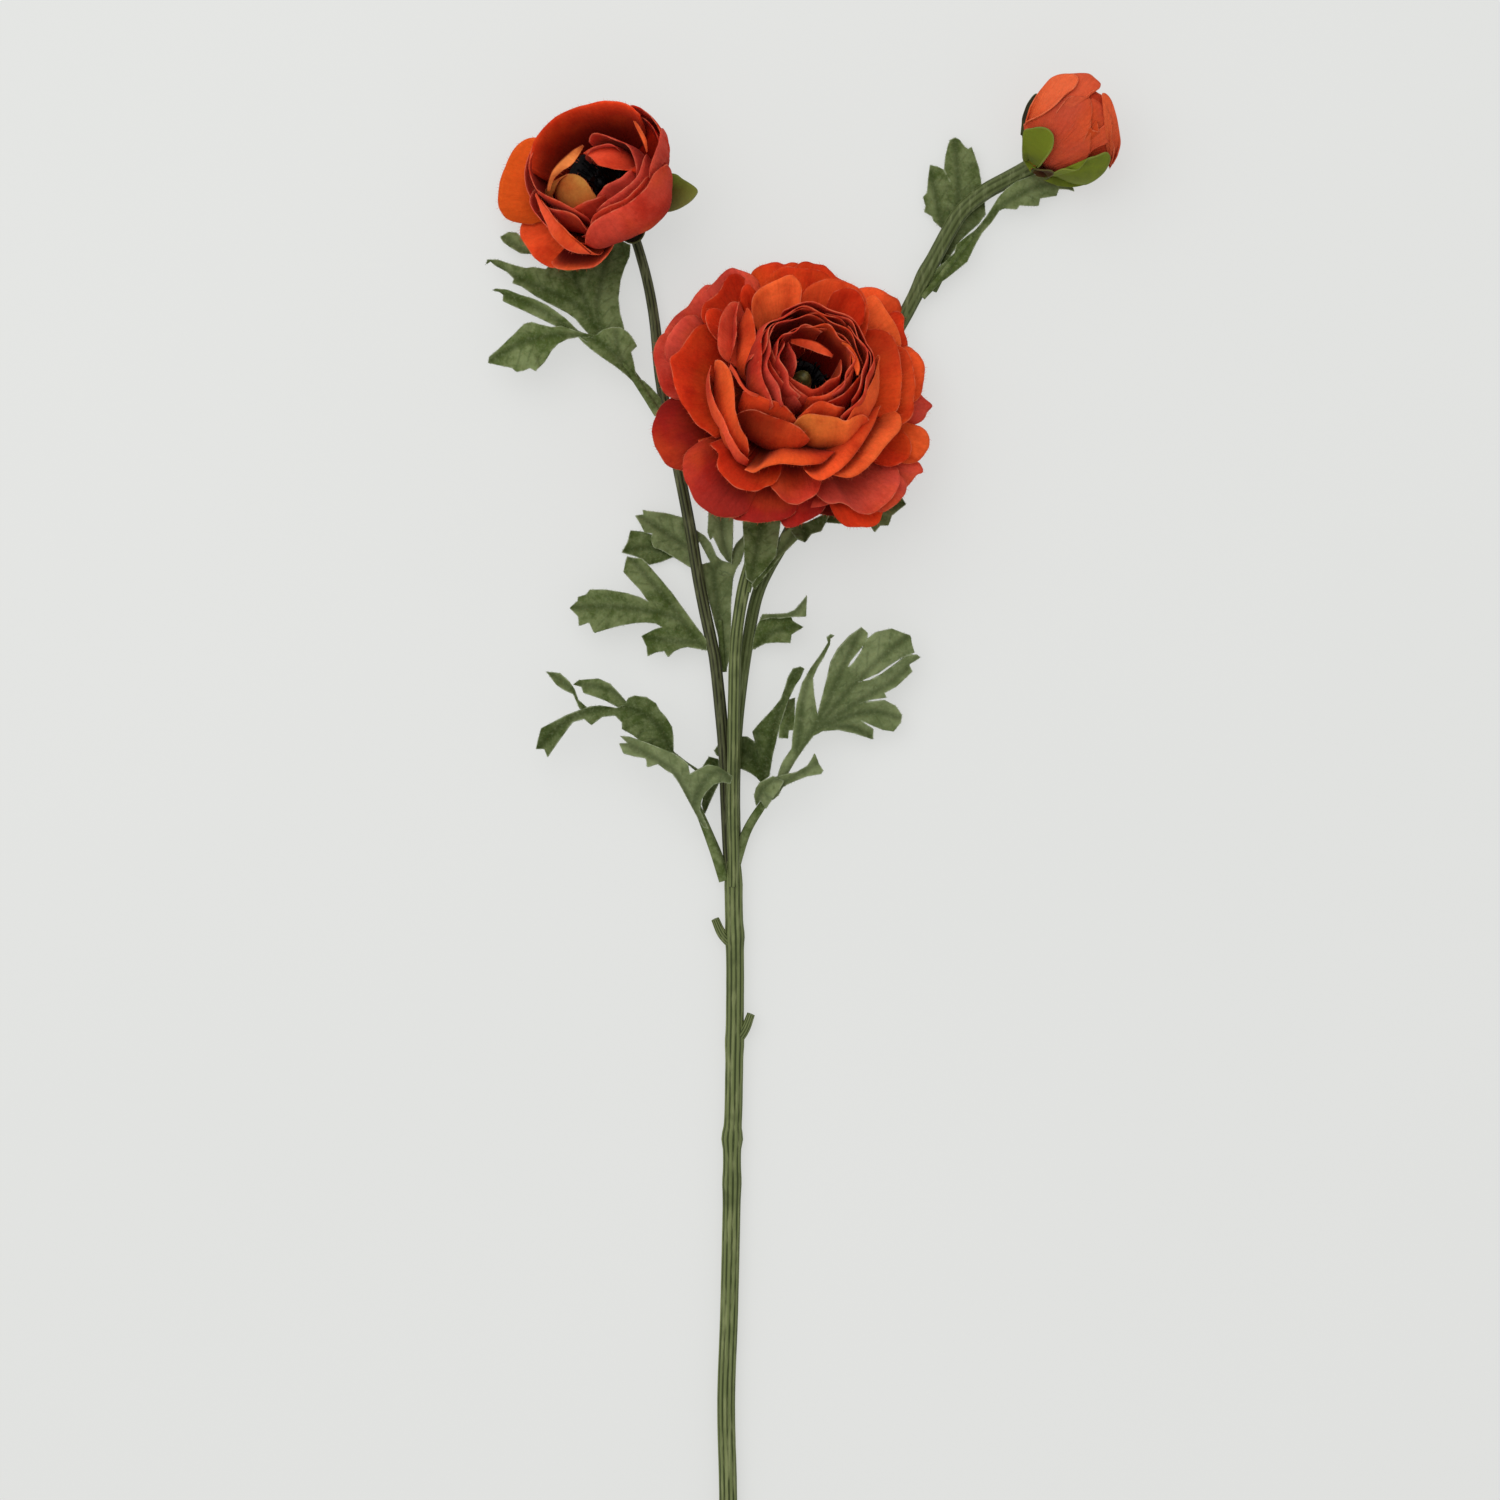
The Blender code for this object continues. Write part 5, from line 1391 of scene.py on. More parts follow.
# %% The bud
CORAL = (0.54, 0.074, 0.034)
PALE_CORAL = (0.70, 0.118, 0.042)
DEEP_CORAL = (0.42, 0.040, 0.015)
BUD_DRAWN = [
    Clinging(0.4, DEEP_CORAL, (1046, 160), [(1088, 93), (1098, 93), (1106, 100), (1113, 116), (1113, 136),
        (1108, 154), (1098, 166)]),
    Clinging(0.9, mixed(CORAL, DEEP_CORAL, 0.4), (1050, 160), [(1092, 98), (1100, 103), (1107, 110),
        (1111, 119), (1105, 121), (1098, 120)]),
    Clinging(1.1, CORAL, (1062, 158), [(1110, 121), (1110, 132), (1108, 142), (1102, 145), (1094, 149),
        (1090, 154)]),
    Clinging(1.5, DEEP_CORAL, (1080, 150), [(1096, 120), (1098, 125), (1099, 131), (1093, 130),
        (1090, 126)]),
    Clinging(1.3, CORAL, (1036, 170), [(1024, 124), (1042, 116), (1056, 104), (1068, 97), (1080, 96),
        (1089, 97), (1092, 108), (1091, 122), (1091, 140), (1090, 152), (1086, 160), (1076, 169)]),
    Clinging(1.9, mixed(CORAL, PALE_CORAL, 0.3), (1052, 120), [(1066, 99), (1072, 96), (1081, 97),
        (1089, 96), (1092, 91), (1098, 89), (1101, 84), (1095, 78), (1089, 74), (1080, 73.5), (1069, 74)]),
    Clinging(2.3, PALE_CORAL, (1028, 124), [(1026, 122), (1042, 114.5), (1053, 107), (1060, 100),
        (1067, 92), (1074, 87.5), (1078.5, 79), (1074, 74.5), (1062, 74), (1051, 78), (1043, 86.5),
        (1036.5, 96), (1030, 108)]),
    Clinging(2.0, mixed(PALE_CORAL, DEEP_CORAL, 0.3), (1109, 165), [(1113, 157), (1114, 146), (1111, 136),
        (1112, 121), (1107, 108), (1102, 95), (1105, 93.5), (1111, 100), (1116, 114), (1119, 131),
        (1120, 143), (1117, 156)]),
]
BUD_RINGS = [
    ((70, 190, 310), petal(4.5, 1.8, 32.0, 12.0, 28, 166, rounding=0.3)),
    ((120, 240, 0), petal(2.8, 0.2, 34.0, 14.0, 12, 158, rounding=0.3)),
]
BUD_CORE = [(3.0, -0.3), (6.5, 1.5), (9.0, 6.0), (9.6, 12.0), (8.6, 18.0), (6.0, 22.5), (0.5, 25.0)]
BUD_CORE_TINT = (0.5, 0.06, 0.03)
BUD_CLOTH_THICKNESS = 0.4
RULED_BUD_GRID = (30, 30)


def make_bud():
    chance = random.Random(63)
    cloth = Gathered()
    for one in petals_of(BUD_RINGS, 3):
        body = mixed(DEEP_CORAL, CORAL, chance.uniform(0, 1))
        one = replace(one, root_tint=CORAL, body_tint=body, rim_tint=CORAL)
        grid, values = petal_sheet(one, BUD_HEAD, chance, *RULED_BUD_GRID)
        cloth.lay(grid, CLOTH_THICKNESS, CLOTH_THICKNESS, values)
    for one in BUD_DRAWN:
        grid, values = clinging_sheet(one, chance, *BUD_GRID)
        cloth.lay(grid, BUD_CLOTH_THICKNESS, CLOTH_THICKNESS, values)
    bloom = cloth.build("bud_petals_cloth", BUD_CLOTH, uv="uv")
    middle = core("bud_core", BUD_CORE, BUD_HEAD, BUD_CORE_TINT, BUD_CLOTH)
    finish_piece(join("bud_petals_cloth", [bloom, middle]), "bud_fabric", "bud_petals")


make_bud()

# %% [markdown]
# ## Sepals
#
# Under each flower sits a moulded cup with a few cloth sepals. A sepal is the same kind of sheet as a
# petal, only smaller, and it hugs the flower from below. Most are ruled. Those that show on the bud are
# sheets that cling to it, and the one beside the half-open bloom is drawn like a petal.

# %% Sepals
SEPAL_THICKNESS = 0.5
LIME = (0.150, 0.190, 0.012)
OLIVE = (0.120, 0.120, 0.025)
SEPAL_ROOT = (0.10, 0.12, 0.03)
CUP_TINT = (0.11, 0.13, 0.035)
SEPAL_GRID = (18, 16)


def sepal(turn, base_radius, base_height, length, half_width, rise, close, body=LIME):
    return Petal(turn, base_radius, base_height, length, half_width, rise, close, skew=0.0, rounding=0.42,
                 curl=0.0, frill=0.08, root_tint=SEPAL_ROOT, body_tint=body, rim_tint=body)


# A near-black olive: painted shade, for sepal sheets that lie in shadow.
PAINTED_SHADE_OLIVE = (0.018, 0.014, 0.006)
BUD_SEPALS = [
    # The deepest sheet on the bud is near black: painted shade behind the lime sepal.
    Clinging(0.1, PAINTED_SHADE_OLIVE, (1030, 150), [(1021, 134), (1022, 120), (1026, 107), (1031, 99), (1037, 93.5),
        (1043, 99)]),
    Clinging(3.1, LIME, (1033, 170), [(1023, 160), (1022.5, 145), (1024, 131), (1032, 128.5), (1040, 127),
        (1048, 129), (1053, 136), (1052, 148), (1045, 159)]),
    # A small near-black sheet between the two lime sepals: painted shade.
    Clinging(2.4, (0.050, 0.008, 0.003), (1033, 171), [(1036, 169.5), (1042, 170), (1052, 171), (1054, 174),
        (1047, 177.5), (1038, 177), (1034, 174)]),
    Clinging(3.1, LIME, (1047, 178), [(1057, 172), (1064, 169), (1077, 170), (1084, 164), (1088, 159),
        (1098, 156), (1106, 152.5), (1110, 156), (1109, 163), (1103, 173), (1091, 182), (1075, 187),
        (1058, 186)]),
]


def make_calyx(name, node, sepals, clinging, drawn, cup, place, seed):
    """A flower's sepals by rule, those that cling to the bud, those that are drawn, and the moulded cup."""
    chance = random.Random(seed)
    cloth = Gathered()
    sheets = [petal_sheet(one, place, chance, *SEPAL_GRID) for one in sepals]
    sheets += [clinging_sheet(one, chance, *BUD_GRID) for one in clinging]
    sheets += [drawn_sheet(one, place, chance, *DRAWN_GRID) for one in drawn]
    for grid, values in sheets:
        cloth.lay(grid, SEPAL_THICKNESS, SEPAL_THICKNESS, values)
    made = cloth.build(name, SEPAL_CLOTH, uv="uv")
    base = core(name + "_cup", cup, place, CUP_TINT, SEPAL_CLOTH)
    finish_piece(join(name, [made, base]), "sepal_fabric", node)


MAIN_SEPALS = [sepal(turn, 3.0, -1.8, 21.0, 6.0, -12, 12, OLIVE) for turn in (20, 110, 200, 290)]
LEFT_SEPALS = [
    sepal(238, 2.6, -1.5, 26.0, 5.0, -14, 24, OLIVE),
    # This short sepal is near black: painted shade under the half-open bloom.
    sepal(300, 2.6, -1.5, 17.0, 5.5, -14, 30, PAINTED_SHADE_OLIVE),
    sepal(140, 2.6, -1.5, 24.0, 5.0, -14, 42, OLIVE),
]
SIDE_SEPAL = Drawn("skirt", 5.5, LIME, [(664, 172), (671, 173), (676, 174), (684, 180), (692, 184.5),
    (697.5, 190.5), (694, 198), (686, 205), (676, 210.5), (664, 215)], wave=0.15, droop=0.5,
    end_tint=(0.16, 0.13, 0.045), deep=0.9)
UNDER_BUD = [sepal(20, 3.3, -2.2, 22.0, 7.5, 12, 85)]
MAIN_CUP = [(1.9, -6.0), (2.6, -5.4), (4.0, -3.4), (4.6, -0.8), (1.0, -0.8)]
LEFT_CUP = [(1.5, -3.4), (2.4, -3.0), (3.8, -2.0), (4.2, -0.9), (1.0, -0.9)]
BUD_CUP = [(2.0, -3.6), (2.8, -3.2), (3.6, -1.8), (3.8, -0.9), (1.0, -0.9)]
make_calyx("main_sepals", "main_calyx", MAIN_SEPALS, [], [], MAIN_CUP, MAIN_HEAD, 3)
make_calyx("left_sepals", "left_calyx", LEFT_SEPALS, [], [SIDE_SEPAL], LEFT_CUP, LEFT_HEAD, 4)
make_calyx("bud_sepals", "bud_calyx", UNDER_BUD, BUD_SEPALS, [], BUD_CUP, BUD_HEAD, 5)

# %% [markdown]
# ## A tree for ribbed stems
#
# A stem follows a path, so it is a job for Geometry Nodes. The source is a bare line of points, each
# with its own radius. The tree turns the line into a curve and sweeps a circle along it. The circle's
# points were first pushed in and out by a cosine, which gives the ribs, and that value is stored so that
# the plastic can darken the grooves. A little noise takes away the look of a machined bar.

# %% A tree for ribbed stems
def stem_tree():
    tree, start, end = new_tree("ribbed_stem", [
        ("Ribs", "Int", 9), ("Points per Rib", "Int", 6), ("Rib Depth", "Float", 0.06),
        ("Bumps", "Float", 0.1 * MM), ("Seed", "Float", 1.0), ("Material", "Material", None),
    ])
    line = result(tree, "GeometryNodeMeshToCurve", {"Mesh": start.outputs["Geometry"]})
    around = sums(tree, "MULTIPLY", start.outputs["Ribs"], start.outputs["Points per Rib"])
    circle = result(tree, "GeometryNodeCurvePrimitiveCircle", {"Resolution": around, "Radius": 1.0})
    index = result(tree, "GeometryNodeInputIndex")
    angle = sums(tree, "DIVIDE", sums(tree, "MULTIPLY", index, 2 * math.pi), start.outputs["Points per Rib"])
    height = sums(tree, "COSINE", angle)
    inputs = {"Geometry": circle, "Name": "groove", "Value": height}
    circle = result(tree, "GeometryNodeStoreNamedAttribute", inputs, data_type="FLOAT", domain="POINT")
    grow = sums(tree, "ADD", 1.0, sums(tree, "MULTIPLY", height, start.outputs["Rib Depth"]))
    spot = result(tree, "GeometryNodeInputPosition")
    pushed = result(tree, "ShaderNodeVectorMath", {0: spot, "Scale": grow}, operation="SCALE")
    circle = result(tree, "GeometryNodeSetPosition", {"Geometry": circle, "Position": pushed})
    radius = result(tree, "GeometryNodeInputNamedAttribute", {"Name": "radius_here"}, data_type="FLOAT")
    inputs = {"Curve": line, "Profile Curve": circle, "Scale": radius, "Fill Caps": True}
    swept = result(tree, "GeometryNodeCurveToMesh", inputs)
    inputs = {"Vector": spot, "W": start.outputs["Seed"], "Scale": 300.0, "Detail": 2.0}
    wobble = put(tree, "ShaderNodeTexNoise", inputs, noise_dimensions="4D").outputs["Fac"]
    amount = sums(tree, "MULTIPLY", sums(tree, "SUBTRACT", wobble, 0.5), start.outputs["Bumps"])
    facing = result(tree, "GeometryNodeInputNormal")
    offset = result(tree, "ShaderNodeVectorMath", {0: facing, "Scale": amount}, operation="SCALE")
    swept = result(tree, "GeometryNodeSetPosition", {"Geometry": swept, "Offset": offset})
    swept = result(tree, "GeometryNodeSetShadeSmooth", {"Geometry": swept, "Shade Smooth": True})
    return end_tree(tree, start, end, result(tree, "GeometryNodeRealizeInstances", {0: swept}))


STEM_TREE = stem_tree()
STEM_BUMPS = 0.12 * MM
SHARP_FROM = 60


def lines(name, paths):
    """A mesh of bare lines. Each path is a list of (place, radius) pairs."""
    points, edges, radii = [], [], []
    for path in paths:
        first = len(points)
        points += [place * MM for place, _ in path]
        radii += [radius * MM for _, radius in path]
        edges += [(k, k + 1) for k in range(first, len(points) - 1)]
    mesh = bpy.data.meshes.new(name)
    mesh.from_pydata(points, edges, [])
    mesh.attributes.new("radius_here", "FLOAT", "POINT").data.foreach_set("value", radii)
    return in_scene(name, mesh)


def ribbed(name, paths, ribs, depth, material, seed):
    """Ribbed bars along some paths, with sharp edges at their cut ends."""
    made = run_tree(name, lines(name + "_lines", paths), STEM_TREE, {
        "Ribs": ribs, "Rib Depth": depth, "Bumps": STEM_BUMPS, "Seed": seed, "Material": material})
    made.data.set_sharp_from_angle(angle=math.radians(SHARP_FROM))
    low = min(v.co.z for v in made.data.vertices)
    print(name, "lowest point", round(low / MM, 2), "mm")
    return made

# %% [markdown]
# ## The stems
#
# The routes are the solids' routes, in picture points with a height. The main stem is thicker at its node
# rings and at the collar of the fork. Above the collar it tapers away between the three branches, which
# start inside it and run on to the flowers, each with one knot. Two side shoots were cut off.

# %% Routes and sizes of the stems
STEM_RADIUS = 2.75
COLLAR_RADIUS = 2.95
BRANCH_RADIUS = 1.8
BRANCH_START_RADIUS = 1.6
BRANCH_SPREAD = 1.9
ROOT_SHARE = 0.45

STEM_ROUTE = [
    (727, 1850, 2.5), (728, 1650, 2.5), (728, 1500, 2.5), (726, 1404, 2.5), (729, 1310, 2.5),
    (731.5, 1200, 2.5), (732, 1139, 2.5), (733.5, 1100, 2.5), (735, 973, 2.6), (733.5, 900, 3.1),
    (733.5, 848, 4.2), (733.5, 822, 4.4),
]
LEFT_ROUTE = [
    (726, 800, 4.2), (724, 748, 5.0), (716, 667, 5.8), (711, 640, 6.0), (700, 587, 6.2),
    (691, 533, 6.0), (680, 476, 5.6), (668, 420, 5.0), (660, 376, 4.6), (655, 325, 4.0),
    (648, 284, 3.0), (638, 247, 1.3), (629, 222, 1.3),
]
CENTRE_ROUTE = [
    (732.5, 800, 7.5), (733.5, 748, 8.4), (734, 700, 8.8), (736, 640, 9.3), (744, 587, 9.4),
    (757, 540, 8.2), (768, 485, 5.8), (777, 446, 4.6),
]
RIGHT_ROUTE = [
    (734.5, 800, 3.9), (735.5, 748, 4.5), (739.5, 700, 4.5), (748, 640, 4.6), (760, 587, 4.6),
    (788, 534, 4.4), (820, 470, 4.0), (860, 395, 3.8), (905, 315, 4.2), (925, 276, 4.8),
    (949, 231, 5.0), (963, 210, 5.0), (985, 192, 4.6), (1004, 181.5, 4.2), (1020, 173, 4.6),
    (1037, 163, 6.0),
]
RINGS_ON_STEM = [(1188, 0.25), (1139, 0.6), (1041, 0.25), (940, 0.35)]
RING_REACH = 9.0
STUB_RADII = (1.7, 1.2)
MAIN_RIBS, MAIN_RIB_DEPTH = 11, 0.05
BRANCH_RIBS, BRANCH_RIB_DEPTH = 8, 0.06
WIDENS_TO = 0.2
COLLAR_FROM = 895
COLLAR_REACH = 25
COLLAR_TO = 884
COLLAR_TAPER = 0.85
FORK_SLEEVE = 12.0
KNOT_EXTRA = 0.5
KNOT_REACH = 4.0
STUBS = [
    [(733, 945, 2.8), (722, 934, 3.4), (715, 919, 4.0)],
    [(736, 1042, 2.8), (745, 1029, 3.2), (751, 1014, 3.6)],
]
print("places in the routes:", [len(r) for r in (STEM_ROUTE, LEFT_ROUTE, CENTRE_ROUTE, RIGHT_ROUTE)])

# %% [markdown]
# The radius of the main stem changes along its length. Two side shoots are short bars of their own.

# %% The main stem
def stem_radius(down):
    radius = STEM_RADIUS
    for place, extra in RINGS_ON_STEM:
        radius += extra * math.exp(-(((down - place) / RING_REACH) ** 2))
    if down < COLLAR_FROM:
        radius += (COLLAR_RADIUS - STEM_RADIUS) * min(1.0, (COLLAR_FROM - down) / COLLAR_REACH)
    if down < COLLAR_TO:
        radius *= 1 - COLLAR_TAPER * (COLLAR_TO - down) / (COLLAR_TO - STEM_ROUTE[-1][1])
    return radius


def make_main_stem():
    curve = smooth([at(*place) for place in STEM_ROUTE], 2.0)
    first, last = STEM_ROUTE[0][1], STEM_ROUTE[-1][1]
    path = []
    for k, place in enumerate(curve):
        down = first + (last - first) * k / (len(curve) - 1)
        path.append((place, stem_radius(down)))
    paths = [path]
    for route in STUBS:
        stub = smooth([at(*place) for place in route], 0.8)
        thick, thin = STUB_RADII
        paths.append([(place, thick - (thick - thin) * k / len(stub)) for k, place in enumerate(stub)])
    stem = ribbed("main_stem_ribbed", paths, MAIN_RIBS, MAIN_RIB_DEPTH, STEM_PLASTIC, 1.0)
    finish_piece(stem, "stem_plastic", "main_stem")


make_main_stem()

# %% [markdown]
# Each branch starts deep inside the fork, on its own side of the stem's middle, follows its route and
# runs up into the cup of its flower. The bud's branch ends at the bud without a straight lead.

# %% The branches
def fork_place(turn, spread, back):
    """Where a branch runs beside the stem's middle, at a turn round it and some way back from the fork."""
    aside = Vector((math.cos(math.radians(turn)), 0, math.sin(math.radians(turn))))
    return at(*STEM_ROUTE[-2]) + spread * aside - Vector((0, back, 0))


def make_branch(name, node, route, start_turn, head, cup_depth, lead, end_radius, knot, material, slot, seed):
    """A branch from inside the fork, along its route, into the cup of its flower head."""
    end = head @ Vector((0, 0, -cup_depth))
    facing = head.to_3x3() @ Vector((0, 0, 1))
    points = [fork_place(start_turn, BRANCH_SPREAD * ROOT_SHARE, FORK_SLEEVE)]
    points.append(fork_place(start_turn, BRANCH_SPREAD, 1.0))
    points += [at(*place) for place in route]
    if lead:
        points += [end - lead * facing, end]
    curve = smooth(points, 2.0)
    path = []
    for k, place in enumerate(curve):
        share = k / (len(curve) - 1)
        radius = BRANCH_START_RADIUS + (BRANCH_RADIUS - BRANCH_START_RADIUS) * min(1.0, share / WIDENS_TO)
        radius += (end_radius - BRANCH_RADIUS) * max(0.0, (share - WIDENS_TO) / (1 - WIDENS_TO)) ** 2
        radius += KNOT_EXTRA * math.exp(-(((place - at(*knot)).length / KNOT_REACH) ** 2))
        path.append((place, radius))
    finish_piece(ribbed(name, [path], BRANCH_RIBS, BRANCH_RIB_DEPTH, material, seed), slot, node)


make_branch("left_branch_ribbed", "left_branch", LEFT_ROUTE, start_turn=210, head=LEFT_HEAD, cup_depth=3.0,
            lead=3.0, end_radius=1.4, knot=(636, 336, 5), material=BRANCH_PLASTIC, slot="branch_plastic",
            seed=2.0)
make_branch("centre_branch_ribbed", "centre_branch", CENTRE_ROUTE, start_turn=90, head=MAIN_HEAD,
            cup_depth=5.6, lead=4.5, end_radius=1.8, knot=(746, 592, 5), material=STEM_PLASTIC,
            slot="stem_plastic", seed=3.0)
make_branch("right_branch_ribbed", "right_branch", RIGHT_ROUTE, start_turn=290, head=BUD_HEAD, cup_depth=3.2,
            lead=0.0, end_radius=2.6, knot=(930, 277, 4.8), material=OLIVE_PLASTIC, slot="stem_plastic",
            seed=4.0)

# %% [markdown]
# ## Leaves
#
# A leaf is stamped from flocked cloth, so each of its blades is a flat outline with cut teeth that was
# then bent. The outline is written down in picture points. The ribs run over it with a height at each
# point, and the sheet hangs from them: its height is blended from the ribs near it, it folds up a
# little on both sides of a rib, and its margin waves. A leaf with lobes that pass over each other has
# more than one blade. Each entry gives the petiole, its two radii, and for each blade the outline, the
# ribs and its shade, painted shade above zero and painted light below it.

# %% Blades and leaves
@dataclass
class Blade:
    """One stamped sheet: its outline, its ribs with heights, its fold in degrees and its painted light and
    shade.
    """

    outline: list
    ribs: list
    fold: float = 13.0
    shade: float = 0.0


@dataclass
class Leaf:
    """A petiole as (right, down, height) places, its two radii, and its blades."""

    petiole: list
    radius: tuple
    blades: list


LEAVES = {}

# %% [markdown]
# Two large divided leaves grow from the fork, one to each side. The lobes of each pass over one another.

# %% The two large leaves at the fork
LEAVES["leaf_lower_left"] = Leaf([(725, 880, 3.2), (716, 854, 4.0), (707, 831, 4.8), (698, 809, 7.5),
    (689, 789, 11)], (2.1, 0.9), [
    Blade([(709, 829), (703, 827), (697.5, 817.5), (687, 798), (678.5, 782.5), (672.5, 774), (665.5, 770),
        (658, 764), (647, 767.5), (646, 758.5), (634.5, 756.5), (623.5, 753.5), (619, 743.5), (627.5, 743),
        (620, 736), (629.5, 736.5), (642.5, 741), (658, 747), (672.5, 753), (683, 759.5), (688, 764),
        (690, 774), (698.5, 769), (708, 764.5), (718.5, 766.5), (727.5, 772.5), (732.5, 776.5),
        (730.5, 784), (722, 782), (714, 784.5), (705.5, 793), (701.5, 800.5), (700, 810), (704.5, 819.5)],
        [[(703, 828, 8), (692, 808, 13), (683, 788, 17), (672, 770, 20), (648, 755, 21), (622, 741, 19)],
         [(692, 808, 13), (700, 788, 18), (710, 775, 20.5), (722, 771, 19), (731, 780, 16)]], shade=-0.35),
    Blade([(700, 770.5), (687, 762), (673.5, 751.5), (673.5, 736.5), (672, 727), (666, 717), (660, 710.5),
        (656, 703.5), (646.5, 697), (634.5, 695.5), (628, 698), (625.5, 704), (616.5, 708), (600.5, 705.5),
        (589.5, 706.5), (579.5, 710), (566.5, 715), (555, 721), (541, 728.5), (538, 739.5), (536, 749),
        (544.5, 749), (547.5, 757.5), (557.5, 743), (569, 727), (573, 722), (584, 719), (591.5, 725),
        (602, 717), (615, 715.5), (622, 722.5), (622, 729), (632, 734.5), (645, 744.5), (657, 751),
        (673.5, 753), (687, 763.5), (697.5, 772.5)],
        [[(694, 771, 15), (672, 750, 17), (660, 728, 19), (643, 714, 20), (620, 707, 20), (585, 712, 18),
         (560, 727, 15), (540, 747, 11)]], shade=0.45, fold=24),
    Blade([(573, 684.5), (579, 680), (598.5, 678.5), (610, 683.5), (620, 694), (627, 702.5), (640, 709),
        (634.5, 717), (616.5, 706.5), (606, 701), (595.5, 697), (583.5, 693), (581.5, 687)],
        [[(640, 716, 18.5), (622, 697, 16.5), (603, 688, 16), (574, 684, 14)]], shade=0.25),
    Blade([(546, 671.5), (560, 673), (569, 681), (574.5, 689), (578.5, 700), (588, 708), (579.5, 709),
        (573, 694), (564.5, 690.5), (556, 684.5)],
        [[(586, 709, 18), (576, 694, 15), (562, 681, 13), (546, 672, 12)]], shade=0.35),
    Blade([(702.5, 766.5), (709, 756.5), (718.5, 759), (719.5, 766.5), (722.5, 776), (713, 795.5),
        (704.5, 815), (701.5, 804.5), (705.5, 787.5)],
        [[(706, 812, 5.5), (712, 785, 3), (715, 762, 1.8)]], shade=0.85, fold=4),
])
LEAVES["leaf_lower_right"] = Leaf([(734, 868, 3.2), (746, 832, 4.4), (761, 807, 6.4), (774, 790, 7.6),
    (790, 764, 9.4), (802, 742, 10.2)], (1.7, 0.8), [
    Blade([(776, 783.5), (778.5, 772), (782.5, 761.5), (791.5, 748.5), (792.5, 736.5), (794, 722.5),
        (796.5, 704), (802, 683), (811, 667.5), (820.5, 654.5), (828, 642.5), (826.5, 637.5), (830.5, 634),
        (835, 635.5), (830.5, 638.5), (830, 644.5), (824, 657), (817.5, 667.5), (813, 678), (814, 693.5),
        (817.5, 715), (819.5, 706.5), (823, 693.5), (827, 678), (830.5, 662), (837.5, 649), (849, 636),
        (861.5, 627), (868, 633), (866.5, 641), (858.5, 651.5), (850.5, 661.5), (847, 669), (853.5, 662.5),
        (860, 653), (867.5, 638.5), (875.5, 632), (891.5, 628.5), (910.5, 635.5), (912, 644),
        (914.5, 652.5), (901.5, 657.5), (889, 665.5), (878.5, 673), (870, 677), (858.5, 682), (870, 680),
        (881.5, 674), (896, 663.5), (906.5, 655), (917, 654.5), (920.5, 657.5), (909, 664.5),
        (912.5, 671.5), (896, 687), (884.5, 693), (886.5, 697.5), (870, 700), (860, 703.5), (870, 701.5),
        (884.5, 700), (896, 706), (902, 715), (901, 722.5), (893.5, 731.5), (883, 730), (872.5, 725.5),
        (861, 720.5), (868, 725.5), (873.5, 729), (873, 739.5), (854.5, 733.5), (838.5, 730), (823, 731),
        (813.5, 736), (803.5, 749), (793, 764.5), (782.5, 783.5)],
        [[(775, 796, 8.2), (782, 784, 9), (797, 758, 11), (810, 736, 12)], [(797, 752, 11), (800, 728, 13),
         (803, 700, 15), (812, 670, 17), (834, 636, 20)], [(810, 736, 12), (826, 705, 13), (842, 670, 14.5),
         (861, 629, 13.5)], [(812, 732, 12), (846, 694, 12), (878, 661, 12), (910, 634, 10)],
         [(816, 730, 12), (858, 702, 10.2), (890, 683, 8.6), (919, 658, 7)], [(822, 727, 11), (850, 716, 9),
         (876, 712, 7.4), (900, 718, 6)], [(830, 727, 9), (852, 728, 7), (870, 736, 5.5)]], shade=-0.25,
         fold=10),
    Blade([(766.5, 793), (770.5, 778.5), (781, 775), (796.5, 772), (807, 766), (812.5, 757.5),
        (814.5, 752.5), (819, 764), (823.5, 770.5), (821, 774), (807, 776.5), (794, 781.5), (787.5, 784.5),
        (782.5, 787.5), (778.5, 795.5), (772, 800.5)],
        [[(780, 788, 10.5), (792, 777, 12.5), (806, 770, 14), (822, 760, 16)]], shade=-0.3),
    Blade([(760, 782), (773, 776), (784, 781), (779, 790.5), (773, 798), (766, 809), (760.5, 800.5),
        (756, 806.5), (754, 795), (756, 788)],
        [[(784, 778, 12.5), (772, 781, 14), (762, 790, 13), (757, 802, 9)]], shade=-0.3),
    Blade([(761, 782.5), (756, 777), (748.5, 772), (738, 767.5), (725, 757.5), (717, 756), (714, 750.5),
        (718.5, 744.5), (728.5, 742), (739, 736.5), (747, 736.5), (755.5, 742.5), (752.5, 731.5),
        (760, 722.5), (773, 709), (781, 698.5), (785, 687), (787.5, 678), (793, 668.5), (800.5, 666.5),
        (804.5, 668.5), (800.5, 678), (796, 684.5), (789, 698.5), (783, 717), (777.5, 735.5),
        (772.5, 756.5), (769.5, 776)],
        [[(762, 780, 4), (768, 755, 7), (778, 715, 10), (790, 685, 13), (801, 667, 14)], [(760, 772, 3.0),
         (745, 753, 1.4), (720, 747, 1.2)]], shade=0.5),
    Blade([(781, 709), (787.5, 700), (795, 697.5), (794.5, 730), (789, 730.5), (788, 738.5), (778.5, 738),
        (779.5, 722.5)],
        [[(784, 738, 9.5), (789, 720, 9.5), (794, 700, 9.5)]], shade=0.0, fold=4),
])
print("leaves written down:", len(LEAVES))

# %% [markdown]
# Four smaller leaves grow from the branches. One lies to the left of them and one to the right, and
# two lie between them, below the large bloom.

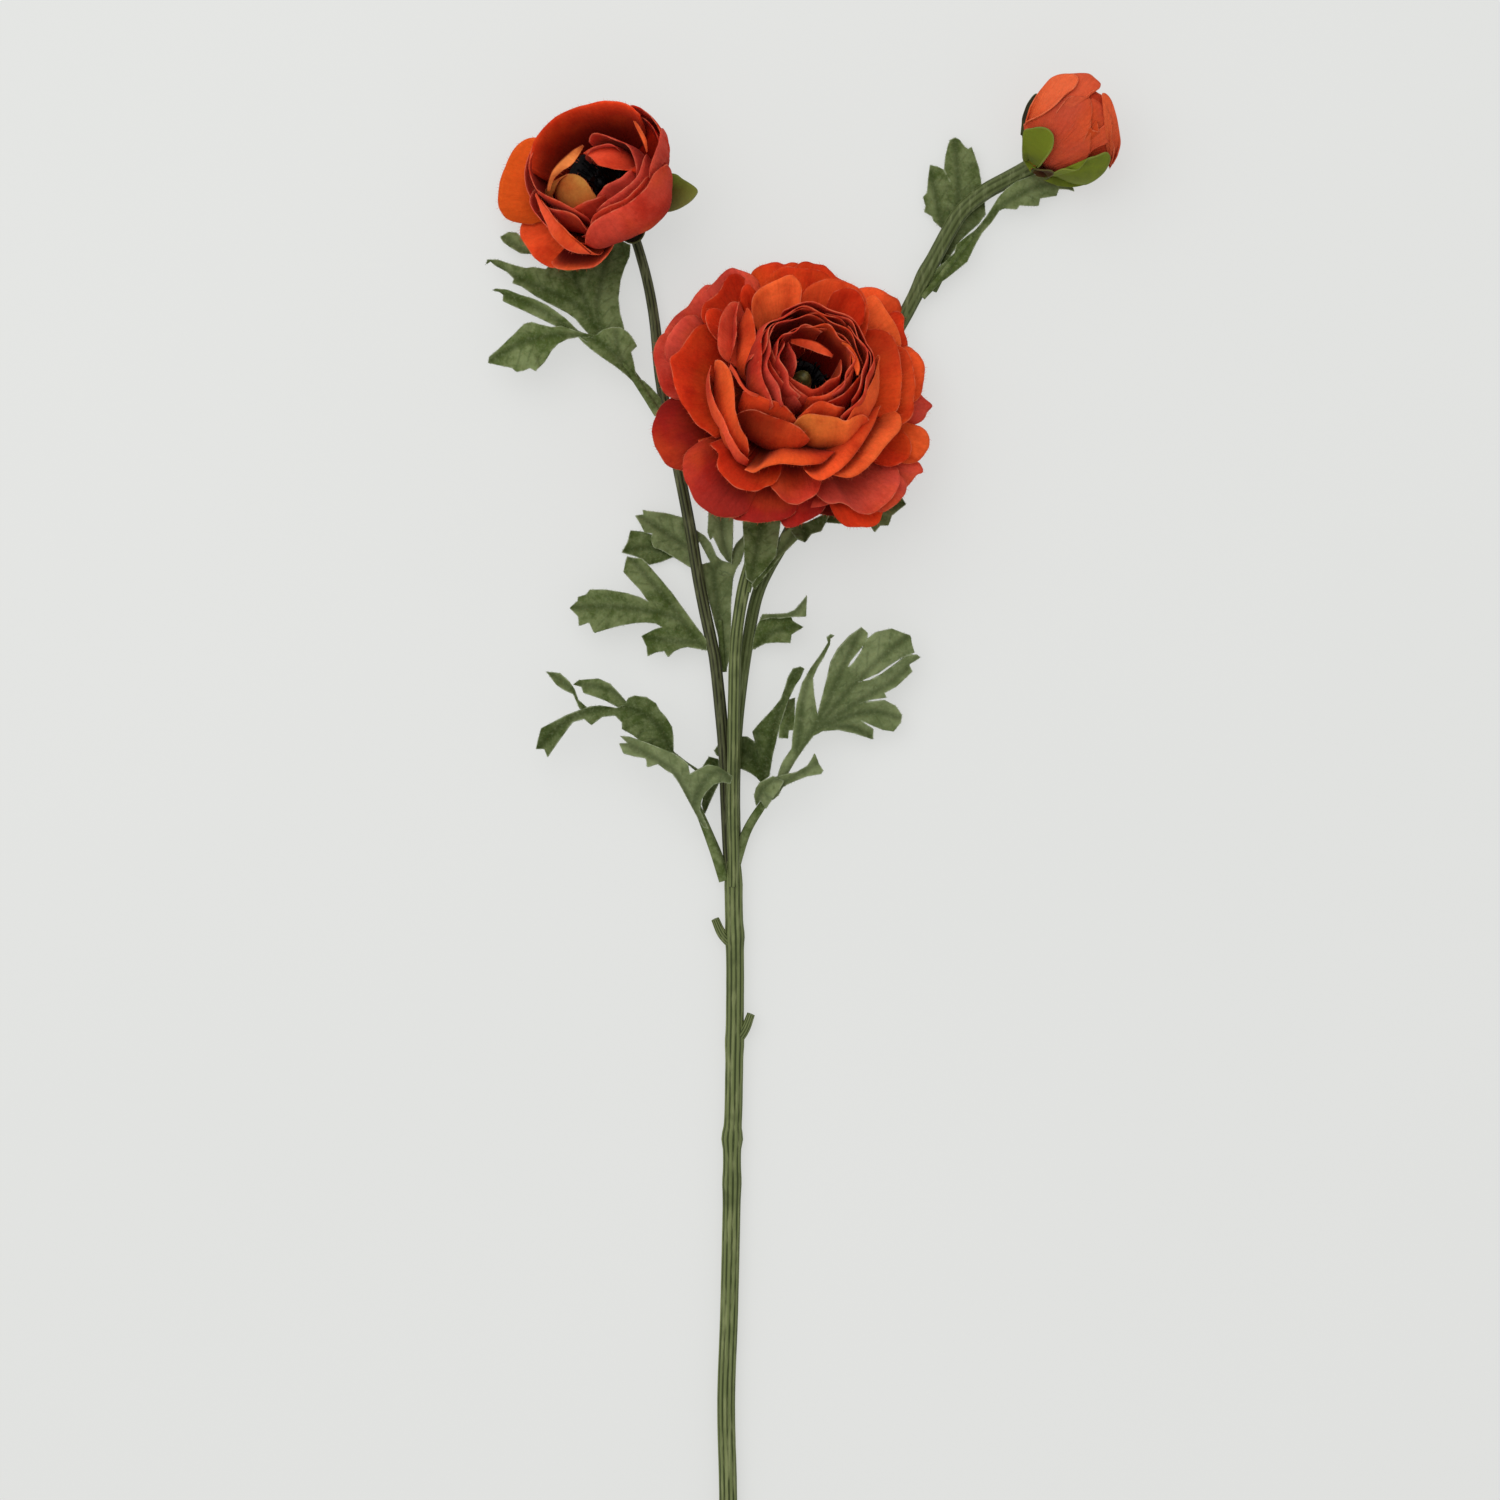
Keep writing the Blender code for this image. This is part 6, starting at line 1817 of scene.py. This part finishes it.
# %% The leaves beside and between the branches
LEAVES["leaf_middle_left"] = Leaf([(704, 649, 4.6), (700, 643, 4.9), (693, 636, 5.4)], (0.9, 0.6), [
    Blade([(707, 650.5), (687, 647), (680.5, 648.5), (674, 651.5), (668, 657.5), (664, 651), (655.5, 652.5),
        (647.5, 656.5), (646.5, 646.5), (641.5, 636), (647.5, 633), (654, 629.5), (662, 627),
        (655.5, 623.5), (645, 622.5), (634.5, 623), (619, 626), (606, 629.5), (594.5, 633), (589, 622.5),
        (579, 626), (578, 616.5), (569.5, 608), (577.5, 601), (578, 597), (586, 594.5), (590, 589.5),
        (606, 589.5), (627, 593), (641, 597.5), (648, 601.5), (640, 590), (630.5, 580), (623.5, 572),
        (625, 564), (627, 556.5), (635, 558), (641.5, 558), (646.5, 563), (658, 576), (671, 591.5),
        (684.5, 610), (697.5, 628), (707, 640)],
        [[(705, 648, 6.0), (690, 632, 6.8), (672, 606, 8), (650, 580, 9), (632, 558, 9)], [(682, 620, 7.2),
         (655, 612, 8), (612, 607, 9), (571, 608, 8)], [(697, 642, 6.3), (672, 641, 7), (643, 637, 7)]],
         shade=0.22),
])
LEAVES["leaf_centre_left"] = Leaf([(723.5, 672, 3.6), (722, 650, 3.5), (720, 620, 3.5)], (1.0, 1.0), [
    Blade([(726, 672), (722, 654.5), (718, 636), (712, 612.5), (706.5, 591.5), (701.5, 576), (698.5, 565.5),
        (710.5, 562), (699.5, 541.5), (695.5, 549.5), (693.5, 568.5), (690, 567.5), (681.5, 562),
        (672.5, 556.5), (661, 550), (653.5, 547.5), (650.5, 539), (652.5, 533.5), (644.5, 532.5),
        (641, 525), (635, 515.5), (643.5, 514.5), (642.5, 510), (649, 511), (666, 513), (684.5, 518),
        (697.5, 531), (704.5, 535.5), (711, 543), (716.5, 556), (722, 560.5), (731, 563), (733, 549.5),
        (736.5, 543), (745, 534.5), (745.5, 547), (741, 561.5), (736.5, 568.5), (733, 578.5), (731, 604.5),
        (731, 631), (729.5, 657)],
        [[(725, 672, 3.6), (722, 640, 3.5), (717, 600, 3.5), (715, 570, 4.5), (728, 556, 5.2),
         (742, 538, 6)], [(715, 572, 4.2), (700, 556, 3), (668, 534, 2.6), (640, 516, 3.0)]], shade=-0.25),
    Blade([(621.5, 552.5), (627.5, 542), (630.5, 530.5), (642.5, 531.5), (666, 539), (687, 552.5),
        (690, 563), (673.5, 557), (661, 562), (649, 565), (642.5, 559.5), (634.5, 556)],
        [[(690, 560, 1.8), (655, 548, 1.3), (624, 550, 1.5)]], shade=0.3, fold=4),
    Blade([(708.5, 510.5), (733.5, 510.5), (733, 539), (732, 564), (726.5, 560.5), (720.5, 552.5),
        (716, 543), (713, 536.5), (710.5, 540.5), (707.5, 532.5)],
        [[(731, 562, 6.2), (724, 540, 7.5), (722, 508, 8)]], shade=-0.3, fold=20),
])
LEAVES["leaf_centre"] = Leaf([(748, 592, 10.2), (752, 577, 10.2), (756, 562, 10.4)], (0.8, 0.6), [
    Blade([(742.5, 518.5), (781, 518.5), (778.5, 539), (776, 556), (766.5, 568.5), (759.5, 576.5),
        (752, 583), (746, 578.5), (744.5, 563), (744, 547)],
        [[(751, 580, 11.8), (755, 560, 12), (759, 538, 12), (766, 505, 10)]], shade=0.25, fold=18),
    Blade([(751, 585), (757, 577), (776, 556), (781, 534), (789, 528), (802, 531), (797.5, 539.5),
        (781.5, 555.5), (761, 581.5), (754.5, 590)],
        [[(754, 586, 12.2), (772, 560, 12), (787, 543, 11), (797, 530, 10)]], shade=0.1),
    Blade([(787.5, 527), (807, 522.5), (823, 514.5), (830.5, 511), (827, 520.5), (821, 531.5), (811.5, 534),
        (805, 542.5), (796, 538.5)],
        [[(800, 522, 9.5), (806, 532, 10.5), (806, 541, 12)]], shade=0.7),
    Blade([(820.5, 522), (829.5, 513), (844, 505), (870, 500), (902.5, 498), (906, 504.5), (892, 515.5),
        (888.5, 525.5), (880.5, 525.5), (874.5, 532.5), (870, 525.5), (849, 524), (837.5, 523.5)],
        [[(815, 520, 9), (862, 512, 9), (903, 503, 9)]], shade=0.4),
])
LEAVES["leaf_middle_right"] = Leaf([(753, 648, 4.0), (759, 641, 4.4), (766, 635, 4.8)], (0.8, 0.5), [
    Blade([(751, 650.5), (754, 636), (757, 625.5), (761.5, 617.5), (770.5, 617), (783.5, 617.5),
        (791, 616.5), (793, 621), (803.5, 627), (791.5, 634.5), (790.5, 643), (776, 642.5), (765.5, 643.5)],
        [[(755, 648, 4.8), (770, 634, 6.0), (788, 628, 6.5), (802, 626, 6)]], shade=0.1),
    Blade([(759, 621), (762.5, 614), (773, 614), (787.5, 613), (794.5, 610), (802, 601.5), (807, 594.5),
        (806, 616.5), (791.5, 617), (781, 618.5), (770.5, 618)],
        [[(762, 618, 8), (780, 616, 9), (796, 612, 10), (806, 596, 11)]], shade=-0.35),
])
print("leaves written down:", len(LEAVES))

# %% [markdown]
# The last three lie under the flowers: one beside the half-open bloom, and two near the bud.

# %% The leaves near the half-open bloom and the bud
LEAVES["leaf_upper_left"] = Leaf([(658.5, 414, 5.0), (645, 393, 6), (632, 374, 8), (616, 356, 10),
    (602, 343, 11)], (1.5, 1.1), [
    Blade([(497.5, 259.5), (515.5, 265.5), (526, 268), (533.5, 267), (546, 269), (558.5, 255.5),
        (587, 241.5), (615.5, 238), (630.5, 245), (629.5, 256.5), (624.5, 268), (620.5, 280.5),
        (618.5, 298.5), (620, 313), (623, 323.5), (624.5, 329.5), (615.5, 338), (603, 339.5), (589, 334.5),
        (582, 327), (575.5, 319), (567.5, 313), (557, 307.5), (546, 302), (537, 297), (528, 291),
        (521.5, 286.5), (512, 283), (514, 279), (507, 272), (495, 265.5), (490.5, 261.5), (485.5, 265),
        (487.5, 259.5)],
        [[(602, 340, 11), (598, 330, 10), (575, 303, 8), (548, 291, 6.6), (516, 277, 6), (488, 262, 6)],
         [(598, 330, 10), (586, 302, 8.2), (577, 281, 6.6), (573, 262, 5.4)], [(600, 330, 10),
         (597, 306, 9), (600, 288, 7.4), (604, 265, 6.4), (609, 250, 5.6)]], shade=0.3),
    Blade([(491.5, 290.5), (496, 288.5), (507, 289.5), (521, 295), (533.5, 298.5), (548, 305.5),
        (558.5, 313), (567.5, 320), (578, 330.5), (592.5, 337), (588, 340), (576.5, 334.5), (565.5, 330.5),
        (552.5, 324.5), (539, 318), (524.5, 311), (512, 305.5), (502.5, 301), (503.5, 295), (499, 292)],
        [[(592, 336, 11.5), (572, 331, 12), (550, 315, 11.4), (520, 300, 10.5), (492, 290, 9)]],
         shade=0.05),
    Blade([(489, 357), (499.5, 348), (512, 336), (524.5, 323.5), (532, 322), (540.5, 324.5), (551.5, 327),
        (560.5, 326), (569.5, 328.5), (580, 332), (594.5, 335.5), (587, 343), (579, 337), (567.5, 339),
        (558.5, 343.5), (551.5, 350.5), (545, 361.5), (535.5, 371), (530, 368), (524, 370.5), (516.5, 372),
        (512, 368), (499.5, 365.5), (488, 363)],
        [[(590, 338, 12), (560, 335, 13.5), (527, 341, 13), (505, 352, 11.5), (490, 361, 10)]], shade=0.0),
    Blade([(597, 334.5), (603, 329.5), (612, 327), (621, 327.5), (628.5, 332.5), (633, 338.5), (637, 346),
        (631, 352), (633.5, 361), (635.5, 372), (638, 378.5), (643.5, 380.5), (651.5, 388), (663, 400.5),
        (662, 407.5), (657, 412.5), (649, 405), (639, 389.5), (632, 380.5), (626.5, 375.5), (615.5, 366.5),
        (605, 359.5), (594.5, 352), (583.5, 343), (577.5, 336.5), (587, 337)],
        [[(656, 411, 5.4), (640, 386, 7), (628, 370, 9), (618, 357, 11), (606, 346, 12.5), (592, 338, 12)],
         [(624, 366, 10), (618, 350, 12.5), (616, 332, 13)]], shade=0.12, fold=8),
    Blade([(500, 237), (508.5, 232), (516.5, 232.5), (526.5, 241.5), (532, 254), (521, 253.5),
        (510.5, 247.5), (503, 242)],
        [[(528, 254, 4.5), (512, 243, 4), (502, 236, 3.5)]], shade=0.15),
])
LEAVES["leaf_bud_left"] = Leaf([(934, 291, 2.4), (942, 275, 1.8), (948, 255, 1.5)], (0.9, 0.8), [
    Blade([(950, 181.5), (944, 170.5), (945, 158.5), (947.5, 146.5), (950, 140), (955, 137.5),
        (959.5, 139.5), (965, 147), (968, 149), (971.5, 147), (974.5, 154.5), (979, 168), (982, 187),
        (984.5, 199.5), (985.5, 214.5), (979, 223.5), (969.5, 232), (959.5, 241.5), (951.5, 254.5),
        (944, 268.5), (939, 273), (942, 255.5), (944, 230.5), (933.5, 221), (932, 216.5), (924, 212),
        (925.5, 206), (923, 197), (927, 192.5), (928, 180.5), (929, 171), (930, 165), (937.5, 166.5),
        (943.5, 169.5)],
        [[(940, 274, 1.9), (950, 245, 1.4), (958, 210, 1.4), (958, 175, 1.8), (955, 141, 3)],
         [(946, 240, 1.4), (938, 205, 1.6), (931, 172, 3)]], shade=0.2, fold=4),
])
LEAVES["leaf_bud_right"] = Leaf([(922, 297, 5.0), (937, 281, 6.0), (956, 257, 6.4), (972, 237, 6.6)],
    (1.1, 0.9), [
    Blade([(928, 273.5), (938.5, 267.5), (948.5, 258.5), (954.5, 253), (956, 245), (966, 237), (975.5, 230),
        (983.5, 220.5), (990, 211), (998, 198), (1006, 189), (1015.5, 182), (1033, 175), (1049, 175),
        (1068, 182), (1073.5, 188.5), (1074, 191.5), (1068, 189.5), (1059, 189), (1056, 196), (1040, 198.5),
        (1038.5, 206), (1028.5, 206), (1019.5, 205.5), (1016.5, 209.5), (1004.5, 208.5), (999.5, 210.5),
        (991.5, 222.5), (982, 233), (975.5, 244.5), (971, 254), (967, 262), (956.5, 270.5), (945, 279.5),
        (933, 287), (924, 283)],
        [[(933, 282, 5.9), (955, 256, 6.8), (976, 231, 7.4), (990, 216, 8), (1008, 201, 8),
         (1033, 188, 6.4), (1056, 184, 4.6), (1072, 190, 3.5)]], shade=0.1, fold=-16),
])
print("leaves written down:", len(LEAVES))

# %% [markdown]
# A square net is laid over each outline. For each of its points the script measures the distance to the
# outline and the nearest place on each rib.

# %% Measure a blade
NET_STEP = 1.15
LEAF_THICKNESS = 0.36
FLOOR_CLEARANCE = 0.3
RIB_BLEND = 2.2
FOLD_REACH = 7.0
WAVE_HEIGHT = 0.5
LONG_WAVE, SHORT_WAVE = 0.8, 1.9
PETIOLE_RIBS, PETIOLE_RIB_DEPTH = 5, 0.06
LEAF_SEED = 20
FUZZ_LENGTH = 0.55 * MM
FUZZ_THICKNESS = 0.035 * MM
FLOCK_FACING = 0.3


def beside(chain, spots):
    """Length along a chain, signed distance in picture points and height, for each spot."""
    start, end = chain[:-1], chain[1:]
    step = (end - start)[:, :2]
    length = np.maximum(np.linalg.norm(step, axis=1), 1e-6)
    total = np.concatenate([[0], np.cumsum(length)])
    away = spots[:, None, :] - start[None, :, :2]
    t = np.clip((away * step).sum(-1) / length ** 2, 0, 1)
    gap = away - t[..., None] * step
    distance = np.linalg.norm(gap, axis=-1)
    best = distance.argmin(axis=1)
    row = np.arange(len(spots))
    t = t[row, best]
    run = total[best] + t * length[best]
    side = np.sign(step[best, 0] * gap[row, best, 1] - step[best, 1] * gap[row, best, 0])
    height = start[best, 2] + t * (end[best, 2] - start[best, 2])
    return run, side * distance[row, best], height


def inside_gap(outline, spots):
    """How far inside a closed outline each spot lies, in picture points. Outside it is below zero."""
    start = np.array(outline, dtype=float)
    end = np.roll(start, -1, axis=0)
    step = end - start
    away = spots[:, None, :] - start[None]
    t = np.clip((away * step).sum(-1) / (step ** 2).sum(-1), 0, 1)
    distance = np.linalg.norm(away - t[..., None] * step, axis=-1).min(axis=1)
    below = (start[None, :, 1] > spots[:, None, 1]) != (end[None, :, 1] > spots[:, None, 1])
    slope = step[:, 0] / np.where(step[:, 1] == 0, 1e-9, step[:, 1])
    crossing = start[None, :, 0] + (spots[:, None, 1] - start[None, :, 1]) * slope[None]
    inside = (below & (spots[:, None, 0] < crossing)).sum(axis=1) % 2 == 1
    return np.where(inside, distance, -distance)

# %% [markdown]
# A triangle of the net that the outline crosses is cut there. The new corners lie where the distance to
# the outline, taken along the side of the triangle, is zero, so the cut teeth come out sharp.

# %% Cut a net at an outline
def cut_net(field, columns):
    """Triangles of a square net where its field is above zero. Each point is a mix of two net points."""
    rows = len(field) // columns
    keys, mixes, faces = {}, [], []

    def corner(a, b):
        key = (min(a, b), max(a, b))
        if key not in keys:
            low, high = key
            share = 0.0 if low == high else field[low] / (field[low] - field[high])
            keys[key] = len(mixes)
            mixes.append((low, high, share))
        return keys[key]

    alive = (field > 0).reshape(rows, columns)
    cells = alive[:-1, :-1] | alive[1:, :-1] | alive[:-1, 1:] | alive[1:, 1:]
    for i, j in zip(*np.nonzero(cells)):
        a = int(i) * columns + int(j)
        b, c, d = a + columns, a + 1, a + columns + 1
        for triangle in ((a, d, b), (a, c, d)):
            inside = [field[k] > 0 for k in triangle]
            if not any(inside):
                continue
            loop = []
            for k in range(3):
                here, there = triangle[k], triangle[(k + 1) % 3]
                if inside[k]:
                    loop.append(corner(here, here))
                if inside[k] != inside[(k + 1) % 3]:
                    loop.append(corner(here, there))
            faces.append(tuple(loop))
    return np.array(mixes), faces

# %% [markdown]
# The blade's height comes from its ribs: each rib gives a height that rises from it like a shallow valley
# and waves towards the margin, and near a rib its own height counts most.

# %% Heights from the ribs
def blade_heights(blade, spots, chance):
    """Height, distance to the nearest rib and length along it, for each spot of a blade's net."""
    gaps, runs, heights = [], [], []
    for rib in blade.ribs:
        chain = np.array([tuple(place) for place in smooth([Vector(place) for place in rib], 2.0)])
        run, side, height = beside(chain, spots)
        run, side = run * MM_PER_POINT, side * MM_PER_POINT
        lift = math.sin(math.radians(blade.fold)) * FOLD_REACH * (1 - np.exp(-np.abs(side) / FOLD_REACH))
        wave = np.sin(run * LONG_WAVE + chance.uniform(0, 6))
        wave = wave + 0.5 * np.sin(run * SHORT_WAVE + chance.uniform(0, 6))
        far = np.clip(np.abs(side) / FOLD_REACH, 0, 1)
        heights.append(height + lift + WAVE_HEIGHT * wave * far ** 1.5)
        gaps.append(np.abs(side))
        runs.append(run)
    gaps, runs, heights = np.stack(gaps), np.stack(runs), np.stack(heights)
    near = np.exp(-(gaps - gaps.min(axis=0)) / RIB_BLEND)
    near /= near.sum(axis=0)
    best, pick = gaps.argmin(axis=0), np.arange(len(spots))
    return (near * heights).sum(axis=0), gaps[best, pick], runs[best, pick]

# %% [markdown]
# The net is cut at the outline, doubled for the cloth's thickness and closed along its margin.

# %% The cloth of a blade
def blade_sheet(gathered, blade, chance):
    """Cuts one blade's cloth and adds it, with its thickness. Gives its margin, edge by edge, for flock."""
    edge = np.array(blade.outline, dtype=float)
    xs = np.arange(edge[:, 0].min() - 2, edge[:, 0].max() + 2, NET_STEP)
    ys = np.arange(edge[:, 1].min() - 2, edge[:, 1].max() + 2, NET_STEP)
    spots = np.stack(np.meshgrid(xs, ys, indexing="ij"), -1).reshape(-1, 2)
    field = inside_gap(edge, spots) * MM_PER_POINT
    height, gap, run = blade_heights(blade, spots, chance)
    mixes, faces = cut_net(field, len(ys))
    first, second, t = mixes[:, 0].astype(int), mixes[:, 1].astype(int), mixes[:, 2:]
    net = np.stack([spots[:, 0], spots[:, 1], height, gap, run, field], -1)
    values = net[first] * (1 - t) + net[second] * t
    lowest = FLOOR_CLEARANCE + LEAF_THICKNESS / 2
    points = np.array([tuple(at(right, down, max(up, lowest))) for right, down, up in values[:, :3]])
    facing = np.zeros_like(points)
    for face in faces:
        across = np.cross(points[face[1]] - points[face[0]], points[face[-1]] - points[face[0]])
        for k in face:
            facing[k] += across
    facing = unit(facing)
    count = len(points)
    used = {}
    for face in faces:
        for a, b in zip(face, face[1:] + face[:1]):
            used[(a, b)] = True
    margin = [(a, b) for a, b in used if (b, a) not in used]
    closing = [(b, a, a + count, b + count) for a, b in margin]
    both = faces + [tuple(k + count for k in reversed(face)) for face in faces] + closing
    doubled = np.concatenate([points + facing * LEAF_THICKNESS / 2, points - facing * LEAF_THICKNESS / 2])
    twice = np.concatenate([values, values])
    gathered.add(doubled, both, beside_rib=twice[:, 3:4], along_rib=twice[:, 4:5], edge_gap=twice[:, 5:6],
                 shade=np.full((2 * count, 1), blade.shade))
    return [(points[[a, b]], facing[[a, b]] * FLOCK_FACING) for a, b in margin]

# %% [markdown]
# A whole leaf is its blades, its petiole as a small ribbed bar in the same cloth, and the flock that
# stands out of its margin.

# %% The leaves
def set_values(mesh, **values):
    """Gives every point of a mesh the same values, so that it can join a leaf."""
    for key, value in values.items():
        mesh.attributes.new(key, "FLOAT", "POINT").data.foreach_set("value", [value] * len(mesh.vertices))


def make_leaf(name, leaf, seed):
    """A leaf: its petiole, its blades and the flock at their margins."""
    chance = random.Random(seed)
    petiole = smooth([at(*place) for place in leaf.petiole], 1.5)
    thick, thin = leaf.radius
    path = [(place, thick + (thin - thick) * k / (len(petiole) - 1)) for k, place in enumerate(petiole)]
    stalk = ribbed(name + "_stalk", [path], PETIOLE_RIBS, PETIOLE_RIB_DEPTH, LEAF_CLOTH, seed)
    # The petiole gets a little painted shade.
    set_values(stalk.data, beside_rib=3.0, along_rib=0.0, edge_gap=3.0, shade=0.15)
    cloth = Gathered()
    margins = []
    for blade in leaf.blades:
        margins += blade_sheet(cloth, blade, chance)
    blades = cloth.build(name + "_blades", LEAF_CLOTH)
    sizes = {"Length": FUZZ_LENGTH, "Thickness": FUZZ_THICKNESS, "Lean": 1.0}
    fuzz = threads(name + "_fuzz", margins, FLOCK, seed, **sizes)
    set_values(fuzz.data, beside_rib=3.0, along_rib=0.0, edge_gap=0.0, shade=0.0)
    finish_piece(join(name + "_cloth", [blades, stalk, fuzz]), "leaf_fabric", name)


for number, (name, leaf) in enumerate(LEAVES.items()):
    make_leaf(name, leaf, LEAF_SEED + number)

# %% [markdown]
# ## Stamens and pistil
#
# The eye of an open flower is a ring of black stamens round an olive knob. One stamen is a thin stalk
# with a grain on its tip. The tree stands copies of it on rings of points and leans each one outwards
# by its own drawn amount. A black dish under the ring keeps the petals' roots from showing between them.

# %% A tree for stamens
GRAIN_SHAPE = (0.8, 0.8, 1.7)
STAMEN_LEAN = 0.35
STAMEN_SIZES = (0.7, 1.1)


def stamen_tree():
    tree, start, end = new_tree("stamen_rings", [
        ("Height", "Float", 6.0 * MM), ("Stalk Radius", "Float", 0.2 * MM),
        ("Grain Radius", "Float", 0.5 * MM), ("Seed", "Int", 4), ("Material", "Material", None),
    ])
    tall = start.outputs["Height"]
    top = result(tree, "ShaderNodeCombineXYZ", {2: tall})
    line = result(tree, "GeometryNodeCurvePrimitiveLine", {"Start": (0, 0, 0), "End": top})
    inputs = {"Resolution": 5, "Radius": start.outputs["Stalk Radius"]}
    thin = result(tree, "GeometryNodeCurvePrimitiveCircle", inputs)
    inputs = {"Curve": line, "Profile Curve": thin, "Fill Caps": True}
    stalk = result(tree, "GeometryNodeCurveToMesh", inputs)
    inputs = {"Radius": start.outputs["Grain Radius"], "Subdivisions": 2}
    ball = result(tree, "GeometryNodeMeshIcoSphere", inputs)
    inputs = {"Geometry": ball, "Translation": top, "Scale": GRAIN_SHAPE}
    grain = result(tree, "GeometryNodeTransform", inputs)
    one = put(tree, "GeometryNodeJoinGeometry")
    tree.links.new(stalk, one.inputs[0])
    tree.links.new(grain, one.inputs[0])
    spots, seed = start.outputs["Geometry"], start.outputs["Seed"]
    leans = [(-STAMEN_LEAN,) * 3, (STAMEN_LEAN,) * 3]
    stood = stand_along(tree, spots, one.outputs[0], seed, leans, STAMEN_SIZES)
    stood = result(tree, "GeometryNodeSetShadeSmooth", {"Geometry": stood, "Shade Smooth": True})
    return end_tree(tree, start, end, stood)


STAMEN_TREE = stamen_tree()
print("tree for stamens:", len(STAMEN_TREE.nodes), "nodes")

# %% [markdown]
# The stamens stand in four rings. The dish and the knob are solids that are turned about the flower's
# axis, like a pot on a wheel. The half-open bloom's knob is black too, as its eye is all dark.

# %% The eyes
STAMEN_RINGS = 4
STAMENS_PER_MM = 5
INNER_TILT, TILT_PER_RING = 0.05, 0.12
DISH_SIDES, KNOB_SIDES = 36, 28


def make_eye(prefix, place, base, inner, outer, tall, knob_radius, knob_top, dish_rise, knob_plastic, seed):
    """Stamens in rings from an inner to an outer radius, their dish, and the knob in the middle."""
    chance = random.Random(seed)
    points, facings = [], []
    whole = place.to_3x3()
    for row in range(STAMEN_RINGS):
        radius = inner + (outer - inner) * row / (STAMEN_RINGS - 1)
        count = int(radius * STAMENS_PER_MM)
        for k in range(count):
            turn = 2 * math.pi * (k + chance.uniform(0, 0.6)) / count
            around = Vector((math.cos(turn), math.sin(turn), 0))
            points.append((place @ (around * radius + Vector((0, 0, base)))) * MM)
            facings.append(whole @ (around * (INNER_TILT + TILT_PER_RING * row) + Vector((0, 0, 1))))
    source = facing_mesh(prefix + "_points", points, [], facings)
    ring_of = run_tree(prefix + "_stamen_ring", source, STAMEN_TREE, {
        "Height": tall * MM, "Seed": seed, "Material": STAMEN_PLASTIC})
    bowl = [(0.4, base - 0.5), (outer, base - 0.3), (outer + 1.6, base + dish_rise),
            (outer + 2.0, base + dish_rise), (outer + 0.6, base - 1.0), (0.4, base - 1.2)]
    dish = Gathered()
    dish.add(*turned(bowl, DISH_SIDES, place))
    both = [ring_of, dish.build(prefix + "_dish", STAMEN_PLASTIC)]
    finish_piece(join(prefix + "_stamen_ring", both), "stamen_plastic", prefix + "_stamens")
    heights = np.linspace(0, 1, 9)
    profile = [(knob_radius * math.sqrt(max(0.02, 1 - h ** 2.2)), base + h * knob_top) for h in heights]
    knob = Gathered()
    knob.add(*turned(profile, KNOB_SIDES, place))
    finish_piece(knob.build(prefix + "_knob", knob_plastic), "pistil_plastic", prefix + "_pistil")


make_eye("main", MAIN_HEAD, base=11.35, inner=3.9, outer=6.6, tall=4.6, knob_radius=3.7, knob_top=10.8,
         dish_rise=3.0, knob_plastic=PISTIL_PLASTIC, seed=6)
make_eye("left", LEFT_HEAD, base=8.85, inner=1.6, outer=6.8, tall=6.4, knob_radius=2.4, knob_top=4.0,
         dish_rise=7.0, knob_plastic=STAMEN_PLASTIC, seed=7)
